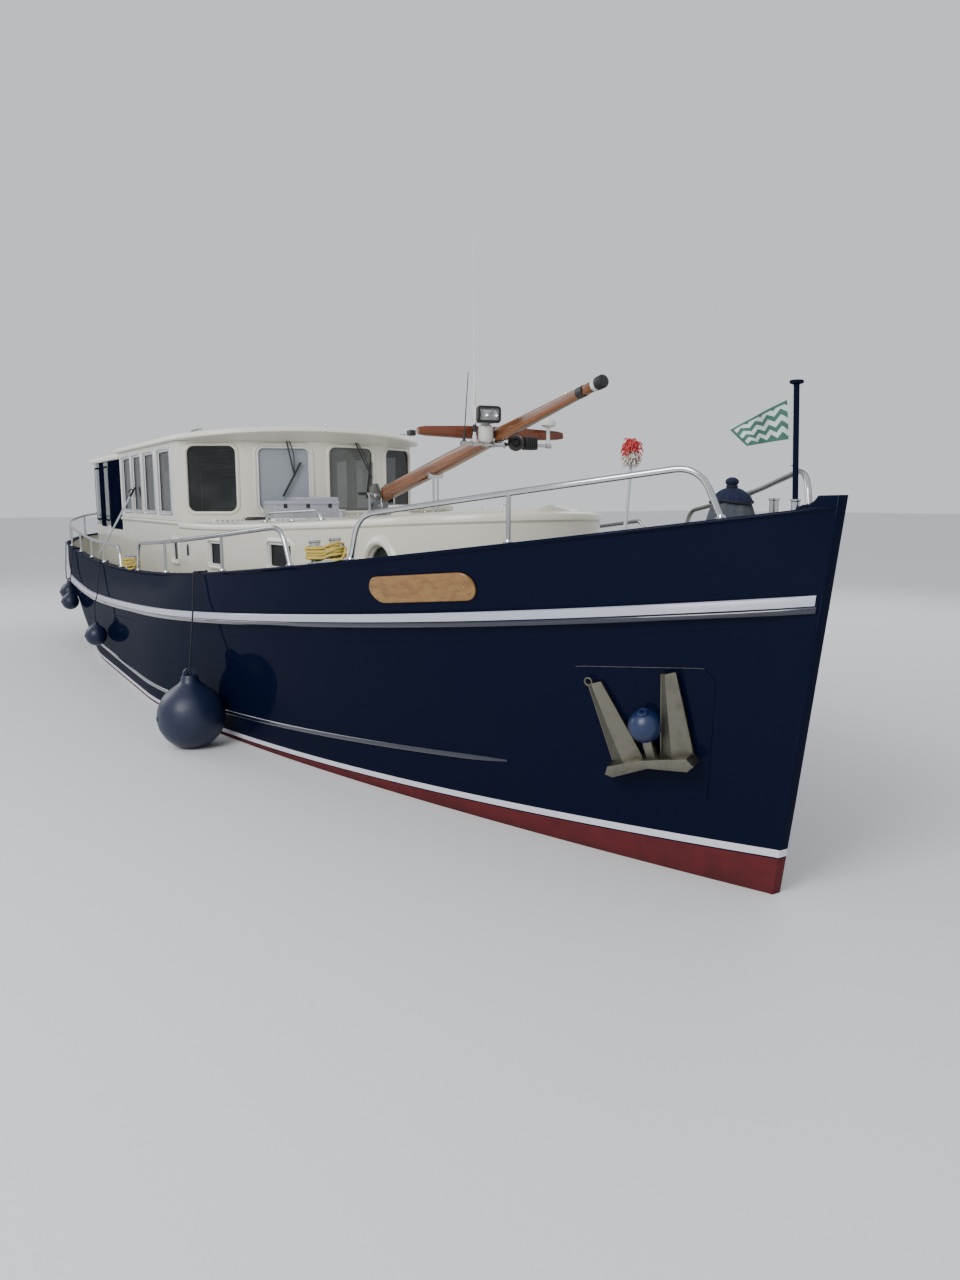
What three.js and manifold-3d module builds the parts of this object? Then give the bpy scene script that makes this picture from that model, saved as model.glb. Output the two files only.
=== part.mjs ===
// Displacement motor yacht, afloat, with its wooden mast lowered forward onto a crutch.
// Millimetres. +X forward, +Y to port, +Z up. The waterline is Z = 0.
import * as THREE from 'three';
import { mergeVertices } from 'three/addons/utils/BufferGeometryUtils.js';
import Module from 'manifold-3d';

const wasm = await Module();
wasm.setup();

// Driving dimensions
const STEM_X = 7440;            // foremost point of the cap
const STERN_X = -7400;          // aftmost point of the cap
const HULL_HALF = 2055;         // half breadth of the plating at the deck edge
const CAP_HALF = 2070;          // half breadth over the cap
const SEAT = 0.3;               // gap between pieces that rest on each other
const STEM_HALF = 32;           // half thickness of the stem bar
const KEEL_BOTTOM = -1100;
const KEEL_HALF = 55;
const DECK_LOW = { x: -3400, z: 980, k: 0.02050, aftK: 0.0350, power: 1.5 };
const CAP_LOW = { x: -2300, z: 1435, k: 0.0082, aftK: 0.0105, power: 2 };
const TRUNK = { nose: 4880, shoulder: 3900, half: 1500, noseHalf: 930, taperFrom: 200 };
const HOUSE = { fore: -410, aft: -3950, half: 1490, wall: 60, top: 2904 };
const COCKPIT = { fore: -3954, aft: -6550, half: 1440, wall: 50, top: 1850 };
const ROOF = { fore: 340, aft: -4120, half: 1545, edge: 65, crown: 92 };
const HARDTOP = { fore: -4130, aft: -6690, half: 1500, under: 2830, edge: 90, crown: 50 };
const MAST = { pivot: [1860, 0, 2279], length: 3570, lift: 11.9, foot: 70, head: 36 };
const PROP = { x: -5050, z: -680, hub: 75 };
const RUDDER = { x: -5620, fore: 200, aft: 500, low: -1030, high: -300, half: 28 };
const RAIL_R = 19;

// Colours and finishes
const finish = (color, roughness, metalness) => ({ color, roughness, metalness });
const NAVY = finish(0x0b1030, 0.15, 0.1);
const CREAM = finish(0xe6e0cc, 0.35, 0);
const WHITE = finish(0xe8e6f0, 0.35, 0);
const STEEL = finish(0xc8c8c8, 0.22, 1);
const VARNISH = finish(0x8a4318, 0.3, 0);
const CANVAS = finish(0x141c38, 0.85, 0);
const GREY_CLOTH = finish(0x4a4d55, 0.9, 0);
const GLASS = finish(0x8fa0a4, 0.05, 0);
const VINYL = finish(0x14224a, 0.45, 0);
const BRONZE = finish(0xa88a4a, 0.35, 0.9);
const DARK = finish(0x1a1a1c, 0.5, 0);

const yacht = new THREE.Group();

// Adds one named mesh to a group, the yacht itself unless another is given
function add(name, geometry, look, into = yacht) {
  const mesh = new THREE.Mesh(geometry, new THREE.MeshStandardMaterial(look));
  mesh.name = name;
  into.add(mesh);
  return mesh;
}

// Closed geometry to solid and back
function toSolid(geometry) {
  const bare = geometry.clone();
  for (const key of Object.keys(bare.attributes)) if (key !== 'position') bare.deleteAttribute(key);
  const welded = mergeVertices(bare, 1e-3);
  const flat = welded.index.array;
  const kept = [];
  for (let i = 0; i < flat.length; i += 3) {
    const [a, b, c] = [flat[i], flat[i + 1], flat[i + 2]];
    if (a !== b && b !== c && a !== c) kept.push(a, b, c);
  }
  return new wasm.Manifold(new wasm.Mesh({
    numProp: 3,
    vertProperties: Float32Array.from(welded.attributes.position.array),
    triVerts: Uint32Array.from(kept),
  }));
}

function fromSolid(solid) {
  const mesh = solid.getMesh();
  const geometry = new THREE.BufferGeometry();
  geometry.setAttribute('position', new THREE.BufferAttribute(Float32Array.from(mesh.vertProperties), 3));
  geometry.setIndex(new THREE.BufferAttribute(Uint32Array.from(mesh.triVerts), 1));
  geometry.computeVertexNormals();
  return geometry;
}

function join(...parts) {
  return fromSolid(parts.map(toSolid).reduce((sum, part) => sum.add(part)));
}

function cut(body, ...tools) {
  return fromSolid(tools.map(toSolid).reduce((rest, tool) => rest.subtract(tool), toSolid(body)));
}

// Box between two corners
function block(x0, y0, z0, x1, y1, z1) {
  const box = new THREE.BoxGeometry(Math.abs(x1 - x0), Math.abs(y1 - y0), Math.abs(z1 - z0));
  return box.translate((x0 + x1) / 2, (y0 + y1) / 2, (z0 + z1) / 2);
}

// Round bar or cone between two points
function rod(from, to, radius, sides = 12, endRadius = radius) {
  const a = new THREE.Vector3(...from);
  const b = new THREE.Vector3(...to);
  const bar = new THREE.CylinderGeometry(endRadius, radius, a.distanceTo(b), sides);
  const turn = new THREE.Quaternion().setFromUnitVectors(
    new THREE.Vector3(0, 1, 0), b.clone().sub(a).normalize());
  const middle = a.clone().add(b).multiplyScalar(0.5);
  return bar.applyMatrix4(new THREE.Matrix4().compose(middle, turn, new THREE.Vector3(1, 1, 1)));
}

function ball(centre, radius, across = 16, down = 10) {
  return new THREE.SphereGeometry(radius, across, down).translate(...centre);
}

// Round-cornered pipe through points, each with the radius of its bend
function pipe(points, radius, bend = 110, sides = 8) {
  const path = new THREE.CurvePath();
  const spots = points.map((p) => new THREE.Vector3(...p));
  let from = spots[0];
  for (let i = 1; i < spots.length - 1; i += 1) {
    const into = spots[i].clone().sub(spots[i - 1]).normalize();
    const out = spots[i + 1].clone().sub(spots[i]).normalize();
    const reach = Math.min(bend, spots[i].distanceTo(spots[i - 1]) / 2.1, spots[i].distanceTo(spots[i + 1]) / 2.1);
    const start = spots[i].clone().addScaledVector(into, -reach);
    const end = spots[i].clone().addScaledVector(out, reach);
    path.add(new THREE.LineCurve3(from, start));
    path.add(new THREE.QuadraticBezierCurve3(start, spots[i], end));
    from = end;
  }
  path.add(new THREE.LineCurve3(from, spots[spots.length - 1]));
  return sweep(path, radius, sides);
}

// Round section swept along a path, with steps only where the path bends
function sweep(path, radius, sides) {
  const stops = [];
  path.curves.forEach((curve, i) => {
    const steps = curve.isLineCurve3 ? 1 : 3;
    for (let k = i === 0 ? 0 : 1; k <= steps; k += 1) stops.push(curve.getPoint(k / steps));
  });
  return tube(stops, radius, sides);
}

// Round section carried along a row of stops by the least turning
function tube(stops, radius, sides) {
  const tangents = stops.map((p, i) => {
    const before = stops[Math.max(0, i - 1)];
    const after = stops[Math.min(stops.length - 1, i + 1)];
    return after.clone().sub(before).normalize();
  });
  const first = tangents[0];
  const aside = Math.abs(first.z) < 0.9 ? new THREE.Vector3(0, 0, 1) : new THREE.Vector3(1, 0, 0);
  let side = aside.clone().cross(first).normalize();
  const rings = stops.map((p, i) => {
    side = side.clone().addScaledVector(tangents[i], -side.dot(tangents[i])).normalize();
    const up = tangents[i].clone().cross(side);
    return Array.from({ length: sides }, (_, k) => {
      const angle = (2 * Math.PI * k) / sides;
      return p.clone().addScaledVector(side, radius * Math.cos(angle))
        .addScaledVector(up, radius * Math.sin(angle));
    });
  });
  return skin(rings);
}

// Closed skin over rings of equal count, capped at both ends
function skin(rings) {
  const count = rings[0].length;
  const spots = rings.flat();
  const faces = [];
  for (let r = 0; r + 1 < rings.length; r += 1) {
    for (let k = 0; k < count; k += 1) {
      const a = r * count + k;
      const b = r * count + ((k + 1) % count);
      faces.push(a, b, b + count, a, b + count, a + count);
    }
  }
  for (const [ring, flip] of [[0, true], [rings.length - 1, false]]) {
    const centre = rings[ring].reduce((sum, p) => sum.add(p), new THREE.Vector3()).divideScalar(count);
    spots.push(centre);
    for (let k = 0; k < count; k += 1) {
      const a = ring * count + k;
      const b = ring * count + ((k + 1) % count);
      faces.push(...(flip ? [b, a, spots.length - 1] : [a, b, spots.length - 1]));
    }
  }
  return fromFaces(spots, faces);
}

function fromFaces(spots, faces) {
  const geometry = new THREE.BufferGeometry();
  geometry.setAttribute('position', new THREE.Float32BufferAttribute(spots.flatMap((p) => [p.x, p.y, p.z]), 3));
  geometry.setIndex(faces);
  return outward(geometry);
}

// Turns a closed body so that its faces point out
function outward(geometry) {
  const spots = geometry.attributes.position;
  const index = geometry.index.array;
  const [a, b, c] = [new THREE.Vector3(), new THREE.Vector3(), new THREE.Vector3()];
  let volume = 0;
  for (let i = 0; i < index.length; i += 3) {
    a.fromBufferAttribute(spots, index[i]);
    b.fromBufferAttribute(spots, index[i + 1]);
    c.fromBufferAttribute(spots, index[i + 2]);
    volume += a.dot(b.cross(c));
  }
  if (volume < 0) {
    for (let i = 0; i < index.length; i += 3) [index[i], index[i + 1]] = [index[i + 1], index[i]];
  }
  return geometry;
}

// Body with a plane of symmetry at Y = 0: each level is a row of [x, half breadth, z] from aft to fore
function shipBody(levels) {
  const count = levels[0].length;
  const spots = [];
  for (const level of levels) {
    for (const [x, half, z] of level) {
      spots.push(new THREE.Vector3(x, -half, z), new THREE.Vector3(x, half, z));
    }
  }
  const at = (level, i, port) => (level * count + i) * 2 + port;
  const faces = [];
  const quad = (a, b, c, d) => faces.push(a, b, c, a, c, d);
  for (let l = 0; l + 1 < levels.length; l += 1) {
    for (let i = 0; i + 1 < count; i += 1) {
      quad(at(l, i, 0), at(l, i + 1, 0), at(l + 1, i + 1, 0), at(l + 1, i, 0));
      quad(at(l, i, 1), at(l + 1, i, 1), at(l + 1, i + 1, 1), at(l, i + 1, 1));
    }
    quad(at(l, 0, 1), at(l, 0, 0), at(l + 1, 0, 0), at(l + 1, 0, 1));
    quad(at(l, count - 1, 0), at(l, count - 1, 1), at(l + 1, count - 1, 1), at(l + 1, count - 1, 0));
  }
  const top = levels.length - 1;
  for (let i = 0; i + 1 < count; i += 1) {
    quad(at(0, i, 1), at(0, i + 1, 1), at(0, i + 1, 0), at(0, i, 0));
    quad(at(top, i, 0), at(top, i + 1, 0), at(top, i + 1, 1), at(top, i, 1));
  }
  return fromSolid(toSolid(fromFaces(spots, faces)));
}

// Plan outline extruded upwards: points are [x, y]
function upright(points, z0, z1) {
  const shape = new THREE.Shape(points.map(([x, y]) => new THREE.Vector2(x, y)));
  return new THREE.ExtrudeGeometry(shape, { depth: z1 - z0, bevelEnabled: false }).translate(0, 0, z0);
}

// Side outline extruded across: points are [x, z]
function across(points, y0, y1) {
  const shape = new THREE.Shape(points.map(([x, z]) => new THREE.Vector2(x, z)));
  const slab = new THREE.ExtrudeGeometry(shape, { depth: y1 - y0, bevelEnabled: false });
  return slab.rotateX(Math.PI / 2).translate(0, y1, 0);
}

const mirrorY = (points) => points.map(([x, y, z]) => [x, -y, z]);

// Sheer lines: the deck edge and the cap, each lowest a little abaft amidships
function sheer(line, x) {
  const reach = Math.abs(x - line.x) / 1000;
  return line.z + 1000 * (x > line.x ? line.k : line.aftK) * reach ** line.power;
}
const deckZ = (x) => sheer(DECK_LOW, x);
const capZ = (x) => sheer(CAP_LOW, x);

// Breadth of a level: full amidships, fine at the stem, round at the stern
function breadth(level, x) {
  const fromStem = Math.min(1, Math.max(0, (level.stem - x) / level.bowRun));
  const fromStern = Math.min(1, Math.max(0, (x - level.stern) / level.sternRun));
  const bow = 1 - (1 - fromStem) ** level.bowPower;
  const stern = (1 - (1 - fromStern) ** level.sternPower) ** (1 / level.sternRound);
  return STEM_HALF + (level.half - STEM_HALF) * bow * stern;
}

// Hull levels from the keel line up to the cap. Height runs from mid to its ends by a power curve.
const LEVELS = [
  // stern, stem, half breadth, bow run and power, stern run, power and round, mid, stem and stern heights
  [-4600, 5400, 70, 6000, 1.3, 3000, 1.5, 1.0, -880, -900, -430],
  [-5100, 6250, 900, 6600, 1.25, 3900, 1.6, 1.0, -790, -800, -230],
  [-5500, 6750, 1500, 7000, 1.4, 4100, 1.8, 1.1, -600, -620, -140],
  [-6300, 7010, 1820, 7300, 1.5, 4000, 2.0, 1.2, -320, -350, -60],
  [-6850, 7140, 1960, 7450, 1.6, 3700, 2.2, 1.5, 0, 0, 0],
  [-7150, 7225, 2030, 7300, 1.75, 3100, 2.4, 1.8, 520, 620, 560],
];
const COLUMNS = ['stern', 'stem', 'half', 'bowRun', 'bowPower', 'sternRun', 'sternPower', 'sternRound',
  'mid', 'stemZ', 'sternZ'];
const underwater = LEVELS.map((row) => Object.fromEntries(COLUMNS.map((name, i) => [name, row[i]])));
const deckLevel = {
  stern: -7340, stem: 7385, half: HULL_HALF, bowRun: 6800, bowPower: 2.2, sternRun: 2300, sternPower: 2.6,
  sternRound: 2.3, height: deckZ,
};
const capLevel = {
  stern: STERN_X, stem: STEM_X, half: CAP_HALF, bowRun: 6400, bowPower: 2.45, sternRun: 2200, sternPower: 2.6,
  sternRound: 2.3, height: capZ,
};

function levelHeight(level, x) {
  if (level.height) return level.height(x);
  const middle = -1500;
  const end = x > middle ? level.stem : level.stern;
  const rise = (x > middle ? level.stemZ : level.sternZ) - level.mid;
  return level.mid + rise * Math.min(1, Math.abs((x - middle) / (end - middle))) ** 2.2;
}

// Stations: close together round the stern, then even up to the stem
const STERN_STEPS = 8;
const LONG_STEPS = 20;
const STERN_SHARE = 0.17;
const STATIONS = [
  ...Array.from({ length: STERN_STEPS }, (_, i) => STERN_SHARE * (1 - Math.cos((i / STERN_STEPS) * Math.PI / 2))),
  ...Array.from({ length: LONG_STEPS + 1 }, (_, i) => STERN_SHARE + (1 - STERN_SHARE) * (i / LONG_STEPS) ** 0.93),
];

// One level as a row of points, grown outwards by an offset and moved up by a lift
function levelRow(level, offset = 0, lift = 0) {
  const grown = { ...level, stern: level.stern - offset, stem: level.stem + offset, half: level.half + offset };
  return STATIONS.map((t) => {
    const x = grown.stern + (grown.stem - grown.stern) * t;
    const inside = Math.min(level.stem, Math.max(level.stern, x));
    return [x, breadth(grown, x) + (offset > 0 ? offset * 0.4 : 0), levelHeight(level, inside) + lift];
  });
}

// Height between two levels, as a share of the way up
function between(low, high, share, offset = 0) {
  const a = levelRow(low, offset);
  const b = levelRow(high, offset);
  return a.map((p, i) => p.map((value, k) => value + (b[i][k] - value) * share));
}

// Half breadth of the plating at a place on the topsides
function topsideAt(x, z) {
  const rows = [...underwater, deckLevel, capLevel];
  const heights = rows.map((row) => levelHeight(row, x));
  let i = heights.findIndex((h) => h > z) - 1;
  if (i < 0) i = rows.length - 2;
  const share = (z - heights[i]) / (heights[i + 1] - heights[i]);
  return breadth(rows[i], x) + (breadth(rows[i + 1], x) - breadth(rows[i], x)) * share;
}

// Hull
const hullRows = (offset) => [...underwater.map((row) => levelRow(row, offset)), levelRow(deckLevel, offset)];

// Half-round rub rail low on each side of the topsides
const RUB = { fore: 5550, aft: -5000, radius: 22, stops: 16 };
const RUB_LOW = { x: -500, z: 235, k: 0.00724, aftK: 0.0035, power: 2 };
const rubZ = (x) => sheer(RUB_LOW, x);

function rubRail(side) {
  const stops = Array.from({ length: RUB.stops + 1 }, (_, i) => {
    const x = RUB.aft + ((RUB.fore - RUB.aft) * i) / RUB.stops;
    return new THREE.Vector3(x, side * (topsideAt(x, rubZ(x)) - 4), rubZ(x));
  });
  return tube(stops, RUB.radius, 8);
}

function buildHull() {
  const shell = shipBody(hullRows(0));
  const keel = across([
    [7020, -300], [6830, -620], [6350, -880], [5400, -1040], [4200, KEEL_BOTTOM], [-5760, KEEL_BOTTOM],
    [-5760, -1035], [-4790, -1035], [-4740, -980], [-4640, -330], [-3000, -300], [5500, -300],
  ], -KEEL_HALF, KEEL_HALF);
  const sternTube = rod([-4300, 0, PROP.z], [-4800, 0, PROP.z], 85, 16);
  const rudderPort = rod([RUDDER.x, 0, 100], [RUDDER.x, 0, -250], 70, 16);
  return join(shell, keel, sternTube, rudderPort, rubRail(-1), rubRail(1));
}
add('hull', buildHull(), NAVY);

// Everything below the deck, for cutting the feet of what stands on it
const belowDeck = across([
  ...levelRow(deckLevel).map(([x, , z]) => [x, z + SEAT]), [deckLevel.stem, -500], [deckLevel.stern, -500],
], -2600, 2600);

// Bulwark standing on the deck edge, with its cap and the raised stem head
const BULWARK_WALL = 45;
const CAP_WIDTH = 95;
const CAP_THICK = 28;
const BREASTHOOK = 420;         // length of the solid plate inside the stem

function insetLevel(level, inset, noseBack) {
  return { ...level, stern: level.stern + inset, stem: level.stem - noseBack, half: level.half - inset };
}

function buildBulwark() {
  const outer = shipBody([levelRow(deckLevel, 0, SEAT), levelRow({ ...capLevel, half: HULL_HALF }, 0, -CAP_THICK / 2)]);
  const innerLow = insetLevel(deckLevel, BULWARK_WALL, 150);
  const innerHigh = insetLevel({ ...capLevel, half: HULL_HALF }, BULWARK_WALL, 150);
  const inner = shipBody([levelRow(innerLow, 0, -60), levelRow(innerHigh, 0, 60)]);
  const capBand = shipBody([levelRow(capLevel, 0, -CAP_THICK), levelRow(capLevel, 0, 0)]);
  const capHole = insetLevel(capLevel, CAP_WIDTH, BREASTHOOK);
  const hole = shipBody([levelRow(capHole, 0, -90), levelRow(capHole, 0, 60)]);
  const head = across([[7160, 2150], [7190, 2200], [7290, 2215], [7330, 2262], [7470, 2264], [7440, 2100]], -40, 40);
  return join(cut(outer, inner), cut(capBand, hole), head);
}
add('bulwark', buildBulwark(), NAVY);

// Rubbing strake: white upper face over a blue half round, from the stem round the stern
const STRAKE = { deep: 105, proud: 42, foreEnd: 7370 };

function buildStrake() {
  const low = underwater[underwater.length - 1];
  const share = (z) => (z - levelHeight(low, 0)) / (deckZ(0) - levelHeight(low, 0));
  const atFoot = share(deckZ(0) - STRAKE.deep);
  const band = [
    between(low, deckLevel, atFoot, STRAKE.proud * 0.55),
    between(low, deckLevel, (1 + atFoot) / 2, STRAKE.proud),
    levelRow(deckLevel, STRAKE.proud, -SEAT),
  ];
  const beyond = block(STRAKE.foreEnd, -500, 1000, STEM_X + 200, 500, 2500);
  return cut(shipBody(band), shipBody([...hullRows(1), levelRow(deckLevel, 1, 60)]), beyond);
}
add('rubbing_strake', buildStrake(), WHITE);

// Trunk cabin
function trunkHalf(x) {
  if (x >= TRUNK.nose) return 0;
  if (x > TRUNK.shoulder) {
    const share = (x - TRUNK.shoulder) / (TRUNK.nose - TRUNK.shoulder);
    return TRUNK.noseHalf * Math.sqrt(1 - share * share);
  }
  const along = Math.max(0, (x - TRUNK.taperFrom) / (TRUNK.shoulder - TRUNK.taperFrom));
  return TRUNK.half - (TRUNK.half - TRUNK.noseHalf) * along;
}
const trunkRim = (x) => 1990 + 160 * Math.max(0, (Math.min(x, TRUNK.nose) - 500) / 4400) ** 1.4;
const TRUNK_STOPS = [-450, 200, 1100, 2000, 2900, 3900, 4120, 4330, 4520, 4670, 4780, 4850, 4880];

// One row of the trunk, drawn in by an inset all round, with its half breadth scaled by a share
function trunkRow(inset, heightAt, share = 1) {
  return TRUNK_STOPS.map((stop) => {
    const inNose = Math.max(0, (stop - TRUNK.shoulder) / (TRUNK.nose - TRUNK.shoulder));
    const half = stop < TRUNK.nose ? Math.max(0, trunkHalf(stop) - inset) : 0;
    return [stop - inset * inNose, half * share, heightAt(stop)];
  });
}

function trunkBody(grow = 0) {
  const rim = (rise) => (x) => trunkRim(x) + rise;
  return shipBody([
    trunkRow(-grow, (x) => deckZ(x) - 60), trunkRow(-grow, rim(-60)), trunkRow(8 - grow, rim(-25)),
    trunkRow(38 - grow, rim(grow)), trunkRow(38 - grow, rim(40 + grow), 0.55), trunkRow(38 - grow, rim(52 + grow), 0),
  ]);
}
add('trunk_cabin', cut(trunkBody(), belowDeck), CREAM);

// Wheelhouse: faceted front on the trunk, sides and back on the deck
const FACETS = [[-410, 1490], [7, 844], [180, 0]];        // corner places of the front in plan, port half
const FRONT_PANES = { low: 2105, high: 2845 };

function houseFront() {
  const outer = [...FACETS, [7, -844], [-410, -1490]];
  const inner = [[-410, -1430], [-62, -812], [110, 0], [-62, 812], [-410, 1430]];
  const wall = upright([...outer, ...inner], 1960, HOUSE.top);
  const panes = [];
  for (const [a, b] of [[outer[0], outer[1]], [outer[1], outer[2]], [outer[2], outer[3]], [outer[3], outer[4]]]) {
    const length = Math.hypot(b[0] - a[0], b[1] - a[1]);
    const hole = block(100, -200, FRONT_PANES.low, length - 95, 200, FRONT_PANES.high);
    hole.rotateZ(Math.atan2(b[1] - a[1], b[0] - a[0])).translate(a[0], a[1], 0);
    panes.push(hole);
  }
  return cut(wall, ...panes, trunkBody(1));
}
add('wheelhouse_front', houseFront(), CREAM);

// Side windows along X
const SIDE = { low: 2075, high: 2835, windows: [[-1510, -840], [-2330, -1760], [-3060, -2520], [-3750, -3180]] };
const LEDGE = { proud: 24, low: 1985, high: 2035, lip: 1997 };     // moulding below the side windows

function houseSide(sign) {
  const inner = sign * (HOUSE.half - HOUSE.wall);
  const outer = sign * HOUSE.half;
  const foot = deckZ(HOUSE.aft) - 60;
  const wall = block(HOUSE.aft, inner, foot, HOUSE.fore - 40 - SEAT, outer, HOUSE.top);
  const holes = SIDE.windows.map(([aft, fore]) => block(aft, inner - sign * 50, SIDE.low, fore, outer + sign * 50,
    SIDE.high));
  const ledge = across([[HOUSE.aft, LEDGE.low], [HOUSE.fore - 40 - SEAT, LEDGE.low], [HOUSE.fore - 40 - SEAT, LEDGE.high],
    [HOUSE.aft, LEDGE.high]], ...[outer - sign * 20, outer + sign * LEDGE.proud].sort((a, b) => a - b));
  return cut(join(cut(wall, ...holes), ledge), belowDeck, trunkBody(1));
}
add('wheelhouse_starboard', houseSide(-1), CREAM);
add('wheelhouse_port', houseSide(1), CREAM);

// Back door: half width, heights, thickness, and the hinge on its port edge
const DOOR = { half: 330, sill: 1160, head: 2700, thick: 40, gap: 6, handle: -270 };
const PIVOT = { x: HOUSE.aft - 12, y: 327, radius: 10, tall: 50, feet: [1420, 2400] };

function houseBack() {
  const wall = block(HOUSE.aft, -HOUSE.half + HOUSE.wall + SEAT, 900, HOUSE.aft + HOUSE.wall,
    HOUSE.half - HOUSE.wall - SEAT, HOUSE.top);
  const doorway = block(HOUSE.aft - 50, -DOOR.half, DOOR.sill, HOUSE.aft + 150, DOOR.half, DOOR.head);
  const lights = [-1, 1].map((side) => block(HOUSE.aft - 50, side * 560, SIDE.low, HOUSE.aft + 150, side * 1240, 2700));
  const lugs = PIVOT.feet.flatMap((foot) => [
    rod([PIVOT.x, PIVOT.y, foot - PIVOT.tall], [PIVOT.x, PIVOT.y, foot - SEAT], PIVOT.radius, 10),
    block(PIVOT.x, PIVOT.y, foot - PIVOT.tall, HOUSE.aft + 5, PIVOT.y + 23, foot - SEAT),
  ]);
  return join(cut(wall, doorway, ...lights, belowDeck), ...lugs);
}
add('wheelhouse_back', houseBack(), CREAM);

function backDoor() {
  const { half, sill, head, thick, gap, handle } = DOOR;
  const leaf = block(HOUSE.aft, -half + gap, sill + gap, HOUSE.aft + thick, half - gap, head - gap);
  const light = block(HOUSE.aft - 50, -half + 100, SIDE.low, HOUSE.aft + 150, half - 100, head - 100);
  const grip = join(rod([HOUSE.aft + 5, handle, 1960], [HOUSE.aft - 45, handle, 1960], 10, 8),
    rod([HOUSE.aft - 45, handle - 8, 1960], [HOUSE.aft - 45, handle + 110, 1960], 10, 8));
  const knuckles = PIVOT.feet.flatMap((foot) => [
    rod([PIVOT.x, PIVOT.y, foot], [PIVOT.x, PIVOT.y, foot + PIVOT.tall], PIVOT.radius, 10),
    block(PIVOT.x, PIVOT.y - 30, foot, HOUSE.aft + 2, PIVOT.y, foot + PIVOT.tall),
  ]);
  return join(cut(leaf, light), grip, ...knuckles);
}
add('door_aft', backDoor(), CREAM);

// Roofs: rows run from aft to fore, rounded in plan at the front; the edge and the top follow the camber
function roofBody(roof, under, noseRun) {
  const nose = Array.from({ length: 9 }, (_, i) => Math.sin((i / 8) * Math.PI / 2));
  const start = roof.fore - noseRun;
  const camber = (y) => roof.crown * (1 - (y / roof.half) ** 2);
  const row = (inset, z, share = 1, bent = 1) => [
    [roof.aft + inset, roof.half - inset],
    [(roof.aft + start) / 2, roof.half - inset],
    ...nose.map((along, i) => {
      const half = i < nose.length - 1 ? roof.half * (1 - along ** 2.3) ** (1 / 2.3) - inset : 0;
      return [start + (noseRun - inset) * along, Math.max(0, half)];
    }),
  ].map(([x, half]) => [x, half * share, z + bent * camber(half * share)]);
  const top = under + roof.edge;
  return shipBody([row(150, under, 1, 0), row(0, under), row(0, top - 20), row(25, top), row(60, top, 0.55),
    row(60, top, 0)]);
}
add('wheelhouse_roof', roofBody(ROOF, HOUSE.top + SEAT, 900), CREAM);

// Glass band just inside the front and the side windows
const GLAZED_TO = -3800;
function glazing() {
  const outer = [[GLAZED_TO, 1429], [-412, 1429], [-64, 811], [108, 0], [-64, -811], [-412, -1429], [GLAZED_TO, -1429]];
  const inner = [[GLAZED_TO, -1421], [-416, -1421], [-71, -808], [100, 0], [-71, 808], [-416, 1421], [GLAZED_TO, 1421]];
  return upright([...outer, ...inner], 2072, HOUSE.top - SEAT);
}
add('wheelhouse_glazing', glazing(), GLASS);

// Helm
const HELM = { x: -1035, y: -750, z: 1700, radius: 230, hubFore: 45, boss: 30 };
function helmConsole() {
  const desk = across([[-560, 950], [-560, 1965], [-720, 1985], [-960, 1880], [-960, 1780], [-860, 950]], -1250, -250);
  const boss = rod([-900, HELM.y, HELM.z], [HELM.x + HELM.hubFore + 2 * SEAT, HELM.y, HELM.z], HELM.boss);
  return cut(join(desk, boss), belowDeck);
}
add('helm_console', helmConsole(), VARNISH);

function helmWheel() {
  const rim = new THREE.TorusGeometry(HELM.radius, 16, 6, 20).rotateY(Math.PI / 2);
  const spokes = [0, 1, 2].map((i) => {
    const angle = (i / 3) * Math.PI;
    const tip = [0, HELM.radius * Math.cos(angle), HELM.radius * Math.sin(angle)];
    return rod(tip.map((v) => -v), tip, 9, 6);
  });
  const hub = rod([-25, 0, 0], [HELM.hubFore, 0, 0], 38, 12);
  return join(rim, ...spokes, hub).translate(HELM.x, HELM.y, HELM.z);
}
add('helm_wheel', helmWheel(), VARNISH);

function helmSeat() {
  const foot = rod([-1800, HELM.y, 960], [-1800, HELM.y, 1085], 190, 20);
  const post = rod([-1800, HELM.y, 1080], [-1800, HELM.y, 1500], 40);
  const pad = block(-2040, HELM.y - 240, 1490, -1570, HELM.y + 240, 1600);
  const back = block(-2110, HELM.y - 230, 1560, -2020, HELM.y + 230, 2030);
  return cut(join(foot, post, pad, back), belowDeck);
}
add('helm_seat', helmSeat(), CREAM);

// Hatches on the trunk and the foredeck
const SKYLIGHT = { aft: 2480, fore: 2940, half: 230, z: 2135, thick: 55 };
function skylight() {
  return block(SKYLIGHT.aft, -SKYLIGHT.half, SKYLIGHT.z, SKYLIGHT.fore, SKYLIGHT.half, SKYLIGHT.z + SKYLIGHT.thick);
}
add('skylight_lid', skylight(), CREAM);

const FOREHATCH = { aft: 5260, fore: 5800, half: 270, thick: 50, rise: 95 };
const forehatchZ = deckZ(FOREHATCH.fore) + FOREHATCH.rise;
function forehatch() {
  return block(FOREHATCH.aft, -FOREHATCH.half, forehatchZ, FOREHATCH.fore, FOREHATCH.half,
    forehatchZ + FOREHATCH.thick);
}
add('forehatch_lid', forehatch(), CREAM);

// Coamings that carry the two lids
function coaming(hatch, top, body) {
  const outer = block(hatch.aft + 25, -hatch.half + 25, top - 260, hatch.fore - 25, hatch.half - 25, top - SEAT);
  const inner = block(hatch.aft + 60, -hatch.half + 60, top - 30, hatch.fore - 60, hatch.half - 60, top + 10);
  return cut(outer, inner, body);
}
add('forehatch_coaming', coaming(FOREHATCH, forehatchZ, belowDeck), CREAM);
add('skylight_coaming', coaming(SKYLIGHT, SKYLIGHT.z, trunkBody(1)), CREAM);

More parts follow.
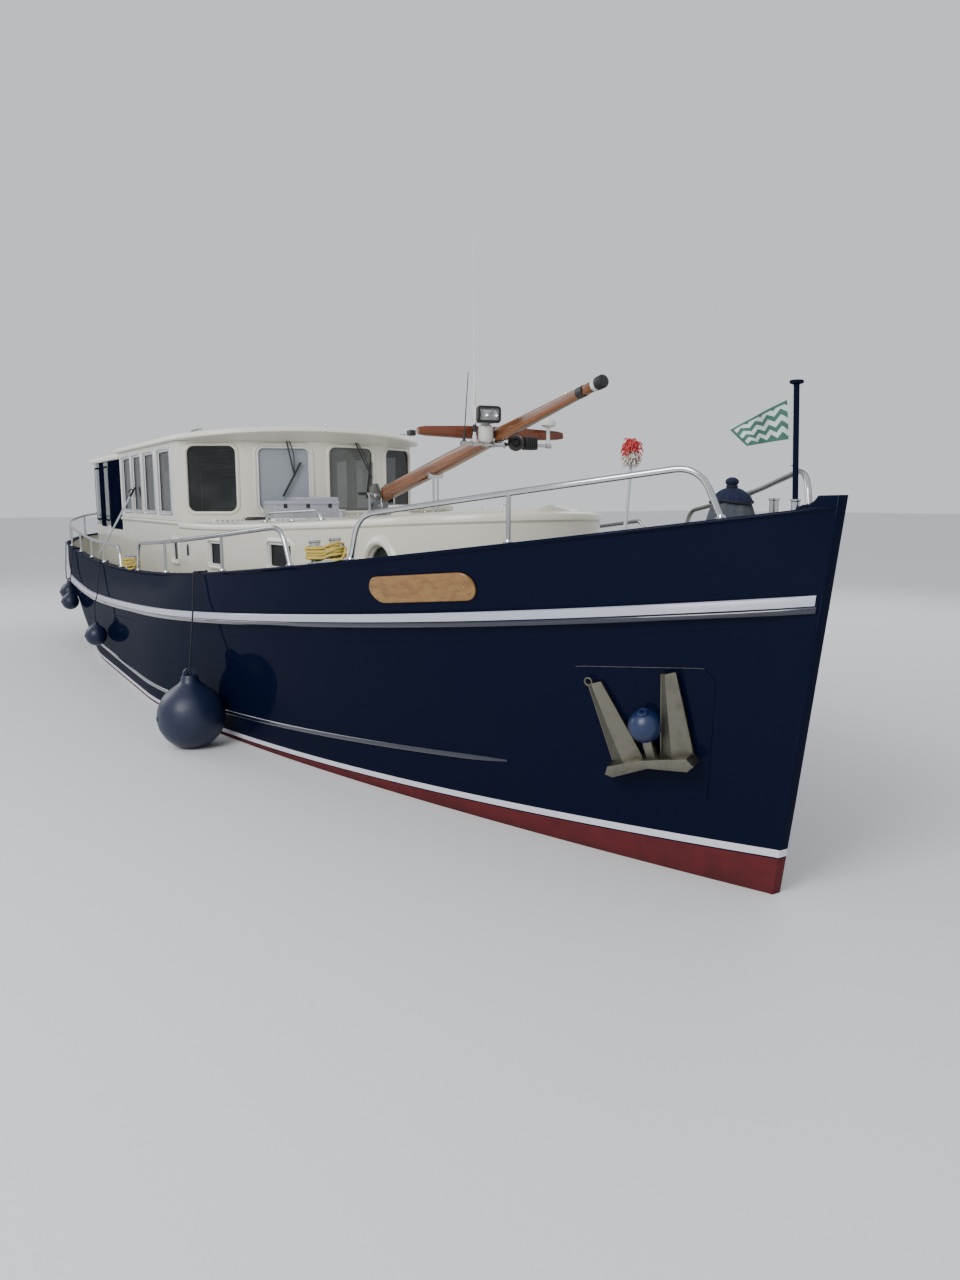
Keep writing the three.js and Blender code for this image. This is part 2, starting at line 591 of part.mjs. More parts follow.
// Cockpit: a coaming all round with a gate to starboard, aft, that swings inboard about its fore inner edge
const GATE = { fore: -5350, aft: -5900, gap: 6 };
const HINGE = { x: -5353, y: -1378, radius: 9, tall: 40, feet: [1320, 1720] };   // gate hinge, heights of its knuckles
function cockpitCoaming() {
  const outer = block(COCKPIT.aft, -COCKPIT.half, 900, COCKPIT.fore - SEAT, COCKPIT.half, COCKPIT.top);
  const inner = block(COCKPIT.aft + COCKPIT.wall, -COCKPIT.half + COCKPIT.wall, 800, COCKPIT.fore + 50,
    COCKPIT.half - COCKPIT.wall, COCKPIT.top + 50);
  const gateway = block(GATE.aft, -COCKPIT.half - 50, 1180, GATE.fore, -COCKPIT.half + 100, COCKPIT.top + 50);
  const lugs = HINGE.feet.flatMap((foot) => [
    rod([HINGE.x, HINGE.y, foot - HINGE.tall], [HINGE.x, HINGE.y, foot - SEAT], HINGE.radius, 10),
    block(HINGE.x, HINGE.y, foot - HINGE.tall, HINGE.x + 18, -COCKPIT.half + COCKPIT.wall - 5, foot - SEAT),
  ]);
  return join(cut(outer, inner, gateway, belowDeck), ...lugs);
}
add('cockpit_coaming', cockpitCoaming(), CREAM);

function gate() {
  const inner = -COCKPIT.half + COCKPIT.wall - 10;
  const leaf = block(GATE.aft + GATE.gap, -COCKPIT.half, 1180 + GATE.gap, GATE.fore - GATE.gap, inner, COCKPIT.top - 10);
  const knuckles = HINGE.feet.flatMap((foot) => [
    rod([HINGE.x, HINGE.y, foot], [HINGE.x, HINGE.y, foot + HINGE.tall], HINGE.radius, 10),
    block(HINGE.x - 27, inner - 5, foot, HINGE.x, HINGE.y, foot + HINGE.tall),
  ]);
  return join(leaf, ...knuckles);
}
add('cockpit_gate', gate(), CREAM);

// Hardtop with its posts standing on the coaming
function hardtop() {
  const top = roofBody(HARDTOP, HARDTOP.under, 200);
  const posts = [];
  for (const side of [-1, 1]) {
    for (const x of [COCKPIT.aft + 25, -5250]) {
      posts.push(rod([x, side * (COCKPIT.half - 25), COCKPIT.top + SEAT],
        [x, side * (COCKPIT.half - 25), HARDTOP.under + 40], 19));
    }
    posts.push(rod([-4250, side * (COCKPIT.half - 25), COCKPIT.top + SEAT],
      [-4250, side * (COCKPIT.half - 25), HARDTOP.under + 40], 19));
  }
  return join(top, ...posts);
}
add('hardtop', hardtop(), CREAM);

// Canvas sides hanging from the hardtop, outside the posts
const CURTAIN = { thick: 14, low: 1800 };
for (const [name, side] of [['canvas_starboard', -1], ['canvas_port', 1]]) {
  const near = side * (COCKPIT.half + 6);
  add(name, block(-6460, near, CURTAIN.low, -4170, near + side * CURTAIN.thick, HARDTOP.under - SEAT), CANVAS);
}
add('canvas_aft', block(COCKPIT.aft - 6 - CURTAIN.thick, -1400, CURTAIN.low, COCKPIT.aft - 6, 1400,
  HARDTOP.under - SEAT), CANVAS);

const PIN_R = 12;

// Mast, hinged in its tabernacle and lowered forward; its own length runs along +X before it is tilted
const mastGroup = new THREE.Group();
mastGroup.position.set(...MAST.pivot);
mastGroup.rotation.y = -THREE.MathUtils.degToRad(MAST.lift);
mastGroup.updateMatrix();
yacht.add(mastGroup);

const mastHalf = (x) => MAST.foot + (MAST.head - MAST.foot) * Math.max(0, (x - 1500) / (MAST.length - 1590));
const CROSS = { x: 2216, half: 685, low: -14, deep: 100, wide: 50 };
const HEEL = 60;

function mastSpar(grow = 0) {
  const ring = (x, half) => Array.from({ length: 12 }, (_, k) => {
    const angle = (2 * Math.PI * (k + 0.5)) / 12;
    return new THREE.Vector3(x, (half + grow) * 0.82 * Math.cos(angle), (half + grow) * Math.sin(angle));
  });
  const spar = skin([ring(-HEEL, MAST.foot), ring(1500, MAST.foot), ring(MAST.length - 90, MAST.head),
    ring(MAST.length, MAST.head)]);
  const notch = block(CROSS.x - CROSS.wide / 2 - SEAT, -200, CROSS.low - SEAT, CROSS.x + CROSS.wide / 2 + SEAT, 200,
    150);
  const bore = rod([0, -200, 0], [0, 200, 0], PIN_R + 0.8, 16);
  return cut(spar, notch, bore);
}

// Crosstree let into the mast, tapering to its ends
function crosstree() {
  const high = CROSS.low + CROSS.deep;
  const outline = [[-CROSS.half, CROSS.low + 20], [-250, CROSS.low], [250, CROSS.low], [CROSS.half, CROSS.low + 20],
    [CROSS.half, high - 14], [250, high], [-250, high], [-CROSS.half, high - 14]];
  const arm = across(outline, -CROSS.wide / 2, CROSS.wide / 2);
  return arm.rotateZ(Math.PI / 2).translate(CROSS.x, 0, 0);
}

function masthead() {
  const collar = rod([MAST.length + SEAT, 0, 0], [MAST.length + 45, 0, 0], 44, 18);
  const cap = rod([MAST.length + 45, 0, 0], [MAST.length + 120, 0, 0], 47, 18);
  return join(collar, cap);
}
add('mast', mastSpar(), VARNISH, mastGroup);
add('crosstree', crosstree(), VARNISH, mastGroup);
add('masthead_light', masthead(), DARK, mastGroup);

// Place in the yacht of a point given along the lowered mast
function onMast(x, y, z) {
  const tilt = THREE.MathUtils.degToRad(MAST.lift);
  return [MAST.pivot[0] + x * Math.cos(tilt) - z * Math.sin(tilt), y,
    MAST.pivot[2] + x * Math.sin(tilt) + z * Math.cos(tilt)];
}

// Tabernacle: two cheeks on the trunk with the mast between them, and the pin that it turns on
const CHEEK = { inner: 64, thick: 12, aft: 1730, fore: 1990, foot: 1960, top: 2400 };
function tabernacle() {
  const side = [[CHEEK.aft, CHEEK.foot], [CHEEK.aft, 2360], [1800, CHEEK.top], [1920, CHEEK.top],
    [CHEEK.fore, 2330], [CHEEK.fore, CHEEK.foot]];
  const cheeks = [[-CHEEK.inner - CHEEK.thick, -CHEEK.inner], [CHEEK.inner, CHEEK.inner + CHEEK.thick]]
    .map(([low, high]) => across(side, low, high));
  const foot = block(CHEEK.aft, -CHEEK.inner - 5, CHEEK.foot, CHEEK.fore, CHEEK.inner + 5, 2070);
  const pin = rod([MAST.pivot[0], -125, MAST.pivot[2]], [MAST.pivot[0], 125, MAST.pivot[2]], PIN_R);
  const drum = rod([1925, -CHEEK.inner - 5, 2112], [1925, CHEEK.inner + 5, 2112], 42, 16);
  return cut(join(...cheeks, foot, pin, drum), trunkBody(0.5));
}
add('tabernacle', tabernacle(), STEEL);

// Crutch on the trunk that the lowered mast rests on
const CRUTCH_X = 3020;

function mastCrutch() {
  const along = (CRUTCH_X - MAST.pivot[0]) / Math.cos(THREE.MathUtils.degToRad(MAST.lift));
  const under = onMast(along - 20, 0, -mastHalf(along) * Math.cos(Math.PI / 12))[2];
  const legs = [-1, 1].map((side) => rod([CRUTCH_X, side * 22, 2050], [CRUTCH_X, side * 22, under - 10], 10, 10));
  const cradle = block(CRUTCH_X - 14, -72, under - 24, CRUTCH_X + 14, 72, under + 30);
  return cut(join(...legs, cradle), trunkBody(0.5), mastSpar(SEAT).applyMatrix4(mastGroup.matrix));
}
add('mast_crutch', mastCrutch(), STEEL);

// Instrument bar under the mast at the crosstree; what it carries stands upright while the mast is down
const BAR = { along: CROSS.x + 70, starboard: -338, port: 511, radius: 13 };
const INSTRUMENTS = { light: -141, whip: -226, aerial: -334, horn: 224, receiver: 482 };

function instrumentBar() {
  const drop = mastHalf(BAR.along) * Math.cos(Math.PI / 12) + BAR.radius + 5;
  const [x, , z] = onMast(BAR.along, 0, -drop);
  const at = (y, rise) => [x, y, z + rise];
  const bar = rod(at(BAR.starboard, 0), at(BAR.port, 0), BAR.radius);
  const saddle = block(x - 30, -45, z - 10, x + 30, 45, z + BAR.radius + 20);
  const lamp = join(rod(at(INSTRUMENTS.light, 0), at(INSTRUMENTS.light, 170), 30, 12),
    block(x - 85, INSTRUMENTS.light - 125, z + 155, x + 85, INSTRUMENTS.light + 125, z + 295));
  const whip = join(rod(at(INSTRUMENTS.whip, 0), at(INSTRUMENTS.whip, 420), 13, 8),
    rod(at(INSTRUMENTS.whip, 400), at(INSTRUMENTS.whip, 1625), 6, 6, 3.5));
  const aerial = rod(at(INSTRUMENTS.aerial, 0), [x, INSTRUMENTS.aerial + 44, z + 550], 7, 6, 4);
  const horn = block(x - 35, INSTRUMENTS.horn - 150, z - 55, x + 95, INSTRUMENTS.horn + 150, z + 50);
  const receiver = join(rod(at(INSTRUMENTS.receiver, 0), at(INSTRUMENTS.receiver, 165), 14, 10),
    rod(at(INSTRUMENTS.receiver, 160), at(INSTRUMENTS.receiver, 225), 64, 16, 52));
  return cut(join(bar, saddle, lamp, whip, aerial, horn, receiver), mastSpar(0.5).applyMatrix4(mastGroup.matrix));
}
add('instrument_bar', instrumentBar(), STEEL);

// Everything below the top of the cap, for cutting the feet of what stands on it
const wideCap = { ...capLevel, half: capLevel.half + 4 };
const belowCap = shipBody([levelRow(wideCap, 0, -200), levelRow(wideCap, 0, SEAT)]);
const FOOT = -15;

// Rails stand on the cap: each is a pipe from foot to foot with posts under it
const capEdge = (x) => breadth(capLevel, x) - 48;
const onCap = (x, side, rise = FOOT) => [x, side * capEdge(x), capZ(x) + rise];
const POST_R = 14;

function capRail(feet, tops, posts, side) {
  const [aftFoot, foreFoot] = feet;
  const line = [onCap(aftFoot, side), ...tops.map(([x, rise]) => onCap(x, side, rise)), onCap(foreFoot, side)];
  const stanchions = posts.map((x) => rod(onCap(x, side), onCap(x, side, railRise(tops, x)), POST_R, 8));
  return cut(join(pipe(line, RAIL_R), ...stanchions), belowCap);
}

// Height of a rail over the cap at a place between its tops
function railRise(tops, x) {
  const i = Math.max(1, tops.findIndex(([top]) => top >= x));
  const [[x0, z0], [x1, z1]] = [tops[i - 1], tops[i]];
  const share = (x - x0) / (x1 - x0);
  const level = [x0, x1].map(capZ);
  return z0 + level[0] + (z1 + level[1] - z0 - level[0]) * share - capZ(x);
}

// Tops are [x, height over the cap]
const BOW_RAIL = { feet: [4640, 6960], tops: [[4720, 300], [5300, 300], [6000, 300], [6860, 300]], posts: [5860] };
const WAIST_RAIL = { feet: [-180, 3960], tops: [[-120, 300], [900, 300], [1900, 300], [2900, 300], [3860, 300]],
  posts: [1180, 2860] };
for (const [tail, side] of [['starboard', -1], ['port', 1]]) {
  add(`bow_rail_${tail}`, capRail(BOW_RAIL.feet, BOW_RAIL.tops, BOW_RAIL.posts, side), STEEL);
  add(`waist_rail_${tail}`, capRail(WAIST_RAIL.feet, WAIST_RAIL.tops, WAIST_RAIL.posts, side), STEEL);
}

// Stern rail from quarter to quarter, round the stern
function sternRail() {
  const tops = [[-1290, 250], [-2400, 250], [-3400, 250], [-4400, 270], [-5300, 290], [-6100, 310], [-6750, 330],
    [-7110, 350]];
  const end = STERN_X + 50;
  const half = [onCap(-1200, 1), ...tops.map(([x, rise]) => onCap(x, 1, rise))];
  const line = [...mirrorY(half), [end, -300, capZ(end) + 360], [end, 300, capZ(end) + 360],
    ...half.reverse()];
  const posts = [];
  for (const side of [-1, 1]) {
    for (const x of [-2400, -3400, -4400, -5300, -6100, -6750]) {
      posts.push(rod(onCap(x, side), onCap(x, side, railRise([...tops].reverse(), x)), POST_R, 6));
    }
    posts.push(rod([end, side * 290, capZ(end) + FOOT], [end, side * 290, capZ(end) + 360], POST_R, 6));
  }
  return cut(join(pipe(line, RAIL_R, 160), ...posts), belowCap);
}
add('stern_rail', sternRail(), STEEL);

// Double bollards on the cap: base plate, two posts with a crossbar, and turns of rope round them
const BOLLARD = { post: 38, height: 165, apart: 230, plate: 12, rope: 62 };

function bollard(x, side, roped) {
  const [px, py, pz] = onCap(x, side);
  const lean = Math.atan2(side * (capEdge(x + 100) - capEdge(x - 100)), 200);
  const slope = Math.atan2(capZ(x + 200) - capZ(x - 200), 400);
  const half = BOLLARD.apart / 2;
  const plate = block(-half - 60, -42, 12, half + 60, 42, BOLLARD.plate + 15);
  const posts = [-half, half].map((at) => rod([at, 0, 5], [at, 0, BOLLARD.height], BOLLARD.post, 12));
  const lips = [-half, half].map((at) => rod([at, 0, BOLLARD.height - 14], [at, 0, BOLLARD.height], 44, 12));
  const bar = rod([-half - 70, 0, 105], [half + 70, 0, 105], 11, 8);
  const turns = roped ? [-half, half].map((at) => rod([at, 0, 22], [at, 0, 92], BOLLARD.rope, 12)) : [];
  const whole = join(plate, ...posts, ...lips, bar, ...turns).rotateY(-slope).rotateZ(lean).translate(px, py, pz);
  return cut(whole, belowCap);
}
const BOLLARDS = [
  // name, x, side, with rope
  ['bollard_fore_starboard', 4390, -1, true], ['bollard_fore_port', 4390, 1, false],
  ['bollard_aft_starboard', -560, -1, true], ['bollard_aft_port', -560, 1, false],
];
for (const [name, x, side, roped] of BOLLARDS) add(name, bollard(x, side, roped), STEEL);

// Jackstaff with its truck, in a socket on the stem cap, and the flag on it
const STAFF = { x: 7130, radius: 15, height: 700 };
const STAFF_FOOT = capZ(STAFF.x);
const STAFF_HEAD = STAFF_FOOT + STAFF.height;
const staffPole = (grow) => rod([STAFF.x, 0, STAFF_FOOT - 10], [STAFF.x - 30, 0, STAFF_HEAD], STAFF.radius + grow, 12);

function jackstaff() {
  const socket = rod([STAFF.x, 0, STAFF_FOOT - 10], [STAFF.x, 0, STAFF_FOOT + 75], 22, 14);
  const truck = rod([STAFF.x - 30, 0, STAFF_HEAD - 6], [STAFF.x - 31, 0, STAFF_HEAD + 18], 38, 16);
  return cut(join(staffPole(0), socket, truck), belowCap);
}
add('jackstaff', jackstaff(), NAVY);

// Flag flying to the starboard quarter: outline points are [reach from the staff, z]
function flag() {
  const outline = [[4, 2565], [195, 2525], [300, 2530], [360, 2600], [195, 2690], [4, 2768]];
  const sheet = across(outline, -4, 4).rotateZ(Math.atan2(-0.861, -0.509)).translate(STAFF.x - 22, 0, 0);
  return cut(sheet, staffPole(SEAT));
}
add('flag', flag(), WHITE);

// Windlass under its cloth cover, gathered at the top
function windlass() {
  const x = 6700;
  const foot = deckZ(x) - 20;
  const profile = [[0, foot], [185, foot], [180, foot + 60], [150, 1950], [128, 2130], [66, 2270], [30, 2305],
    [38, 2345], [18, 2370], [0, 2372]];
  const cover = new THREE.LatheGeometry(profile.map(([r, z]) => new THREE.Vector2(r, z)), 20);
  return cut(cover.rotateX(Math.PI / 2).translate(x, 0, 0), belowDeck);
}
add('windlass', windlass(), GREY_CLOTH);

// Anchors lie flukes up against the topsides: drawn with u forward, v up and w out from the plating
const ANCHOR = { x: 6440, z: 640 };

function anchorFrame() {
  const step = 50;
  const here = new THREE.Vector3(ANCHOR.x, -topsideAt(ANCHOR.x, ANCHOR.z), ANCHOR.z);
  const fore = new THREE.Vector3(ANCHOR.x + step, -topsideAt(ANCHOR.x + step, ANCHOR.z), ANCHOR.z).sub(here);
  const up = new THREE.Vector3(ANCHOR.x, -topsideAt(ANCHOR.x, ANCHOR.z + 400), ANCHOR.z + 400).sub(here);
  const out = fore.clone().cross(up).normalize();
  const u = fore.normalize();
  const canted = new THREE.Matrix4().makeRotationZ(THREE.MathUtils.degToRad(13));
  return new THREE.Matrix4().makeBasis(u, out.clone().cross(u), out).setPosition(here).multiply(canted)
    .multiply(new THREE.Matrix4().makeTranslation(90, 70, 0));
}

function fluke(side) {
  const ring = (v, half, ridge, centre) => [[-half, 26], [half, 26], [half, 38], [0, 38 + ridge], [-half, 38]]
    .map(([u, w]) => new THREE.Vector3(centre + u, v, w));
  return skin([ring(-5, 106, 46, side * 165), ring(240, 76, 36, side * 206), ring(500, 46, 20, side * 250)]);
}

function anchor() {
  const crown = upright([[-300, -62], [-265, -8], [-50, 14], [50, 14], [265, 6], [300, -46], [250, -76], [0, -40],
    [-250, -84]], 14, 130);
  const stub = block(-15, -30, 10, 45, 120, 80);
  const shank = rod([0, 170, -60], [0, 60, 60], 30, 12);
  const blue = ball([10, 195, 30], 104, 12, 8);
  const whole = join(fluke(-1), fluke(1), crown, stub, shank, blue).applyMatrix4(anchorFrame());
  return cut(whole, shipBody(hullRows(1)));
}
add('anchor_starboard', anchor(), STEEL);
add('anchor_port', outward(anchor().applyMatrix4(new THREE.Matrix4().makeScale(1, -1, 1))), STEEL);

// Fenders hang to starboard on lines made fast at the cap
const FENDERS = [
  // x, z of the middle, radius
  [2100, 290, 305], [-2450, 480, 137], [-4900, 700, 125], [-5800, 770, 145],
];

// Distance out at which a ball of this radius just clears the flare of the side
function ballSide(x, z, radius) {
  const reach = [-0.5, 0, 0.5].flatMap((along) => Array.from({ length: 13 }, (_, i) => {
    const angle = ((i - 6) / 6) * 1.4;
    const high = z + radius * Math.sin(angle);
    const rail = Math.abs(high - rubZ(x)) < RUB.radius * 2 ? RUB.radius : 0;
    return topsideAt(x + along * radius, high) + rail + radius * Math.sqrt(1 - along ** 2) * Math.cos(angle);
  }));
  return Math.max(...reach) + 6;
}

function fender(x, z, radius) {
  const side = ballSide(x, z, radius);
  const clear = breadth(deckLevel, x) + STRAKE.proud * 1.4 + 14;
  const neck = rod([x, -side, z + radius * 0.8], [x, -side, z + radius * 1.3], radius * 0.42, 10, radius * 0.16);
  const line = [[x, -side, z + radius * 1.25], [x, -Math.max(side, clear), deckZ(x) - 130], [x, -clear, deckZ(x) + 12],
    [x, -breadth(capLevel, x) - 12, capZ(x) - 40], [x, -breadth(capLevel, x) - 12, capZ(x) + 6],
    [x, -breadth(capLevel, x) + 60, capZ(x) + 6]];
  const rope = tube(line.map((p) => new THREE.Vector3(...p)), 7, 5);
  return cut(join(ball([x, -side, z], radius, 14, 9), neck, rope), belowCap);
}
FENDERS.forEach(([x, z, radius], i) => add(`fender_${i + 1}`, fender(x, z, radius), VINYL));

// Mop standing on the foredeck in a clip on the hatch coaming
function mop() {
  const [x, y] = [5300, 300];
  const pole = rod([x, y, deckZ(x) + 8], [x, y, 2500], 12, 8);
  const head = ball([x, y, 2585], 88, 12, 8);
  const clip = block(x - 22, FOREHATCH.half - 25 + SEAT, forehatchZ - 50, x + 22, y + 6, forehatchZ - 20);
  return join(pole, head, clip);
}
add('mop', mop(), WHITE);

// Box and grab rails on the trunk
function deckBox() {
  return cut(join(block(230, -715, 1990, 640, 30, 2225), block(230, -455, 2200, 640, 30, 2270)), trunkBody(0.5));
}
add('deck_box', deckBox(), finish(0x9a9ba6, 0.5, 0));

function grabRail(side) {
  const edge = (x) => side * (trunkHalf(x) - 90);
  const top = (x) => trunkRim(x) + 95;
  const ends = [1720, 2780];
  const line = [[ends[0], edge(ends[0]), trunkRim(ends[0]) - 30], [ends[0] + 60, edge(ends[0]), top(ends[0])],
    [2250, edge(2250), top(2250)], [ends[1] - 60, edge(ends[1]), top(ends[1])],
    [ends[1], edge(ends[1]), trunkRim(ends[1]) - 30]];
  const posts = [2250].map((x) => rod([x, edge(x), trunkRim(x) - 30], [x, edge(x), top(x)], 10, 6));
  return cut(join(pipe(line, 14, 70, 6), ...posts), trunkBody(0.5));
}
add('grab_rail_starboard', grabRail(-1), STEEL);
add('grab_rail_port', grabRail(1), STEEL);

// Propeller with its shaft
function propeller() {
  const shaft = rod([-4800 - SEAT, 0, PROP.z], [PROP.x - 150, 0, PROP.z], 26, 14);
  const hub = rod([PROP.x - 85, 0, PROP.z], [PROP.x + 85, 0, PROP.z], PROP.hub, 16);
  const nut = rod([PROP.x - 185, 0, PROP.z], [PROP.x - 80, 0, PROP.z], 22, 12, 52);
  const blades = [0, 1, 2, 3].map((i) => {
    const oval = new THREE.Shape();
    oval.absellipse(0, 0, 105, 128, 0, 2 * Math.PI);
    const blade = new THREE.ExtrudeGeometry(oval, { depth: 16, bevelEnabled: false, curveSegments: 10 });
    blade.translate(0, 0, -8).rotateX(Math.PI / 2).rotateZ(Math.PI / 2).rotateZ(-0.55).translate(0, 0, 182);
    return blade.rotateX((i * Math.PI) / 2).translate(PROP.x, 0, PROP.z);
  });
  return join(shaft, hub, nut, ...blades);
}
add('propeller', propeller(), BRONZE);

// Rudder: blade, stock up into its port and pintle down to the heel
function rudder() {
  const { x, fore, aft, low, high, half } = RUDDER;
  const plan = [[x + fore, 0], [x + fore - 30, half], [x + 60, half + 8], [x - aft + 120, half - 8], [x - aft, 8],
    [x - aft, -8], [x - aft + 120, -half + 8], [x + 60, -half - 8], [x + fore - 30, -half]];
  const blade = upright(plan, low + 12, high);
  const stock = rod([x, 0, high - 50], [x, 0, -250 - 2 * SEAT], 34, 16);
  const pintle = rod([x, 0, -1035 + SEAT], [x, 0, low + 60], 32, 16);
  return join(blade, stock, pintle);
}
add('rudder', rudder(), finish(0x7d2a22, 0.6, 0));

export default yacht;
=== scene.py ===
"""Looks of a displacement motor yacht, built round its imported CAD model.

Metres, in the model's own frame: +X to the bow, +Y to port, +Z up, the waterline at Z = 0.
Each sub-assembly is a class with its sizes, and main() builds them in order.
"""

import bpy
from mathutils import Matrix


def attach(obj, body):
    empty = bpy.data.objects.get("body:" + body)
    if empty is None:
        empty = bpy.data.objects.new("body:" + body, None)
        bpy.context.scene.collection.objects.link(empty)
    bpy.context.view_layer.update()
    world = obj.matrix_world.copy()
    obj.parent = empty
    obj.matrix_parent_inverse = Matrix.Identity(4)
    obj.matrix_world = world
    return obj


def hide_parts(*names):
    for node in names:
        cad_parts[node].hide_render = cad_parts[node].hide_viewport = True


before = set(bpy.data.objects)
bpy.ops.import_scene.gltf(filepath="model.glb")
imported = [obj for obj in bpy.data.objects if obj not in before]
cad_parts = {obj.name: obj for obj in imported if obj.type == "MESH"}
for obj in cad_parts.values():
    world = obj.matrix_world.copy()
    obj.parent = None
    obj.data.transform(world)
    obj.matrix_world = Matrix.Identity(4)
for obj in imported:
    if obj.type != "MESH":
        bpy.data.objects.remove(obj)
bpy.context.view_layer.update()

import logging
import math
import random
from dataclasses import dataclass
from enum import Enum
from typing import Callable, Iterable, Optional, Sequence

import bmesh
import bpy
from mathutils import Matrix, Vector

logging.basicConfig(level=logging.INFO, format="%(message)s")
LOG = logging.getLogger("yacht")

Pair = tuple[float, float]
Triple = tuple[float, float, float]
Four = tuple[float, float, float, float]
Point = Sequence[float]
Ring = Sequence[Point]
YACHT, MAST_BODY = "yacht", "mast"
STARBOARD, PORT = -1, 1
STRANDS = 3  # of a laid rope


# Socket arithmetic and shader graphs

class Value:
    """A shader socket that takes part in Python arithmetic."""

    def __init__(self, graph: "Graph", socket: bpy.types.NodeSocket) -> None:
        """Keep the graph and the socket."""
        self.graph = graph
        self.socket = socket

    def _math(self, operation: str, *inputs: "float | Value") -> "Value":
        """Add one Math node.

        Args:
            operation: The Math node's operation.
            inputs: Numbers or values, in socket order.
        Returns:
            The result as a value.
        """
        return self.graph.node("ShaderNodeMath", dict(operation=operation), {i: v for i, v in enumerate(inputs)})

    def __add__(self, other: "float | Value") -> "Value":
        """Return self + other."""
        return self._math("ADD", self, other)

    __radd__ = __add__

    def __sub__(self, other: "float | Value") -> "Value":
        """Return self - other."""
        return self._math("SUBTRACT", self, other)

    def __rsub__(self, other: "float | Value") -> "Value":
        """Return other - self."""
        return self._math("SUBTRACT", other, self)

    def __mul__(self, other: "float | Value") -> "Value":
        """Return self * other."""
        return self._math("MULTIPLY", self, other)

    __rmul__ = __mul__

    def __pow__(self, other: "float | Value") -> "Value":
        """Return self ** other."""
        return self._math("POWER", self, other)

    def __lt__(self, other: "float | Value") -> "Value":
        """Return 1 where self is below other."""
        return self._math("LESS_THAN", self, other)

    def __gt__(self, other: "float | Value") -> "Value":
        """Return 1 where self is above other."""
        return self._math("GREATER_THAN", self, other)

    def atleast(self, other: "float | Value") -> "Value":
        """Return the larger of self and other."""
        return self._math("MAXIMUM", self, other)

    def atmost(self, other: "float | Value") -> "Value":
        """Return the smaller of self and other."""
        return self._math("MINIMUM", self, other)

    def sine(self) -> "Value":
        """Return the sine."""
        return self._math("SINE", self)

    def ping(self, scale: float) -> "Value":
        """Return a triangle wave of this height."""
        return self._math("PINGPONG", self, scale)

    def ramp(self, low: float, high: float) -> "Value":
        """Rise from 0 at low to 1 at high, smoothly."""
        return self.graph.node("ShaderNodeMapRange", dict(interpolation_type="SMOOTHSTEP"),
                               {"Value": self, "From Min": low, "From Max": high})


class Graph:
    """A material's node tree."""

    def __init__(self, name: str) -> None:
        """Make an empty material of this name."""
        self.material = bpy.data.materials.new(name)
        self.material.use_nodes = True
        self.tree = self.material.node_tree
        self.tree.nodes.clear()
        self._parts: Optional[tuple[Value, Value, Value]] = None

    def node(self, kind: str, settings: dict, inputs: dict, out: int | str = 0) -> Value:
        """Add any node.

        Args:
            kind: The node's type.
            settings: Its properties, set first.
            inputs: Values, colours, numbers or links by socket name or index.
            out: Which output to return.
        Returns:
            The chosen output as a value.
        """
        made = self.tree.nodes.new(kind)
        for key, value in settings.items():
            setattr(made, key, value)
        for key, value in inputs.items():
            socket = made.inputs[key]
            if isinstance(value, Value):
                self.tree.links.new(value.socket, socket)
            elif socket.type == "RGBA" and len(value) == 3:
                socket.default_value = (*value, 1.0)
            else:
                socket.default_value = value
        return Value(self, made.outputs[out])

    def place(self) -> Value:
        """Return the Object coordinates."""
        return self.node("ShaderNodeTexCoord", {}, {}, "Object")

    def xyz(self) -> tuple[Value, Value, Value]:
        """Return the place's three parts."""
        if self._parts is None:
            first = self.node("ShaderNodeSeparateXYZ", {}, {0: self.place()})
            outs = first.socket.node.outputs
            self._parts = (first, Value(self, outs[1]), Value(self, outs[2]))
        return self._parts

    def turned(self, scale: Point, turn: Point = (0, 0, 0)) -> Value:
        """Return the place seen along turned axes, then scaled."""
        return self.node("ShaderNodeMapping", dict(vector_type="TEXTURE"),
                         {"Vector": self.place(), "Scale": [1 / s for s in scale], "Rotation": turn})

    def noise(self, scale: float, detail: float = 3.0, where: Optional[Value] = None, rough: float = 0.55) -> Value:
        """Return a noise texture's value."""
        return self.node("ShaderNodeTexNoise", {}, {"Vector": where or self.place(), "Scale": scale,
                                                    "Detail": detail, "Roughness": rough})

    def cells(self, scale: float) -> Value:
        """Return a cell texture's distance."""
        return self.node("ShaderNodeTexVoronoi", {}, {"Vector": self.place(), "Scale": scale})

    def mix(self, factor: "Value | float", low: "Value | Point", high: "Value | Point") -> Value:
        """Mix two colours."""
        return self.node("ShaderNodeMix", dict(data_type="RGBA"), {0: factor, 6: low, 7: high}, 2)

    def bump(self, height: Value, strength: float, distance: float) -> Value:
        """Return a normal bent by a height."""
        return self.node("ShaderNodeBump", {}, {"Height": height, "Strength": strength, "Distance": distance})

    def surface(self, **sockets: "Value | float | Point") -> bpy.types.Material:
        """Finish with one Principled shader.

        Args:
            sockets: Socket values by name, with underscores for spaces.
        Returns:
            The material.
        """
        shader = self.node("ShaderNodeBsdfPrincipled", {}, {k.replace("_", " "): v for k, v in sockets.items()})
        out = self.tree.nodes.new("ShaderNodeOutputMaterial")
        self.tree.links.new(shader.socket, out.inputs["Surface"])
        return self.material


# Finishes

NAVY_TINT, NAVY_WORN = (0.0030, 0.0050, 0.019), (0.007, 0.010, 0.028)
BRICK_TINT, BRICK_WORN = (0.115, 0.022, 0.026), (0.070, 0.020, 0.020)


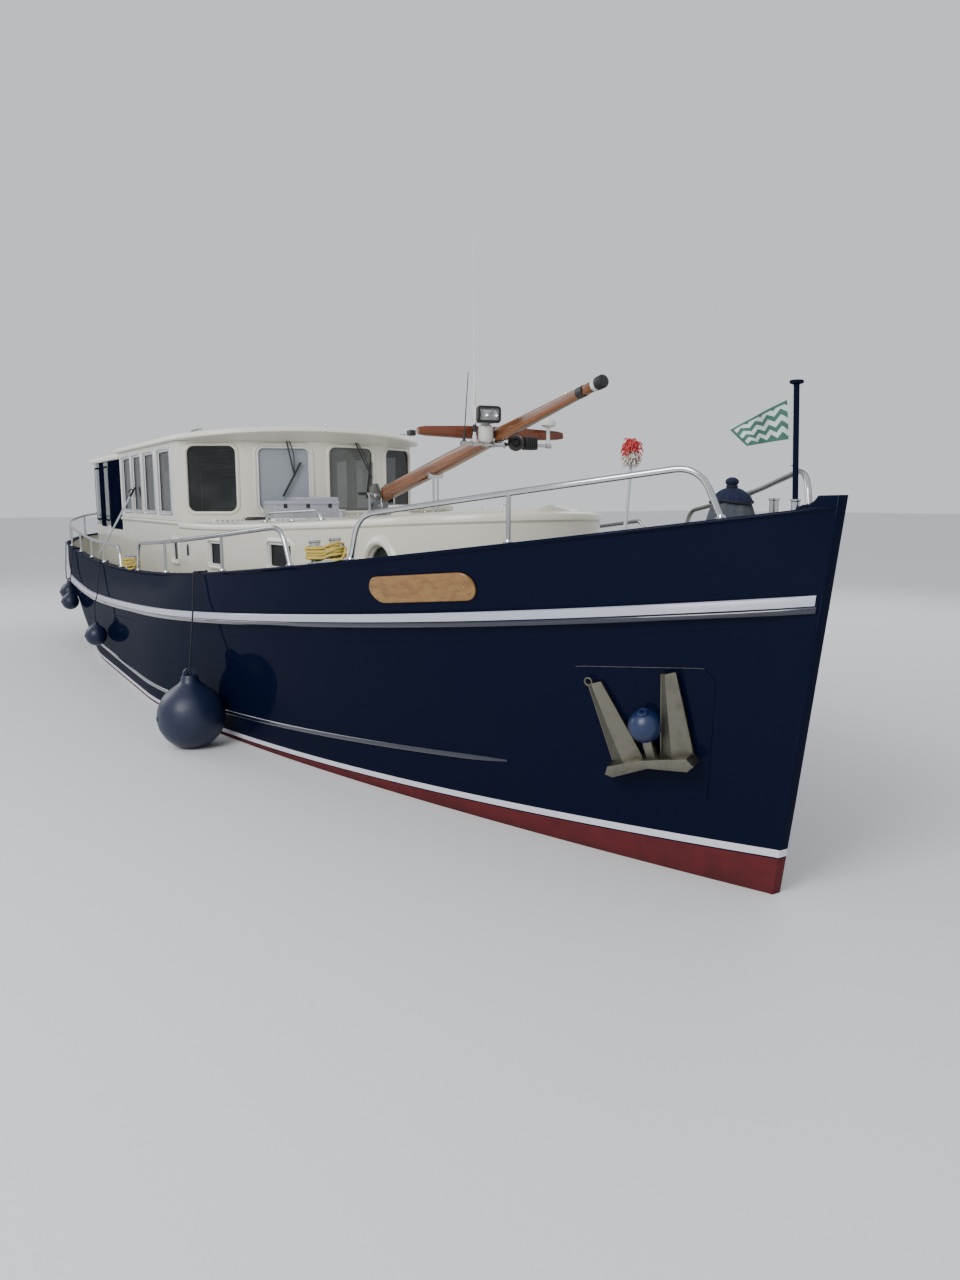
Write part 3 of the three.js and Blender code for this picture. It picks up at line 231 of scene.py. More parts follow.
@dataclass(frozen=True)
class Paint:
    """Sprayed or brushed enamel with slight unevenness and dirt."""

    name: str
    colour: Triple
    soiled: Triple
    rough: float = 0.28
    coat: float = 0.3
    grime: float = 0.25
    waviness: float = 0.02
    peel: float = 0.03
    shine: float = 0.5

    def build(self) -> bpy.types.Material:
        """Return the material."""
        g = Graph(self.name)
        dirt = g.noise(2.3, 6).ramp(0.45, 0.85) * self.grime
        fine = g.noise(38, 3).ramp(0.35, 0.75) * (self.grime * 0.35)
        colour = g.mix((dirt + fine).atmost(1.0), self.colour, self.soiled)
        height = g.noise(3.1, 2) * self.waviness + g.noise(420, 1) * (self.peel * 0.02)
        return g.surface(Base_Color=colour, Roughness=dirt * 0.25 + self.rough, Specular_IOR_Level=self.shine,
                         Coat_Weight=self.coat, Coat_Roughness=0.06, Normal=g.bump(height, 0.6, 1.0))


@dataclass(frozen=True)
class HullPaint:
    """Topsides: navy above a white boot stripe, brick red antifouling below it."""

    name: str = "hull_paint"
    white: Triple = (0.70, 0.69, 0.76)
    chalked: Triple = (0.45, 0.45, 0.47)
    top: float = 0.07
    stripe: float = 0.045
    line: float = 0.009

    def build(self) -> bpy.types.Material:
        """Return the material."""
        g = Graph(self.name)
        x, _, z = g.xyz()
        top = (x + 0.5).atleast(0.0) ** 2.3 * 0.0019 + self.top
        above = z > top
        stripe = (z > (top - self.stripe)) * (1 - above)
        line = (z > (top - self.stripe - self.line)) * (1 - above) * (1 - stripe)
        wet = 1 - z.ramp(0.0, 0.075)
        weed = (g.noise(7, 5).ramp(0.4, 0.7) * 0.55 + wet * 0.5).atmost(1.0)
        below = g.mix(weed, BRICK_TINT, BRICK_WORN)
        streak = g.noise(1.0, 5, g.turned((5.0, 5.0, 0.7))).ramp(0.55, 0.85) * 0.3
        navy = g.mix(streak, NAVY_TINT, NAVY_WORN)
        white = g.mix(g.noise(9, 4).ramp(0.5, 0.8) * 0.4, self.white, self.chalked)
        colour = g.mix((above + line).atmost(1.0), g.mix(stripe, below, white), navy)
        rough = (1 - above) * (1 - stripe) * 0.38 + g.noise(5, 3) * 0.05 + 0.07
        height = g.noise(1.35, 2) * 0.011 + g.noise(5.5, 1) * 0.0012
        return g.surface(Base_Color=colour, Roughness=rough, Specular_IOR_Level=0.0, Coat_Weight=0.12,
                         Coat_Roughness=0.04, Normal=g.bump(height, 0.75, 1.0))


@dataclass(frozen=True)
class Varnish:
    """Varnished hardwood with grain along an axis."""

    name: str
    light: Triple = (0.25, 0.078, 0.024)
    dark: Triple = (0.10, 0.027, 0.010)
    turn: Triple = (0.0, 0.0, 0.0)
    along: Triple = (1.2, 26.0, 26.0)
    rough: float = 0.22

    def build(self) -> bpy.types.Material:
        """Return the material."""
        g = Graph(self.name)
        where = g.turned(self.along, self.turn)
        bands = g.noise(1.0, 6, where, 0.62)
        streaks = g.noise(3.3, 3, where, 0.5).ramp(0.35, 0.75)
        blotch = g.noise(2.2, 2).ramp(0.3, 0.8)
        colour = g.mix(bands.ramp(0.35, 0.68), self.light, self.dark)
        colour = g.mix(streaks * 0.35, colour, self.dark)
        colour = g.mix(blotch * 0.22, colour, (0.33, 0.11, 0.035))
        return g.surface(Base_Color=colour, Roughness=blotch * 0.14 + self.rough, Specular_IOR_Level=0.35,
                         Coat_Weight=0.2, Coat_Roughness=0.12, Normal=g.bump(bands, 0.05, 0.004))


@dataclass(frozen=True)
class Metal:
    """Bare metal, from mirror polish to a dull cast or galvanised skin, with painted shade where the surface turns
    away from the view when edge is set.
    """

    name: str
    colour: Triple = (0.52, 0.53, 0.54)
    stain: Triple = (0.36, 0.34, 0.31)
    rough: float = 0.1
    spread: float = 0.16
    scale: float = 9.0
    grain: float = 0.0
    # edge: strength of the painted shade that darkens the metal where it turns away from the view, standing in for the
    # dark reflections along polished tubes
    edge: float = 0.0

    def build(self) -> bpy.types.Material:
        """Return the material."""
        g = Graph(self.name)
        smudge = g.noise(self.scale, 5).ramp(0.42, 0.78)
        spots = g.cells(self.scale * 5).ramp(0.0, 0.5)
        colour = g.mix(smudge * 0.45, self.colour, self.stain)
        # Painted shade: darker towards the grazing edges that face away from the view
        if self.edge:
            facing = g.node("ShaderNodeLayerWeight", {}, {"Blend": 0.5}, "Facing")
            colour = g.mix(facing.ramp(0.25, 0.75) * self.edge, colour, (0.09, 0.095, 0.10))
        rough = smudge * self.spread + (1 - spots) * self.grain * 0.2 + self.rough
        height = g.noise(190, 2) * self.grain + g.noise(3, 1) * 0.0004
        return g.surface(Base_Color=colour, Metallic=1.0, Roughness=rough, Normal=g.bump(height, 0.35, 0.004))


@dataclass(frozen=True)
class Cloth:
    """Woven cloth with folds' shading left to the mesh."""

    name: str
    colour: Triple
    faded: Triple
    threads: float = 900.0
    rough: float = 0.85
    shine: float = 0.2

    def build(self) -> bpy.types.Material:
        """Return the material."""
        g = Graph(self.name)
        x, y, z = g.xyz()
        weave = ((x + y) * self.threads).sine() * (z * self.threads).sine()
        fade = g.noise(3.0, 5).ramp(0.35, 0.8)
        fuzz = g.noise(160, 3)
        colour = g.mix(fade * 0.6 + fuzz * 0.2, self.colour, self.faded)
        return g.surface(Base_Color=colour, Roughness=fuzz * 0.1 + self.rough - 0.05,
                         Specular_IOR_Level=self.shine,
                         Normal=g.bump(weave * 0.5 + fuzz, 0.3, 0.0012))


@dataclass(frozen=True)
class Plastic:
    """Moulded plastic, rubber or vinyl with a fine skin."""

    name: str
    colour: Triple
    worn: Triple
    rough: float = 0.42
    coat: float = 0.0
    grain: float = 260.0

    def build(self) -> bpy.types.Material:
        """Return the material."""
        g = Graph(self.name)
        scuff = g.noise(6, 6).ramp(0.42, 0.8)
        skin = g.noise(self.grain, 2)
        colour = g.mix(scuff * 0.55, self.colour, self.worn)
        return g.surface(Base_Color=colour, Roughness=scuff * 0.18 + self.rough, Coat_Weight=self.coat,
                         Coat_Roughness=0.2, Normal=g.bump(skin, 0.14, 0.002))


@dataclass(frozen=True)
class Glass:
    """Glass or clear vinyl: a painted body colour with a share of what is behind it. The dark body is painted shade of
    the inside, the pale body is painted reflection of sky and lit things behind, and pale blotches are partly dust and
    partly painted reflection.
    """

    name: str
    # The pane's body colour, painted: dark for the shaded inside seen through it, pale for reflected sky and lit
    # things behind
    painted_view: Triple = (0.016, 0.020, 0.021)
    clear: float = 0.5
    shine: float = 0.5

    def build(self) -> bpy.types.Material:
        """Return the material."""
        g = Graph(self.name)
        # Pale blotches, partly dust and partly painted reflection
        dust_and_reflection = g.noise(4, 5).ramp(0.45, 0.9)
        return g.surface(Base_Color=g.mix(dust_and_reflection * 0.12, self.painted_view, (0.40, 0.42, 0.42)), Roughness=dust_and_reflection * 0.05 + 0.01,
                         Specular_IOR_Level=self.shine, Alpha=1.0 - self.clear)


@dataclass(frozen=True)
class ZigzagFlag:
    """Green and white zigzag cloth with a green hem and a white hoist band, on the sheet's own UV map."""

    name: str = "flag_zigzag"
    green: Triple = (0.010, 0.095, 0.065)
    white: Triple = (0.58, 0.66, 0.66)

    def build(self) -> bpy.types.Material:
        """Return the material."""
        g = Graph(self.name)
        uv = g.node("ShaderNodeUVMap", dict(uv_map="cloth"), {})
        u = g.node("ShaderNodeSeparateXYZ", {}, {0: uv})
        v = Value(g, u.socket.node.outputs[1])
        zig = (u * 4.6).ping(0.5) * 0.30
        bands = ((v + zig) * 6.4).ping(1.0) > 0.5
        hem = 1 - (v > 0.08) * (v < 0.92) * (u < 0.96)
        hoist = u < 0.1
        green = (bands + hem).atmost(1.0) * (1 - hoist)
        fuzz = g.noise(240, 3)
        colour = g.mix(green, self.white, self.green)
        colour = g.mix(fuzz * 0.18, colour, (0.4, 0.5, 0.45))
        return g.surface(Base_Color=colour, Roughness=fuzz * 0.1 + 0.75, Sheen_Weight=0.2,
                         Normal=g.bump(fuzz, 0.25, 0.001))


@dataclass(frozen=True)
class RopeLay:
    """Laid rope or yarn, with paler flecks and worn patches."""

    name: str
    colour: Triple
    fleck: Triple
    worn: Triple = (0.3, 0.26, 0.15)

    def build(self) -> bpy.types.Material:
        """Return the material."""
        g = Graph(self.name)
        fibre = g.noise(300, 4)
        colour = g.mix(fibre.ramp(0.35, 0.7) * 0.5, self.colour, self.fleck)
        colour = g.mix(g.noise(25, 3).ramp(0.4, 0.8) * 0.3, colour, self.worn)
        return g.surface(Base_Color=colour, Roughness=fibre * 0.2 + 0.6, Normal=g.bump(fibre, 0.5, 0.002))


MADE: dict[str, bpy.types.Material] = {}


class Look(Enum):
    """The yacht's finishes."""

    HULL = HullPaint()
    NAVY = Paint("navy_enamel", NAVY_TINT, NAVY_WORN, 0.1, 0.12, 0.3, 0.010, shine=0.0)
    NAVY_GLOSS = Paint("navy_gloss", NAVY_TINT, NAVY_WORN, 0.12, 1.0, 0.3, 0.002)
    STRIPE = Paint("stripe_white", (0.48, 0.49, 0.58), (0.34, 0.34, 0.39), 0.3, 0.2, 0.4, 0.004)
    CREAM = Paint("cream_enamel", (0.65, 0.63, 0.54), (0.46, 0.44, 0.36), 0.26, 0.3, 0.16, 0.006)
    # The walls' cream paint, painted lighter on the roof for the light that falls on it from above
    SKYLIT_CREAM = Paint("cream_enamel_lit_from_above", (0.78, 0.76, 0.68), (0.54, 0.52, 0.45), 0.38, 0.1, 0.22, 0.004)
    DECK = Paint("deck_paint", (0.40, 0.38, 0.32), (0.25, 0.24, 0.21), 0.75, 0.0, 0.5, 0.0, 0.6)
    RED = Paint("antifouling", BRICK_TINT, BRICK_WORN, 0.55, 0.0, 0.7, 0.004)
    WOOD = Varnish("varnish_fore_and_aft")
    MAST_WOOD = Varnish("varnish_mast", (0.22, 0.082, 0.026), (0.10, 0.034, 0.012), (0.0, -0.2077, 0.0),
                        (1.1, 30.0, 30.0))
    CROSS_WOOD = Varnish("varnish_across", (0.18, 0.045, 0.018), (0.075, 0.018, 0.009), (0, 0, 0), (26.0, 1.2, 26.0))
    BOARD = Varnish("varnish_board", (0.30, 0.170, 0.056), (0.20, 0.100, 0.034), (0, 0, 0), (1.5, 30.0, 30.0), 0.3)
    # Polished steel with painted shade on its grazing edges (edge=0.85), standing in for dark reflections
    STEEL = Metal("polished_steel", (0.60, 0.61, 0.62), edge=0.85)
    ALUMINIUM = Metal("window_aluminium", (0.55, 0.56, 0.58), (0.36, 0.37, 0.38), 0.32, 0.15, 12)
    GALVANISED = Metal("galvanised", (0.19, 0.18, 0.145), (0.10, 0.09, 0.065), 0.36, 0.22, 14, 0.6)
    BRONZE = Metal("propeller_bronze", (0.50, 0.33, 0.12), (0.22, 0.17, 0.08), 0.3, 0.25, 11, 0.4)
    CANVAS = Cloth("navy_canvas", (0.0022, 0.0035, 0.013), (0.006, 0.008, 0.020), shine=0.0)
    COVER = Cloth("grey_cover", (0.070, 0.076, 0.092), (0.11, 0.12, 0.14), 700)
    COVER_NAVY = Cloth("navy_gather", (0.01, 0.014, 0.04), (0.03, 0.035, 0.07), 700)
    CURTAIN = Cloth("pale_curtain", (0.84, 0.86, 0.90), (0.72, 0.74, 0.79), 1200)
    SEAT = Plastic("seat_vinyl", (0.55, 0.50, 0.40), (0.4, 0.36, 0.28), 0.5)
    BLACK = Plastic("black_plastic", (0.012, 0.012, 0.013), (0.035, 0.035, 0.036), 0.45)
    RUBBER = Plastic("window_rubber", (0.02, 0.02, 0.021), (0.05, 0.05, 0.05), 0.6)
    WHITE_PLASTIC = Plastic("white_plastic", (0.66, 0.66, 0.64), (0.48, 0.48, 0.45), 0.35, 0.2)
    GREY_BOX = Plastic("grey_gelcoat", (0.34, 0.345, 0.40), (0.24, 0.245, 0.28), 0.34, 0.3)
    FENDER = Plastic("fender_vinyl", (0.004, 0.009, 0.036), (0.012, 0.019, 0.050), 0.40, 0.08)
    BLUE_FLOAT = Plastic("float_vinyl", (0.004, 0.016, 0.068), (0.012, 0.026, 0.075), 0.34, 0.2)
    # Painted light in the glass: the window glass's dark body stands in for the shaded inside, and the pale bodies of
    # the opening light, centre light, lens and clear panels stand in for reflected sky and lit things seen through
    GLASS = Glass("window_glass")
    PALE_GLASS = Glass("opening_light_glass", (0.36, 0.39, 0.43), 0.38)
    GREY_GLASS = Glass("centre_light_glass", (0.17, 0.18, 0.165), 0.5)
    SMOKED = Glass("porthole_glass", (0.006, 0.007, 0.008), 0.1, 0.15)
    LENS = Glass("lamp_lens", (0.55, 0.57, 0.58), 0.8)
    VINYL_PANE = Glass("clear_panel", (0.42, 0.45, 0.47), 0.72)
    FLAG = ZigzagFlag()
    YELLOW_ROPE = RopeLay("yellow_rope", (0.44, 0.32, 0.045), (0.62, 0.53, 0.18))
    BLACK_ROPE = RopeLay("black_rope", (0.006, 0.007, 0.014), (0.02, 0.02, 0.03), (0.02, 0.02, 0.025))
    RED_YARN = RopeLay("red_yarn", (0.55, 0.03, 0.04), (0.70, 0.12, 0.12))
    WHITE_YARN = RopeLay("white_yarn", (0.62, 0.60, 0.54), (0.75, 0.73, 0.68))
    POLE = Plastic("pale_pole", (0.50, 0.56, 0.60), (0.38, 0.42, 0.45), 0.35)

    def material(self) -> bpy.types.Material:
        """Return this finish's material, made once."""
        if self.name not in MADE:
            MADE[self.name] = self.value.build()
        return MADE[self.name]


# The record's material slot of each finish
SLOTS: dict[Look, str] = {
    Look.SKYLIT_CREAM: "cream_paint", Look.HULL: "navy_hull", Look.NAVY_GLOSS: "navy_hull", Look.NAVY: "navy_paint",
    Look.STRIPE: "white_stripe", Look.CREAM: "cream_paint", Look.RED: "antifouling", Look.WOOD: "varnished_wood",
    Look.MAST_WOOD: "varnished_wood", Look.CROSS_WOOD: "varnished_wood", Look.BOARD: "varnished_wood",
    Look.STEEL: "stainless", Look.ALUMINIUM: "stainless", Look.GALVANISED: "galvanised", Look.BRONZE: "bronze",
    Look.CANVAS: "navy_canvas", Look.BLACK: "black_plastic", Look.RUBBER: "black_plastic",
    Look.WHITE_PLASTIC: "black_plastic", Look.GREY_BOX: "grey_box", Look.FENDER: "navy_vinyl",
    Look.BLUE_FLOAT: "navy_vinyl", Look.GLASS: "window_glass", Look.PALE_GLASS: "window_glass",
    Look.GREY_GLASS: "window_glass", Look.SMOKED: "window_glass", Look.LENS: "window_glass",
    Look.VINYL_PANE: "window_glass", Look.YELLOW_ROPE: "mop_yarn", Look.BLACK_ROPE: "black_plastic",
    Look.RED_YARN: "mop_yarn", Look.WHITE_YARN: "mop_yarn", Look.POLE: "mop_yarn",
}


# Mesh making

@dataclass(frozen=True)
class Plane:
    """A flat place to work on: its origin, its right and its up."""

    origin: Triple
    right: Triple
    up: Triple = (0.0, 0.0, 1.0)

    @property
    def matrix(self) -> Matrix:
        """Return the placing matrix, with Z pointing off the plane."""
        u = Vector(self.right).normalized()
        n = u.cross(Vector(self.up)).normalized()
        v = n.cross(u)
        return framed(u, v, n, self.origin)


def framed(u: Vector, v: Vector, w: Vector, origin: Point) -> Matrix:
    """Return the placing matrix with these three axes at an origin."""
    return Matrix.Translation(origin) @ Matrix((u, v, w)).transposed().to_4x4()


UPRIGHT = Plane((0, 0, 0), (1, 0, 0), (0, 0, 1)).matrix
MIRRORS = {"starboard": Matrix.Identity(4), "port": Matrix.Scale(-1, 4, (0, 1, 0))}


def rounded_box(width: float, height: float, radius: float, steps: int = 6) -> list[Pair]:
    """Return a rounded rectangle round the origin, anticlockwise.

    Args:
        width: Full width.
        height: Full height.
        radius: Corner radius.
        steps: Steps to a corner.
    Returns:
        The outline's points.
    """
    radius = min(radius, width / 2 - 1e-5, height / 2 - 1e-5)
    corners = [(width / 2 - radius, height / 2 - radius, 0), (radius - width / 2, height / 2 - radius, 1),
               (radius - width / 2, radius - height / 2, 2), (width / 2 - radius, radius - height / 2, 3)]
    return [(cx + radius * math.cos((q + i / steps) * math.pi / 2),
             cy + radius * math.sin((q + i / steps) * math.pi / 2))
            for cx, cy, q in corners for i in range(steps + 1)]


def angles(steps: int, count: Optional[int] = None) -> list[float]:
    """Return the angles of a turn in equal steps, or only the first few of them."""
    return [2 * math.pi * k / steps for k in range(steps if count is None else count)]


def bent(points: Ring, bend: float, steps: int = 6) -> list[Vector]:
    """Round the corners of a row of points.

    Args:
        points: The row's corners.
        bend: How far each rounding reaches.
        steps: Steps to a corner.
    Returns:
        The rounded row.
    """
    spots = [Vector(p) for p in points]
    row = [spots[0]]
    for before, here, after in zip(spots, spots[1:], spots[2:]):
        reach = min(bend, (here - before).length / 2.05, (after - here).length / 2.05)
        start = here + (before - here).normalized() * reach
        end = here + (after - here).normalized() * reach
        for i in range(steps + 1):
            s = i / steps
            row.append(start * (1 - s) ** 2 + here * (2 * s * (1 - s)) + end * s ** 2)
    return row + [spots[-1]]


def between(a: Vector, b: Vector, c: Vector, d: Vector, s: float) -> Vector:
    """Return the smooth curve's point at a share of the way from b to c."""
    return 0.5 * (2 * b + (c - a) * s + (2 * a - 5 * b + 4 * c - d) * s * s + (3 * b - a - 3 * c + d) * s ** 3)


def flowing(points: Ring, per: int = 8) -> list[Vector]:
    """Return a smooth curve through the points, with this many steps between two."""
    spots = [Vector(p) for p in points]
    padded = [spots[0] * 2 - spots[1], *spots, spots[-1] * 2 - spots[-2]]
    row = []
    for four in zip(padded, padded[1:], padded[2:], padded[3:]):
        row += [between(*four, i / per) for i in range(per)]
    return row + [spots[-1]]


def mirrored(points: Iterable[Point]) -> list[Vector]:
    """Return points on the other side of the centre line."""
    return [Vector((p[0], -p[1], p[2])) for p in points]


class Shape:
    """A mesh in the making; each method adds one form, shaped by bmesh operators."""

    def __init__(self) -> None:
        """Start empty."""
        self.whole = bmesh.new()

    def _keep(self, part: bmesh.types.BMesh, matrix: Optional[Matrix] = None, weld: float = 1e-5) -> None:
        """Weld a part, turn its faces outwards, place it and add it.

        Args:
            part: The new form, used up here.
            matrix: Its place.
            weld: Distance under which points are merged.
        """
        bmesh.ops.remove_doubles(part, verts=part.verts[:], dist=weld)
        bmesh.ops.recalc_face_normals(part, faces=part.faces[:])
        if matrix is not None:
            bmesh.ops.transform(part, matrix=matrix, verts=part.verts[:])
            if matrix.determinant() < 0:
                bmesh.ops.reverse_faces(part, faces=part.faces[:])
        kept = bpy.data.meshes.new("part")
        part.to_mesh(kept)
        part.free()
        self.whole.from_mesh(kept)
        bpy.data.meshes.remove(kept)

    def box(self, low: Point, high: Point, bevel: float = 0.0, segments: int = 2,
            matrix: Optional[Matrix] = None) -> None:
        """Add a block between two corners.

        Args:
            low: One corner.
            high: The opposite corner.
            bevel: Width of its rounded edges.
            segments: Steps across an edge.
            matrix: Its place, after the corners.
        """
        part = bmesh.new()
        bmesh.ops.create_cube(part, size=1.0)
        size = [max(abs(b - a), 1e-6) for a, b in zip(low, high)]
        bmesh.ops.scale(part, vec=size, verts=part.verts[:])
        bmesh.ops.translate(part, vec=(Vector(low) + Vector(high)) / 2, verts=part.verts[:])
        if bevel:
            bmesh.ops.bevel(part, geom=part.edges[:], offset=bevel, segments=segments, profile=0.5,
                            affect="EDGES", material=-1)
        self._keep(part, matrix)

    def slab(self, outline: Sequence[Pair], low: float, high: float, bevel: float = 0.0,
             segments: int = 2, matrix: Optional[Matrix] = None) -> None:
        """Add a flat outline drawn out from low to high.

        Args:
            outline: Points in the plane.
            low: Level of its back.
            high: Level of its front.
            bevel: Width of the rounded rim of both faces.
            segments: Steps across the rim.
            matrix: Its place.
        """
        part = bmesh.new()
        base = part.faces.new([part.verts.new((x, y, low)) for x, y in outline])
        drawn = bmesh.ops.extrude_face_region(part, geom=[base])["geom"]
        bmesh.ops.translate(part, vec=(0, 0, high - low),
                            verts=[v for v in drawn if isinstance(v, bmesh.types.BMVert)])
        if bevel:
            rims = [e for e in part.edges if abs(e.verts[0].co.z - e.verts[1].co.z) < 1e-6]
            bmesh.ops.bevel(part, geom=rims, offset=bevel, segments=segments, profile=0.5, affect="EDGES", material=-1)
        self._keep(part, matrix)

    def lathe(self, profile: Sequence[Pair], origin: Point = (0, 0, 0), axis: Point = (0, 0, 1),
              steps: int = 32, closed: bool = False, matrix: Optional[Matrix] = None) -> None:
        """Add a turned form.

        Args:
            profile: Radius and height of each point.
            origin: Where the height is 0.
            axis: Direction of the height.
            steps: Steps of the turn.
            closed: Whether the profile is a loop off the axis.
            matrix: A further place.
        """
        part = bmesh.new()
        row = [part.verts.new((r, 0, h)) for r, h in profile]
        edges = [part.edges.new(pair) for pair in zip(row, row[1:])]
        if closed:
            edges.append(part.edges.new((row[-1], row[0])))
        bmesh.ops.spin(part, geom=row + edges, cent=(0, 0, 0), axis=(0, 0, 1), angle=2 * math.pi, steps=steps,
                       use_merge=True, use_duplicate=False)
        place = Matrix.Translation(origin) @ Vector(axis).to_track_quat("Z", "Y").to_matrix().to_4x4()
        self._keep(part, place if matrix is None else matrix @ place)

    def collar(self, inner: float, outer: float, low: float, high: float, origin: Point, axis: Point = (0, 0, 1),
               steps: int = 24, matrix: Optional[Matrix] = None) -> None:
        """Add a flat-sided ring between two radii and two heights along an axis."""
        profile = [(inner, low), (outer, low), (outer, high), (inner, high)]
        self.lathe(profile, origin, axis, steps, True, matrix)

    def rod(self, start: Point, end: Point, radius: float, end_radius: Optional[float] = None, chamfer: float = 0.0,
            steps: int = 20, matrix: Optional[Matrix] = None) -> None:
        """Add a round bar or cone between two points, with chamfered ends."""
        line = Vector(end) - Vector(start)
        tip = radius if end_radius is None else end_radius
        ease = min(chamfer, radius * 0.6, tip * 0.6, line.length * 0.4)
        profile = [(0, 0), (radius - ease, 0), (radius, ease), (tip, line.length - ease), (tip - ease, line.length),
                   (0, line.length)]
        self.lathe(profile, start, line, steps, matrix=matrix)

    def ball(self, centre: Point, radius: float, across: int = 32, down: int = 20,
             squash: Point = (1, 1, 1), matrix: Optional[Matrix] = None) -> None:
        """Add a ball, which squash may flatten."""
        part = bmesh.new()
        bmesh.ops.create_uvsphere(part, u_segments=across, v_segments=down, radius=radius)
        bmesh.ops.scale(part, vec=squash, verts=part.verts[:])
        place = Matrix.Translation(centre)
        self._keep(part, place if matrix is None else matrix @ place)

    def loft(self, rings: Sequence[Ring], closed: bool = True, caps: bool = True, cyclic: bool = False,
             matrix: Optional[Matrix] = None, weld: float = 1e-5) -> None:
        """Add a skin over rings of equal count, drawn out from one ring to the next.

        Args:
            rings: The rings, each a row of points.
            closed: Whether each ring is a loop.
            caps: Whether the end rings are filled.
            cyclic: Whether the last ring joins the first.
            matrix: Its place.
            weld: Distance under which points are merged.
        """
        part = bmesh.new()
        row = [part.verts.new(p) for p in rings[0]]
        pairs = zip(row, row[1:] + row[:1]) if closed else zip(row, row[1:])
        edges = [part.edges.new(pair) for pair in pairs]
        filled = caps and closed and not cyclic
        if filled:
            bmesh.ops.contextual_create(part, geom=edges)
        for ring in [*rings[1:], *([rings[0]] if cyclic else [])]:
            made = bmesh.ops.extrude_edge_only(part, edges=edges)["geom"]
            fresh = {v for v in made if isinstance(v, bmesh.types.BMVert)}
            row = [next(e.other_vert(v) for e in v.link_edges if e.other_vert(v) in fresh) for v in row]
            edges = [e for e in made if isinstance(e, bmesh.types.BMEdge) and set(e.verts) <= fresh]
            for vert, place in zip(row, ring):
                vert.co = place
        if filled:
            bmesh.ops.contextual_create(part, geom=edges)
        self._keep(part, matrix, weld)

    def tube(self, points: Ring, radius: float | Sequence[float], sides: int = 12, cyclic: bool = False,
             lay: float = 0.0, matrix: Optional[Matrix] = None) -> None:
        """Add a pipe or a rope along a row of points.

        Args:
            points: The centre line.
            radius: One radius, or one for each point.
            sides: Sides of the section.
            cyclic: Whether the line is a loop.
            lay: Length of one twist of a rope's strands, or 0 for a plain pipe.
            matrix: Its place.
        """
        spots = [Vector(p) for p in points]
        count = len(spots)
        radii = [radius] * count if isinstance(radius, (int, float)) else list(radius)
        side, rings, run = None, [], 0.0
        for i, spot in enumerate(spots):
            before = spots[i - 1] if i or cyclic else spot
            after = spots[(i + 1) % count] if i + 1 < count or cyclic else spot
            ahead = (after - before).normalized()
            if side is None:
                side = ahead.orthogonal()
            side = (side - ahead * side.dot(ahead)).normalized()
            over = ahead.cross(side)
            run += (spot - before).length if i else 0.0
            ring = []
            for k in range(sides):
                angle = 2 * math.pi * k / sides
                swell = 1.0
                if lay:
                    twist = 2 * math.pi * run / lay / STRANDS
                    swell = 0.86 + 0.14 * math.cos(STRANDS * (angle - twist))
                ring.append(spot + (side * math.cos(angle) + over * math.sin(angle)) * radii[i] * swell)
            rings.append(ring)
        self.loft(rings, cyclic=cyclic, matrix=matrix)

    def hoop(self, centre: Point, radius: float, thick: float, steps: int = 20, sides: int = 8, u: Point = (1, 0, 0),
             v: Point = (0, 1, 0), matrix: Optional[Matrix] = None) -> None:
        """Add a ring of round bar.

        Args:
            centre: Its middle.
            radius: Its radius.
            thick: Radius of the bar.
            steps: Steps of the turn.
            sides: Sides of the bar.
            u: Direction of the turn's start.
            v: Direction a quarter turn on.
            matrix: Its place.
        """
        u, v, centre = Vector(u) * radius, Vector(v) * radius, Vector(centre)
        line = [centre + u * math.cos(a) + v * math.sin(a) for a in angles(steps)]
        self.tube(line, thick, sides, cyclic=True, matrix=matrix)

    def moulding(self, path: Sequence[Pair], profile: Sequence[Pair],
                 plane: Matrix) -> None:
        """Add a frame: a section carried round a closed flat path.

        Args:
            path: The path's points in the plane, anticlockwise.
            profile: The section's points, each how far outwards and how far off the plane.
            plane: The plane's placing matrix.
        """
        rings = []
        for i, (x, y) in enumerate(path):
            before, after = path[i - 1], path[(i + 1) % len(path)]
            out = Vector((after[1] - before[1], before[0] - after[0])).normalized()
            rings.append([plane @ Vector((x + out.x * o, y + out.y * o, h)) for o, h in profile])
        self.loft(rings, cyclic=True)

    def object(self, name: str, look: Look, smooth: float = 34.0) -> bpy.types.Object:
        """Turn the shape into an object with its material.

        Args:
            name: The object's name.
            look: Its finish.
            smooth: Angle in degrees over which an edge stays sharp.
        Returns:
            The object, linked to the scene.
        """
        mesh = bpy.data.meshes.new(name)
        self.whole.to_mesh(mesh)
        self.whole.free()
        mesh.materials.append(look.material())
        made = bpy.data.objects.new(name, mesh)
        bpy.context.scene.collection.objects.link(made)
        soften(made, smooth)
        return made

    def fit(self, name: str, look: Look, *nodes: str, body: str = YACHT, slot: Optional[str] = None,
            smooth: float = 40.0) -> bpy.types.Object:
        """Turn the shape into a piece on its body.

        Args:
            name: The piece's name.
            look: Its finish.
            nodes: CAD nodes that it replaces.
            body: The body that it rides on.
            slot: The record's material slot, where it isn't the finish's own.
            smooth: Angle in degrees over which an edge stays sharp.
        Returns:
            The piece.
        """
        return fitted(self.object(name, look, smooth), body, slot or SLOTS[look], *nodes)


def soften(piece: bpy.types.Object, angle: float) -> None:
    """Shade smooth, with edges over an angle in degrees kept sharp."""
    work = bmesh.new()
    work.from_mesh(piece.data)
    limit = math.radians(angle)
    for face in work.faces:
        face.smooth = True
    for edge in work.edges:
        edge.smooth = len(edge.link_faces) != 2 or edge.calc_face_angle(0.0) < limit
    work.to_mesh(piece.data)
    work.free()


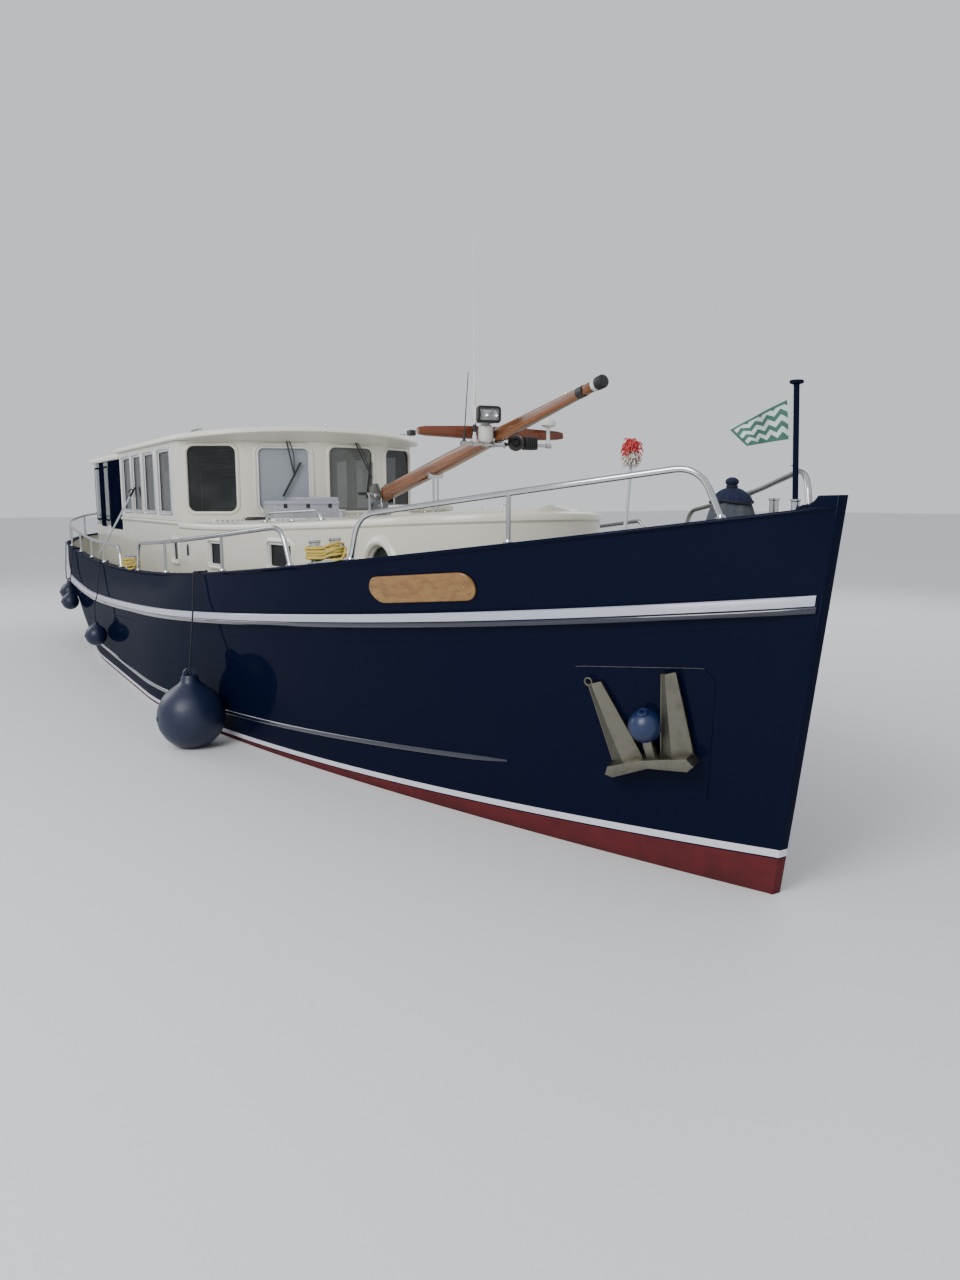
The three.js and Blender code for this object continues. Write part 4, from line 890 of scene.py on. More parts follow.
def applied(piece: bpy.types.Object) -> None:
    """Apply a piece's modifiers to its mesh."""
    seen = piece.evaluated_get(bpy.context.evaluated_depsgraph_get())
    mesh = bpy.data.meshes.new_from_object(seen)
    piece.modifiers.clear()
    old, piece.data = piece.data, mesh
    bpy.data.meshes.remove(old)


def carved(piece: bpy.types.Object, tool: Shape, angle: float = 34.0) -> bpy.types.Object:
    """Cut a tool's shape out of a piece.

    Args:
        piece: The piece to cut.
        tool: The shape to take away, used up here.
        angle: Angle over which edges stay sharp.
    Returns:
        The piece.
    """
    knife = tool.object("knife", Look.BLACK)
    cut = piece.modifiers.new("cut", "BOOLEAN")
    cut.operation = "DIFFERENCE"
    cut.solver = "EXACT"
    cut.use_self = True
    cut.object = knife
    bpy.context.view_layer.update()
    applied(piece)
    bpy.data.objects.remove(knife)
    soften(piece, angle)
    return piece


def fitted(piece: bpy.types.Object, body: str, slot: str, *nodes: str) -> bpy.types.Object:
    """Put a piece on its body and hide the CAD nodes that it stands for.

    Args:
        piece: The finished piece.
        body: The body that it rides on.
        slot: The record's material slot; not used.
        nodes: CAD nodes that it replaces.
    Returns:
        The piece.
    """
    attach(piece, body)
    if nodes:
        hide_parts(*nodes)
    LOG.info("%s: %d faces, rides on %s", piece.name, len(piece.data.polygons), body)
    return piece


def dressed(node: str, look: Look) -> None:
    """Give a CAD node a finish."""
    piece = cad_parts[node]
    if not piece.material_slots:
        piece.data.materials.append(look.material())
    for place in piece.material_slots:
        place.material = look.material()
    LOG.info("%s: dressed in %s", node, look.value.name)


# Hull lines

@dataclass(frozen=True)
class Sheer:
    """A line in side view, lowest a little abaft amidships."""

    x: float
    z: float
    fore: float
    aft: float
    power: float

    def at(self, x: float) -> float:
        """Return its height at a place."""
        return self.z + (self.fore if x > self.x else self.aft) * abs(x - self.x) ** self.power


DECK_LINE = Sheer(-3.4, 0.98, 0.0205, 0.035, 1.5)
CAP_LINE = Sheer(-2.3, 1.435, 0.0082, 0.0105, 2.0)
RUB_LINE = Sheer(-0.5, 0.235, 0.00724, 0.0035, 2.0)
STEM_HALF = 0.032
CAP_THICK = 0.028
HALVINGS = 26  # of a search along the hull
NO_LIMIT = 99.0  # past either end of the hull


@dataclass(frozen=True)
class Level:
    """One level of the hull: its ends, its fullness and its height."""

    stern: float
    stem: float
    half: float
    bow_run: float
    bow_power: float
    stern_run: float
    stern_power: float
    stern_round: float
    heights: Triple = (0.0, 0.0, 0.0)
    line: Optional[Sheer] = None

    def breadth(self, x: float) -> float:
        """Return the half breadth at a place."""
        ahead = min(1.0, max(0.0, (self.stem - x) / self.bow_run))
        behind = min(1.0, max(0.0, (x - self.stern) / self.stern_run))
        bow = 1 - (1 - ahead) ** self.bow_power
        stern = (1 - (1 - behind) ** self.stern_power) ** (1 / self.stern_round)
        return STEM_HALF + (self.half - STEM_HALF) * bow * stern

    def height(self, x: float) -> float:
        """Return the height at a place."""
        if self.line:
            return self.line.at(x)
        mid, stem, stern = self.heights
        end, rise = (self.stem, stem - mid) if x > -1.5 else (self.stern, stern - mid)
        return mid + rise * min(1.0, abs((x + 1.5) / (end + 1.5))) ** 2.2

    def point(self, t: float) -> Vector:
        """Return the starboard point at a share of the length."""
        x = self.stern + (self.stem - self.stern) * t
        return Vector((x, -self.breadth(x), self.height(x)))


@dataclass(frozen=True)
class HullLines:
    """The hull's surface, faired through its levels."""

    levels: tuple[Level, ...] = (
        Level(-4.60, 5.40, 0.07, 6.0, 1.3, 3.0, 1.5, 1.0, (-0.88, -0.90, -0.43)),
        Level(-5.10, 6.25, 0.90, 6.6, 1.25, 3.9, 1.6, 1.0, (-0.79, -0.80, -0.23)),
        Level(-5.50, 6.75, 1.50, 7.0, 1.4, 4.1, 1.8, 1.1, (-0.60, -0.62, -0.14)),
        Level(-6.30, 7.01, 1.82, 7.3, 1.5, 4.0, 2.0, 1.2, (-0.32, -0.35, -0.06)),
        Level(-6.85, 7.14, 1.96, 7.45, 1.6, 3.7, 2.2, 1.5, (0.0, 0.0, 0.0)),
        Level(-7.15, 7.225, 2.03, 7.3, 1.75, 3.1, 2.4, 1.8, (0.52, 0.62, 0.56)),
        Level(-7.34, 7.385, 2.055, 6.8, 2.2, 2.3, 2.6, 2.3, line=DECK_LINE),
        Level(-7.40, 7.44, 2.055, 6.4, 2.45, 2.2, 2.6, 2.3, line=CAP_LINE),
    )

    def stations(self, around: int = 14, along: int = 64) -> list[float]:
        """Return shares of the length, close together round the stern."""
        stern = [0.17 * (1 - math.cos(i / around * math.pi / 2)) for i in range(around)]
        return stern + [0.17 + 0.83 * (i / along) ** 0.93 for i in range(along + 1)]

    def shell(self, t: float, s: float) -> Vector:
        """Return the starboard shell at a share of the length and a level number, which may lie between two."""
        last = len(self.levels) - 1
        i = min(int(s), last - 1)
        a, b, c, d = (self.levels[min(max(k, 0), last)].point(t) for k in range(i - 1, i + 3))
        if i == 0:
            a = b * 2 - c
        if i == last - 1:
            d = c * 2 - b
        return between(a, b, c, d, s - i)

    def level_with(self, t: float, height: Callable[[float], float]) -> Vector:
        """Return the starboard shell at a share of the length where it meets a height line."""
        low, high = 0.0, len(self.levels) - 1.0
        for _ in range(HALVINGS):
            middle = (low + high) / 2
            spot = self.shell(t, middle)
            low, high = (middle, high) if spot.z < height(spot.x) else (low, middle)
        return self.shell(t, (low + high) / 2)

    def at(self, x: float, z: float) -> Vector:
        """Return the starboard shell at a place and height."""
        low, high = 0.0, 1.0
        for _ in range(HALVINGS):
            middle = (low + high) / 2
            low, high = (middle, high) if self.level_with(middle, lambda _: z).x < x else (low, middle)
        return self.level_with((low + high) / 2, lambda _: z)

    def girdle(self, height: Callable[[float], float], fore: float, stations: Sequence[float],
               both: bool = True, aft: float = -NO_LIMIT) -> list[tuple[Vector, Vector]]:
        """Follow a height line round the hull.

        Args:
            height: The line's height at a place.
            fore: Foremost place.
            stations: Shares of the length, from the stern.
            both: Whether the line goes on round the stern to the port side.
            aft: Aftmost place.
        Returns:
            Each point with its outward direction in plan.
        """
        row = [self.level_with(t, height) for t in reversed(stations)]
        row = [p for p in row if aft <= p.x <= fore]
        if both:
            row += mirrored(reversed(row))
        out = []
        for i, spot in enumerate(row):
            run = row[min(i + 1, len(row) - 1)] - row[max(i - 1, 0)]
            out.append((spot, Vector((-run.y, run.x, 0)).normalized()))
        return out


LINES = HullLines()
STATIONS = LINES.stations()
DECK_LEVEL, CAP_LEVEL = 6, 7


# Sub-assemblies

def bow_lift(x: float) -> float:
    """Return how far the strake's line sweeps up towards the stem."""
    return 0.04 * max(0.0, (x - 4.5) / 2.9) ** 2


@dataclass
class HullBody:
    """Plating, deck, keel and rub rails of the hull, and the doublers under the anchors."""

    level_step: float = 0.2
    deck_over: float = 0.9
    keel_half: float = 0.055
    rub_radius: float = 0.024
    rub_ends: Pair = (5.55, -5.0)
    rub_sunk: float = 0.004
    seam_drop: float = 0.20
    seam_fore: float = 7.12
    seam_radius: float = 0.0055
    seam_sunk: float = 0.00352
    panel: Four = (6.06, 6.85, 0.42, 1.30)
    panel_corner: float = 0.07
    panel_proud: float = 0.004
    panel_deep: float = 0.01

    def build(self) -> None:
        """Build and dress the hull."""
        shape = Shape()
        self._plating(shape)
        self._keel(shape)
        rails = Shape()
        self._rails(shape, rails)
        rails.fit("hull_rub_rails", Look.NAVY_GLOSS)
        hull = shape.fit("hull_plating", Look.HULL, "hull")
        hull.data.materials.append(Look.DECK.material())
        for face in hull.data.polygons:
            if face.normal.z > 0.9 and face.center.z > self.deck_over:
                face.material_index = 1

    def _plating(self, shape: Shape) -> None:
        """Add the closed shell from the keel line up to the deck."""
        count = round(DECK_LEVEL / self.level_step)
        rings = []
        for t in STATIONS:
            side = [LINES.shell(t, DECK_LEVEL * i / count) for i in range(count + 1)]
            rings.append(side + mirrored(reversed(side)))
        shape.loft(rings)

    def _keel(self, shape: Shape) -> None:
        """Add the keel, the stern tube and the rudder port."""
        outline = [(7.02, -0.30), (6.83, -0.62), (6.35, -0.88), (5.4, -1.04), (4.2, -1.1), (-5.76, -1.1),
                   (-5.76, -1.035), (-4.79, -1.035), (-4.74, -0.98), (-4.64, -0.33), (-3.0, -0.30), (5.5, -0.30)]
        shape.slab(outline, -self.keel_half, self.keel_half, 0.012, matrix=UPRIGHT)
        stem = [(7.33, 1.74), (7.396, 1.74), (7.2305, 0.56), (7.1485, 0.0), (7.019, -0.32), (6.93, -0.32),
                (7.03, 0.0), (7.12, 0.56)]
        shape.slab(stem, -0.0375, 0.0375, 0.011, 3, matrix=UPRIGHT)
        shape.lathe([(0, 0), (0.085, 0), (0.085, 0.46), (0.06, 0.5), (0, 0.5)], (-4.3, 0, -0.68), (-1, 0, 0))
        shape.rod((-5.62, 0, 0.1), (-5.62, 0, -0.25), 0.07, chamfer=0.008)

    def _rails(self, shape: Shape, rails: Shape) -> None:
        """Add the half-round rub rails, the plate seam under the strake and the anchors' doublers."""
        fore, aft = self.rub_ends
        for mirror in MIRRORS.values():
            line = LINES.girdle(RUB_LINE.at, fore, STATIONS, both=False, aft=aft)
            points = [p - n * self.rub_sunk for p, n in line]
            last = len(points) - 1
            radii = [self.rub_radius * min(1.0, 0.35 + min(i, last - i) * 0.5) for i in range(last + 1)]
            rails.tube(points, radii, 12, matrix=mirror)
            seam = LINES.girdle(self._seam_height, self.seam_fore, STATIONS, both=False)
            shape.tube([p - n * self.seam_sunk for p, n in seam], self.seam_radius, 6, matrix=mirror)
            self._doubler(shape, mirror)

    def _seam_height(self, x: float) -> float:
        """Return the height of the plate seam."""
        return DECK_LINE.at(x) - self.seam_drop + 2.4 * bow_lift(x)

    def _doubler(self, shape: Shape, mirror: Matrix) -> None:
        """Add the thin round-cornered plate that the anchor lies against."""
        aft, fore, low, high = self.panel
        wide, tall, corner = fore - aft, high - low, self.panel_corner
        across, up = 16, 8
        rings = []
        for i in range(across + 1):
            u = i / across
            inset = 0.0
            edge = min(u, 1 - u) * wide
            if edge < corner:
                inset = corner - math.sqrt(max(0.0, corner ** 2 - (corner - edge) ** 2))
            column = []
            for k in range(up + 1):
                z = low + inset + (tall - 0.07 * (1 - u) - 2 * inset) * k / up
                x = aft + wide * u + 0.09 * u * (k / up - 0.6)
                spot = LINES.at(x, z)
                ahead = LINES.at(x + 0.03, z) - spot
                above = LINES.at(x, z + 0.03) - spot
                column.append((spot, above.cross(ahead).normalized()))
            flip = -1.0 if column[0][1].y > 0 else 1.0
            rings.append([p + n * (flip * self.panel_proud) for p, n in column]
                         + [p - n * (flip * self.panel_deep) for p, n in reversed(column)])
        shape.loft(rings, matrix=mirror)


@dataclass
class Bulwark:
    """Bulwark plating, its rounded cap, the breasthook and the raised stem head."""

    wall: float = 0.045
    cap_in: float = 0.083
    cap_out: float = 0.015
    rounding: float = 0.012
    breasthook: float = 0.44

    def build(self) -> None:
        """Build and dress the bulwark."""
        shape = Shape()
        self._wall(shape)
        self._cap(shape)
        self._bow(shape)
        piece = shape.fit("bulwark_plating", Look.NAVY, "bulwark")
        piece.data.materials.append(Look.CREAM.material())
        for face in piece.data.polygons:
            inboard = face.normal.x * face.center.x + face.normal.y * face.center.y < -0.05
            if inboard and face.center.z < CAP_LINE.at(face.center.x) - CAP_THICK * 0.6:
                face.material_index = 1

    def _wall(self, shape: Shape) -> None:
        """Add the plating that stands on the deck edge, all round."""
        rings = []
        outer = [[LINES.shell(t, DECK_LEVEL + k / 5) for k in range(6)] for t in reversed(STATIONS)]
        outer += [mirrored(row) for row in reversed(outer)]
        for i, row in enumerate(outer):
            run = outer[min(i + 1, len(outer) - 1)][5] - outer[max(i - 1, 0)][5]
            inward = Vector((run.y, -run.x, 0)).normalized() * self.wall
            inner = []
            for p in reversed(row):
                q = p + inward
                q.y = min(q.y, -0.004) if p.y < 0 else max(q.y, 0.004)
                inner.append(q)
            lift = Vector((0, 0, -CAP_THICK / 2))
            rings.append([p + (lift if k == 5 else Vector()) for k, p in enumerate(row)]
                         + [p + (lift if k == 0 else Vector()) for k, p in enumerate(inner)])
        shape.loft(rings)

    def _cap(self, shape: Shape) -> None:
        """Add the rounded cap, all round."""
        r, low = self.rounding, -CAP_THICK
        profile = [(self.cap_out, low + r)]
        profile += [(self.cap_out - r + r * math.cos(a), -r + r * math.sin(a)) for a in
                    angles(16, 5)]
        profile += [(-self.cap_in + r - r * math.sin(a), -r + r * math.cos(a)) for a in
                    angles(16, 5)]
        profile += [(-self.cap_in, low + r * 0.5), (-self.cap_in + r * 0.5, low), (self.cap_out - r, low)]
        rings = []
        for spot, out in LINES.girdle(CAP_LINE.at, NO_LIMIT, STATIONS):
            ring = []
            for o, h in profile:
                q = spot + out * o + Vector((0, 0, h))
                q.y = min(q.y, -0.002) if spot.y < 0 else max(q.y, 0.002)
                ring.append(q)
            rings.append(ring)
        shape.loft(rings)

    def _bow(self, shape: Shape) -> None:
        """Add the breasthook and the stem head."""
        rings = []
        for i in range(9):
            x = 7.43 - self.breasthook * i / 8
            half = max(0.02, LINES.levels[CAP_LEVEL].breadth(x) - 0.01)
            z = CAP_LINE.at(x) - 0.002
            rings.append([(x, -half, z), (x, half, z), (x, half, z - 0.022), (x, -half, z - 0.022)])
        shape.loft(rings)
        head = [(7.16, 2.15), (7.19, 2.20), (7.225, 2.212), (7.275, 2.219), (7.305, 2.235), (7.33, 2.262),
                (7.468, 2.264), (7.392, 1.716), (7.33, 1.716)]
        shape.slab(head, -0.038, 0.038, 0.011, 3, matrix=UPRIGHT)


@dataclass
class Strake:
    """Rubbing strake: a white upper face over a navy half round."""

    fore: float = 7.37
    run_out: float = 0.07
    proud: float = 0.040
    white: float = 0.056
    navy: float = 0.046

    def build(self) -> None:
        """Build and dress the strake."""
        white, navy = Shape(), Shape()
        face = [(-0.004, -0.001), (self.proud * 0.72, -0.001), (self.proud * 0.92, -0.008), (self.proud, -self.white),
                (-0.004, -self.white)]
        self._band(white, face)
        step = self.navy / 2
        round_face = [(-0.004, -self.white)]
        round_face += [(self.proud * 0.45 + step * 1.1 * math.sin(a), -self.white - step + step * math.cos(a))
                       for a in angles(16, 9)]
        round_face += [(-0.004, -self.white - self.navy)]
        self._band(navy, round_face)
        white.fit("strake_white", Look.STRIPE, "rubbing_strake", smooth=50)
        navy.fit("strake_navy", Look.NAVY_GLOSS, smooth=60)

    def _band(self, shape: Shape, profile: Sequence[Pair]) -> None:
        """Carry a section round the hull at the deck line."""
        lines = [LINES.girdle(lambda x, d=d: DECK_LINE.at(x) + bow_lift(x) + d, NO_LIMIT, STATIONS)
                 for _, d in profile]
        rings = []
        for i in range(len(lines[0])):
            ring = []
            for (out, _), line in zip(profile, lines):
                spot, normal = line[i]
                fade = min(1.0, 0.2 + 0.8 * max(0.0, self.fore - spot.x) / self.run_out)
                ring.append(spot + normal * (out * fade))
            rings.append(ring)
        reach = [max(p.x for p in ring) for ring in rings]
        inside = [i for i, far in enumerate(reach) if far < self.fore]
        ends = []
        for kept, left in ((inside[0], max(0, inside[0] - 1)), (inside[-1], min(len(rings) - 1, inside[-1] + 1))):
            share = (self.fore - reach[kept]) / max(1e-6, reach[left] - reach[kept])
            ends.append([p.lerp(q, min(1.0, share)) for p, q in zip(rings[kept], rings[left])])
        shape.loft([ends[0], *rings[inside[0]:inside[-1] + 1], ends[1]])


@dataclass
class Opening:
    """A window or light in a wall: its plane, its size and its corner."""

    plane: Plane
    width: float
    height: float
    radius: float
    moulding: float = 0.035
    proud: float = 0.016
    lining: float = 0.018
    setback: float = 0.018

    def outline(self, grow: float = 0.0) -> list[Pair]:
        """Return the opening's outline, grown by a margin."""
        return rounded_box(self.width + 2 * grow, self.height + 2 * grow, max(self.radius + grow, 0.004))

    def cutter(self, shape: Shape, through: float) -> None:
        """Add the solid that cuts the opening to a depth."""
        shape.slab(self.outline(), -through, 0.06, matrix=self.plane.matrix)

    def surround(self, shape: Shape) -> None:
        """Add the raised moulding round the opening."""
        m, p = self.moulding, self.proud
        profile = [(-0.002, -0.012), (-0.002, p * 0.55), (m * 0.14, p * 0.92), (m * 0.34, p), (m * 0.62, p * 0.82),
                   (m * 0.86, p * 0.35), (m, 0.0), (m, -0.012)]
        shape.moulding(self.outline(), profile, self.plane.matrix)

    def inner_frame(self, shape: Shape) -> None:
        """Add the frame that lines the opening."""
        t, back = self.lining, self.setback
        profile = [(0.001, -back - 0.012), (0.001, -0.004), (-0.004, 0.002), (-t + 0.004, 0.002), (-t, -0.003),
                   (-t, -back - 0.012)]
        shape.moulding(self.outline(), profile, self.plane.matrix)

    def gasket(self, shape: Shape) -> None:
        """Add the black rubber between the frame and the glass."""
        t, back = self.lining, self.setback
        profile = [(-t + 0.001, -back - 0.006), (-t + 0.001, -back + 0.007), (-t - 0.006, -back + 0.005),
                   (-t - 0.008, -back - 0.006)]
        shape.moulding(self.outline(), profile, self.plane.matrix)

    def pane(self, shape: Shape) -> None:
        """Add the glass."""
        shape.slab(self.outline(-self.lining + 0.003), -self.setback - 0.006, -self.setback, matrix=self.plane.matrix)

    def glaze(self, surround: Shape, frame_shape: Shape, rubber: Shape, glass: Shape) -> None:
        """Add the moulding, the frame, the rubber and the glass, each to its shape."""
        self.surround(surround)
        self.inner_frame(frame_shape)
        self.gasket(rubber)
        self.pane(glass)


def low_light(x: float, z: float, width: float, height: float, side: int) -> Opening:
    """Return a small round-cornered light in the side of the trunk or under the wheelhouse windows."""
    return Opening(side_plane(x, z, side), width, height, 0.045, 0.045, 0.02, lining=0.024, setback=0.03)


TRUNK_HALF, TRUNK_TAPER = 1.5, 0.57
TRUNK_SQUARE, TRUNK_ROUND, TRUNK_NOSE = 0.2, 3.9, 4.88  # where the taper starts, the nose starts and ends
TRUNK_RUN, NOSE_RUN = 3.7, 0.98
HOUSE_AFT, HOUSE_FORE = -3.95, -0.42
HOUSE_HALF, HOUSE_INNER = 1.49, 1.43


def trunk_half(x: float) -> float:
    """Return the trunk's half breadth at a place."""
    if x >= TRUNK_NOSE:
        return 0.0
    if x > TRUNK_ROUND:
        return 0.93 * math.sqrt(max(0.0, 1 - ((x - TRUNK_ROUND) / NOSE_RUN) ** 2))
    return TRUNK_HALF - TRUNK_TAPER * max(0.0, (x - TRUNK_SQUARE) / TRUNK_RUN)


def trunk_rim(x: float) -> float:
    """Return the height of the trunk's rim at a place."""
    return 1.99 + 0.16 * max(0.0, (min(x, TRUNK_NOSE) - 0.5) / 4.4) ** 1.4


def side_plane(x: float, z: float, side: int) -> Plane:
    """Return the plane of the trunk's side, or of the house's side further aft."""
    if x < TRUNK_SQUARE:
        return Plane((x, side * (TRUNK_HALF if x > HOUSE_FORE else HOUSE_HALF), z), (-side, 0, 0))
    return Plane((x, side * trunk_half(x), z), (-side * TRUNK_RUN, TRUNK_TAPER, 0))


@dataclass
class TrunkCabin:
    """Trunk cabin with its lip, side lights, portholes and vents."""

    lights: tuple[Four, ...] = ((2.168, 1.72, 0.48, 0.25), (0.755, 1.68, 0.33, 0.26))
    portholes: tuple[float, ...] = (3.85,)
    porthole_z: float = 1.70
    porthole_radius: float = 0.185
    lip: float = 0.012

    def build(self) -> None:
        """Build and dress the trunk."""
        cabin = Shape()
        self._body(cabin)
        knife, mouldings, frames, rubber, glass = Shape(), Shape(), Shape(), Shape(), Shape()
        for side in (STARBOARD, PORT):
            for opening in self._openings(side):
                opening.cutter(knife, 0.05)
                opening.glaze(mouldings, frames, rubber, glass)
            self._vent(rubber, side)
        body = carved(cabin.object("trunk_shell", Look.CREAM), knife, 30)
        fitted(body, YACHT, "cream_paint", "trunk_cabin")
        mouldings.fit("trunk_mouldings", Look.CREAM, smooth=50)
        frames.fit("trunk_light_frames", Look.WHITE_PLASTIC, slot="cream_paint")
        rubber.fit("trunk_light_rubber", Look.RUBBER)
        glass.fit("trunk_light_glass", Look.SMOKED)

    def _openings(self, side: int) -> list[Opening]:
        """Return the side's lights and portholes."""
        row = [low_light(*light, side) for light in self.lights]
        for x in self.portholes:
            r = self.porthole_radius
            row.append(Opening(side_plane(x, self.porthole_z, side), 2 * r, 2 * r, r, 0.085, 0.045, lining=0.014,
                               setback=0.03))
        return row

    def _body(self, shape: Shape) -> None:
        """Add the closed body, with a lip at its rim and a crowned top."""
        stops = [-0.45, TRUNK_SQUARE, 0.65, 1.1, 1.55, 2.0, 2.45, 2.9, 3.4, TRUNK_ROUND]
        stops += [TRUNK_ROUND + NOSE_RUN * math.sin(math.pi / 2 * i / 14) for i in range(1, 15)]
        profile = [(0.0, None), (0.0, -0.075), (-self.lip * 0.4, -0.068), (-self.lip, -0.058), (-self.lip, -0.03),
                   (-self.lip * 0.3, -0.012), (0.012, -0.002), (0.035, 0.003)]
        rings = [self._ring(stops, inset, rise, 1.0) for inset, rise in profile]
        for share in (0.85, 0.65, 0.45, 0.25, 0.1, 0.0):
            rings.append(self._ring(stops, 0.035, 0.003 + 0.05 * (1 - share ** 2), share))
        shape.loft(rings, weld=2e-4)

    def _ring(self, stops: Sequence[float], inset: float, rise: Optional[float], share: float) -> list[Vector]:
        """Return one plan ring of the trunk.

        Args:
            stops: Places along the trunk.
            inset: How far the ring is drawn in.
            rise: Height over the rim, or None for the foot on the deck.
            share: Share of the half breadth.
        Returns:
            The ring's points.
        """
        row = []
        for stop in stops:
            nose = min(1.0, max(0.0, (stop - TRUNK_ROUND) / NOSE_RUN))
            drawn = inset * math.sqrt(max(0.0, 1 - nose * nose))
            half = max(0.0, trunk_half(stop) - drawn) if stop < TRUNK_NOSE else 0.0
            z = DECK_LINE.at(stop) - 0.01 if rise is None else trunk_rim(stop) + rise
            row.append(Vector((stop - inset * nose, -half * share, z)))
        return row + mirrored(reversed(row))

    def _vent(self, shape: Shape, side: int) -> None:
        """Add the oval vent abaft the lights."""
        place = side_plane(-0.07, 1.685, side).matrix
        shape.slab(rounded_box(0.085, 0.135, 0.04), -0.004, 0.006, 0.003, matrix=place)
        for k in range(4):
            shape.box((-0.022, -0.045 + k * 0.026, 0.004), (0.022, -0.033 + k * 0.026, 0.012), 0.003, matrix=place)


@dataclass
class Wheelhouse:
    """Wheelhouse walls with rounded corners, their windows, ledge and lower sides."""

    low: float = 1.985
    high: float = 2.904
    front_low: float = 2.106
    front_high: float = 2.845
    front_spans: tuple[Pair, ...] = ((0.108, 0.668), (0.128, 0.748))
    side_low: float = 2.078
    side_high: float = 2.832
    side_windows: tuple[Pair, ...] = ((-1.42, -0.79), (-2.26, -1.66), (-3.00, -2.46), (-3.72, -3.16))
    low_light: Pair = (-0.70, 1.645)
    low_light_size: Pair = (0.33, 0.25)
    facets: tuple[Pair, ...] = ((-0.41, -HOUSE_HALF), (0.007, -0.844), (0.18, 0.0), (0.007, 0.844),
                                (-0.41, HOUSE_HALF))
    reach: float = 0.16

    def build(self) -> None:
        """Build and dress the walls and windows."""
        walls = Shape()
        self._walls(walls)
        knife, mouldings, frames, rubber, glass = Shape(), Shape(), Shape(), Shape(), Shape()
        pale, grey = Shape(), Shape()
        for opening, pane in zip(self._front(), (glass, pale, grey, glass)):
            opening.cutter(knife, self.reach)
            opening.surround(mouldings)
            opening.gasket(rubber)
            opening.pane(pane)
        for opening in [o for side in (STARBOARD, PORT) for o in self._side(side)]:
            opening.cutter(knife, self.reach)
            opening.glaze(frames, frames, rubber, glass)
        self._opening_light()
        shell = carved(walls.object("house_walls", Look.CREAM), knife, 30)
        fitted(shell, YACHT, "cream_paint", "wheelhouse_front", "wheelhouse_starboard", "wheelhouse_port")
        lower, smoked, white = Shape(), Shape(), Shape()
        self._lower_sides(lower)
        knife = Shape()
        for side in (STARBOARD, PORT):
            light = low_light(*self.low_light, *self.low_light_size, side)
            light.cutter(knife, 0.05)
            light.glaze(mouldings, white, rubber, smoked)
        fitted(carved(lower.object("house_lower_sides", Look.CREAM, 40), knife, 40), YACHT, "cream_paint")
        white.fit("house_low_light_frames", Look.WHITE_PLASTIC, slot="cream_paint")
        smoked.fit("house_low_light_glass", Look.SMOKED)
        mouldings.fit("house_mouldings", Look.CREAM, smooth=50)
        frames.fit("house_window_frames", Look.ALUMINIUM)
        rubber.fit("house_window_rubber", Look.RUBBER)
        glass.fit("house_window_glass", Look.GLASS, "wheelhouse_glazing")
        pale.fit("opening_light_glass", Look.PALE_GLASS)
        grey.fit("centre_light_glass", Look.GREY_GLASS)
        self._back()
        self._wipers()
        self._lining()
        Hanging("curtain_front", (-0.092, -0.75), (0.052, -0.08), 2.03, 2.875, 6.0, 0.02, 1.15, 7, Look.CURTAIN,
                "flag_cloth").build("house_walls")

    def _lining(self) -> None:
        """Add the varnished lining of the walls, the ceiling and the sole."""
        lining, knife, inner = Shape(), Shape(), []
        for off in (0.001, 0.007):
            half = [(-3.885, -HOUSE_INNER + off), (-0.445 - off * 0.7, -HOUSE_INNER + off),
                    (-0.06 - off * 1.1, -0.806 + off * 0.4), (0.112 - off, 0.0)]
            line = bent([(x, y, 0) for x, y in [*half, *[(x, -y) for x, y in reversed(half[:-1])]]], 0.09, 8)
            inner.append([(v.x, v.y) for v in line])
        lining.slab([*inner[0], *reversed(inner[1])], 2.001, 2.886)
        lining.slab(inner[1], 2.888, 2.900)
        for side in (STARBOARD, PORT):
            near, far = sorted((side * 1.423, side * 1.429))
            lining.box((-3.885, near, 1.10), (-0.46, far, 1.999), 0.001)
        lining.box((-0.462, -1.42, 1.10), (-0.454, 1.42, 1.975), 0.001)
        lining.box((-3.884, -1.42, 1.10), (-3.878, 1.42, 2.885), 0.001)
        lining.box((-3.87, -1.42, 1.02), (-0.465, 1.42, 1.10), 0.004)
        for opening in [*self._front(), *self._side(STARBOARD), *self._side(PORT)]:
            opening.cutter(knife, self.reach)
        for side in (STARBOARD, PORT):
            (x, z), (w, h) = self.low_light, self.low_light_size
            knife.box((x - w / 2, side * 1.4 - 0.1, z - h / 2), (x + w / 2, side * 1.4 + 0.1, z + h / 2), 0.03)
            knife.box((HOUSE_AFT, side * 0.9 - 0.34, 2.078), (-3.8, side * 0.9 + 0.34, 2.70), 0.01)
        knife.box((HOUSE_AFT, -0.36, 1.101), (-3.8, 0.36, 2.78), 0.001)
        fitted(carved(lining.object("house_lining", Look.WOOD, 40), knife, 30), YACHT, "varnished_wood")

    def _walls(self, shape: Shape) -> None:
        """Add the front and sides as one bent wall."""
        outside = [(HOUSE_AFT, -HOUSE_HALF), *self.facets, (HOUSE_AFT, HOUSE_HALF)]
        inside = [(HOUSE_AFT, HOUSE_INNER), (-0.445, HOUSE_INNER), (-0.06, 0.806), (0.112, 0), (-0.06, -0.806),
                  (-0.445, -HOUSE_INNER), (HOUSE_AFT, -HOUSE_INNER)]
        outer = bent([(*spot, 0) for spot in outside], 0.13, 8)
        inner = bent([(*spot, 0) for spot in inside], 0.09, 8)
        shape.slab([(p.x, p.y) for p in outer + inner], self.low, self.high)

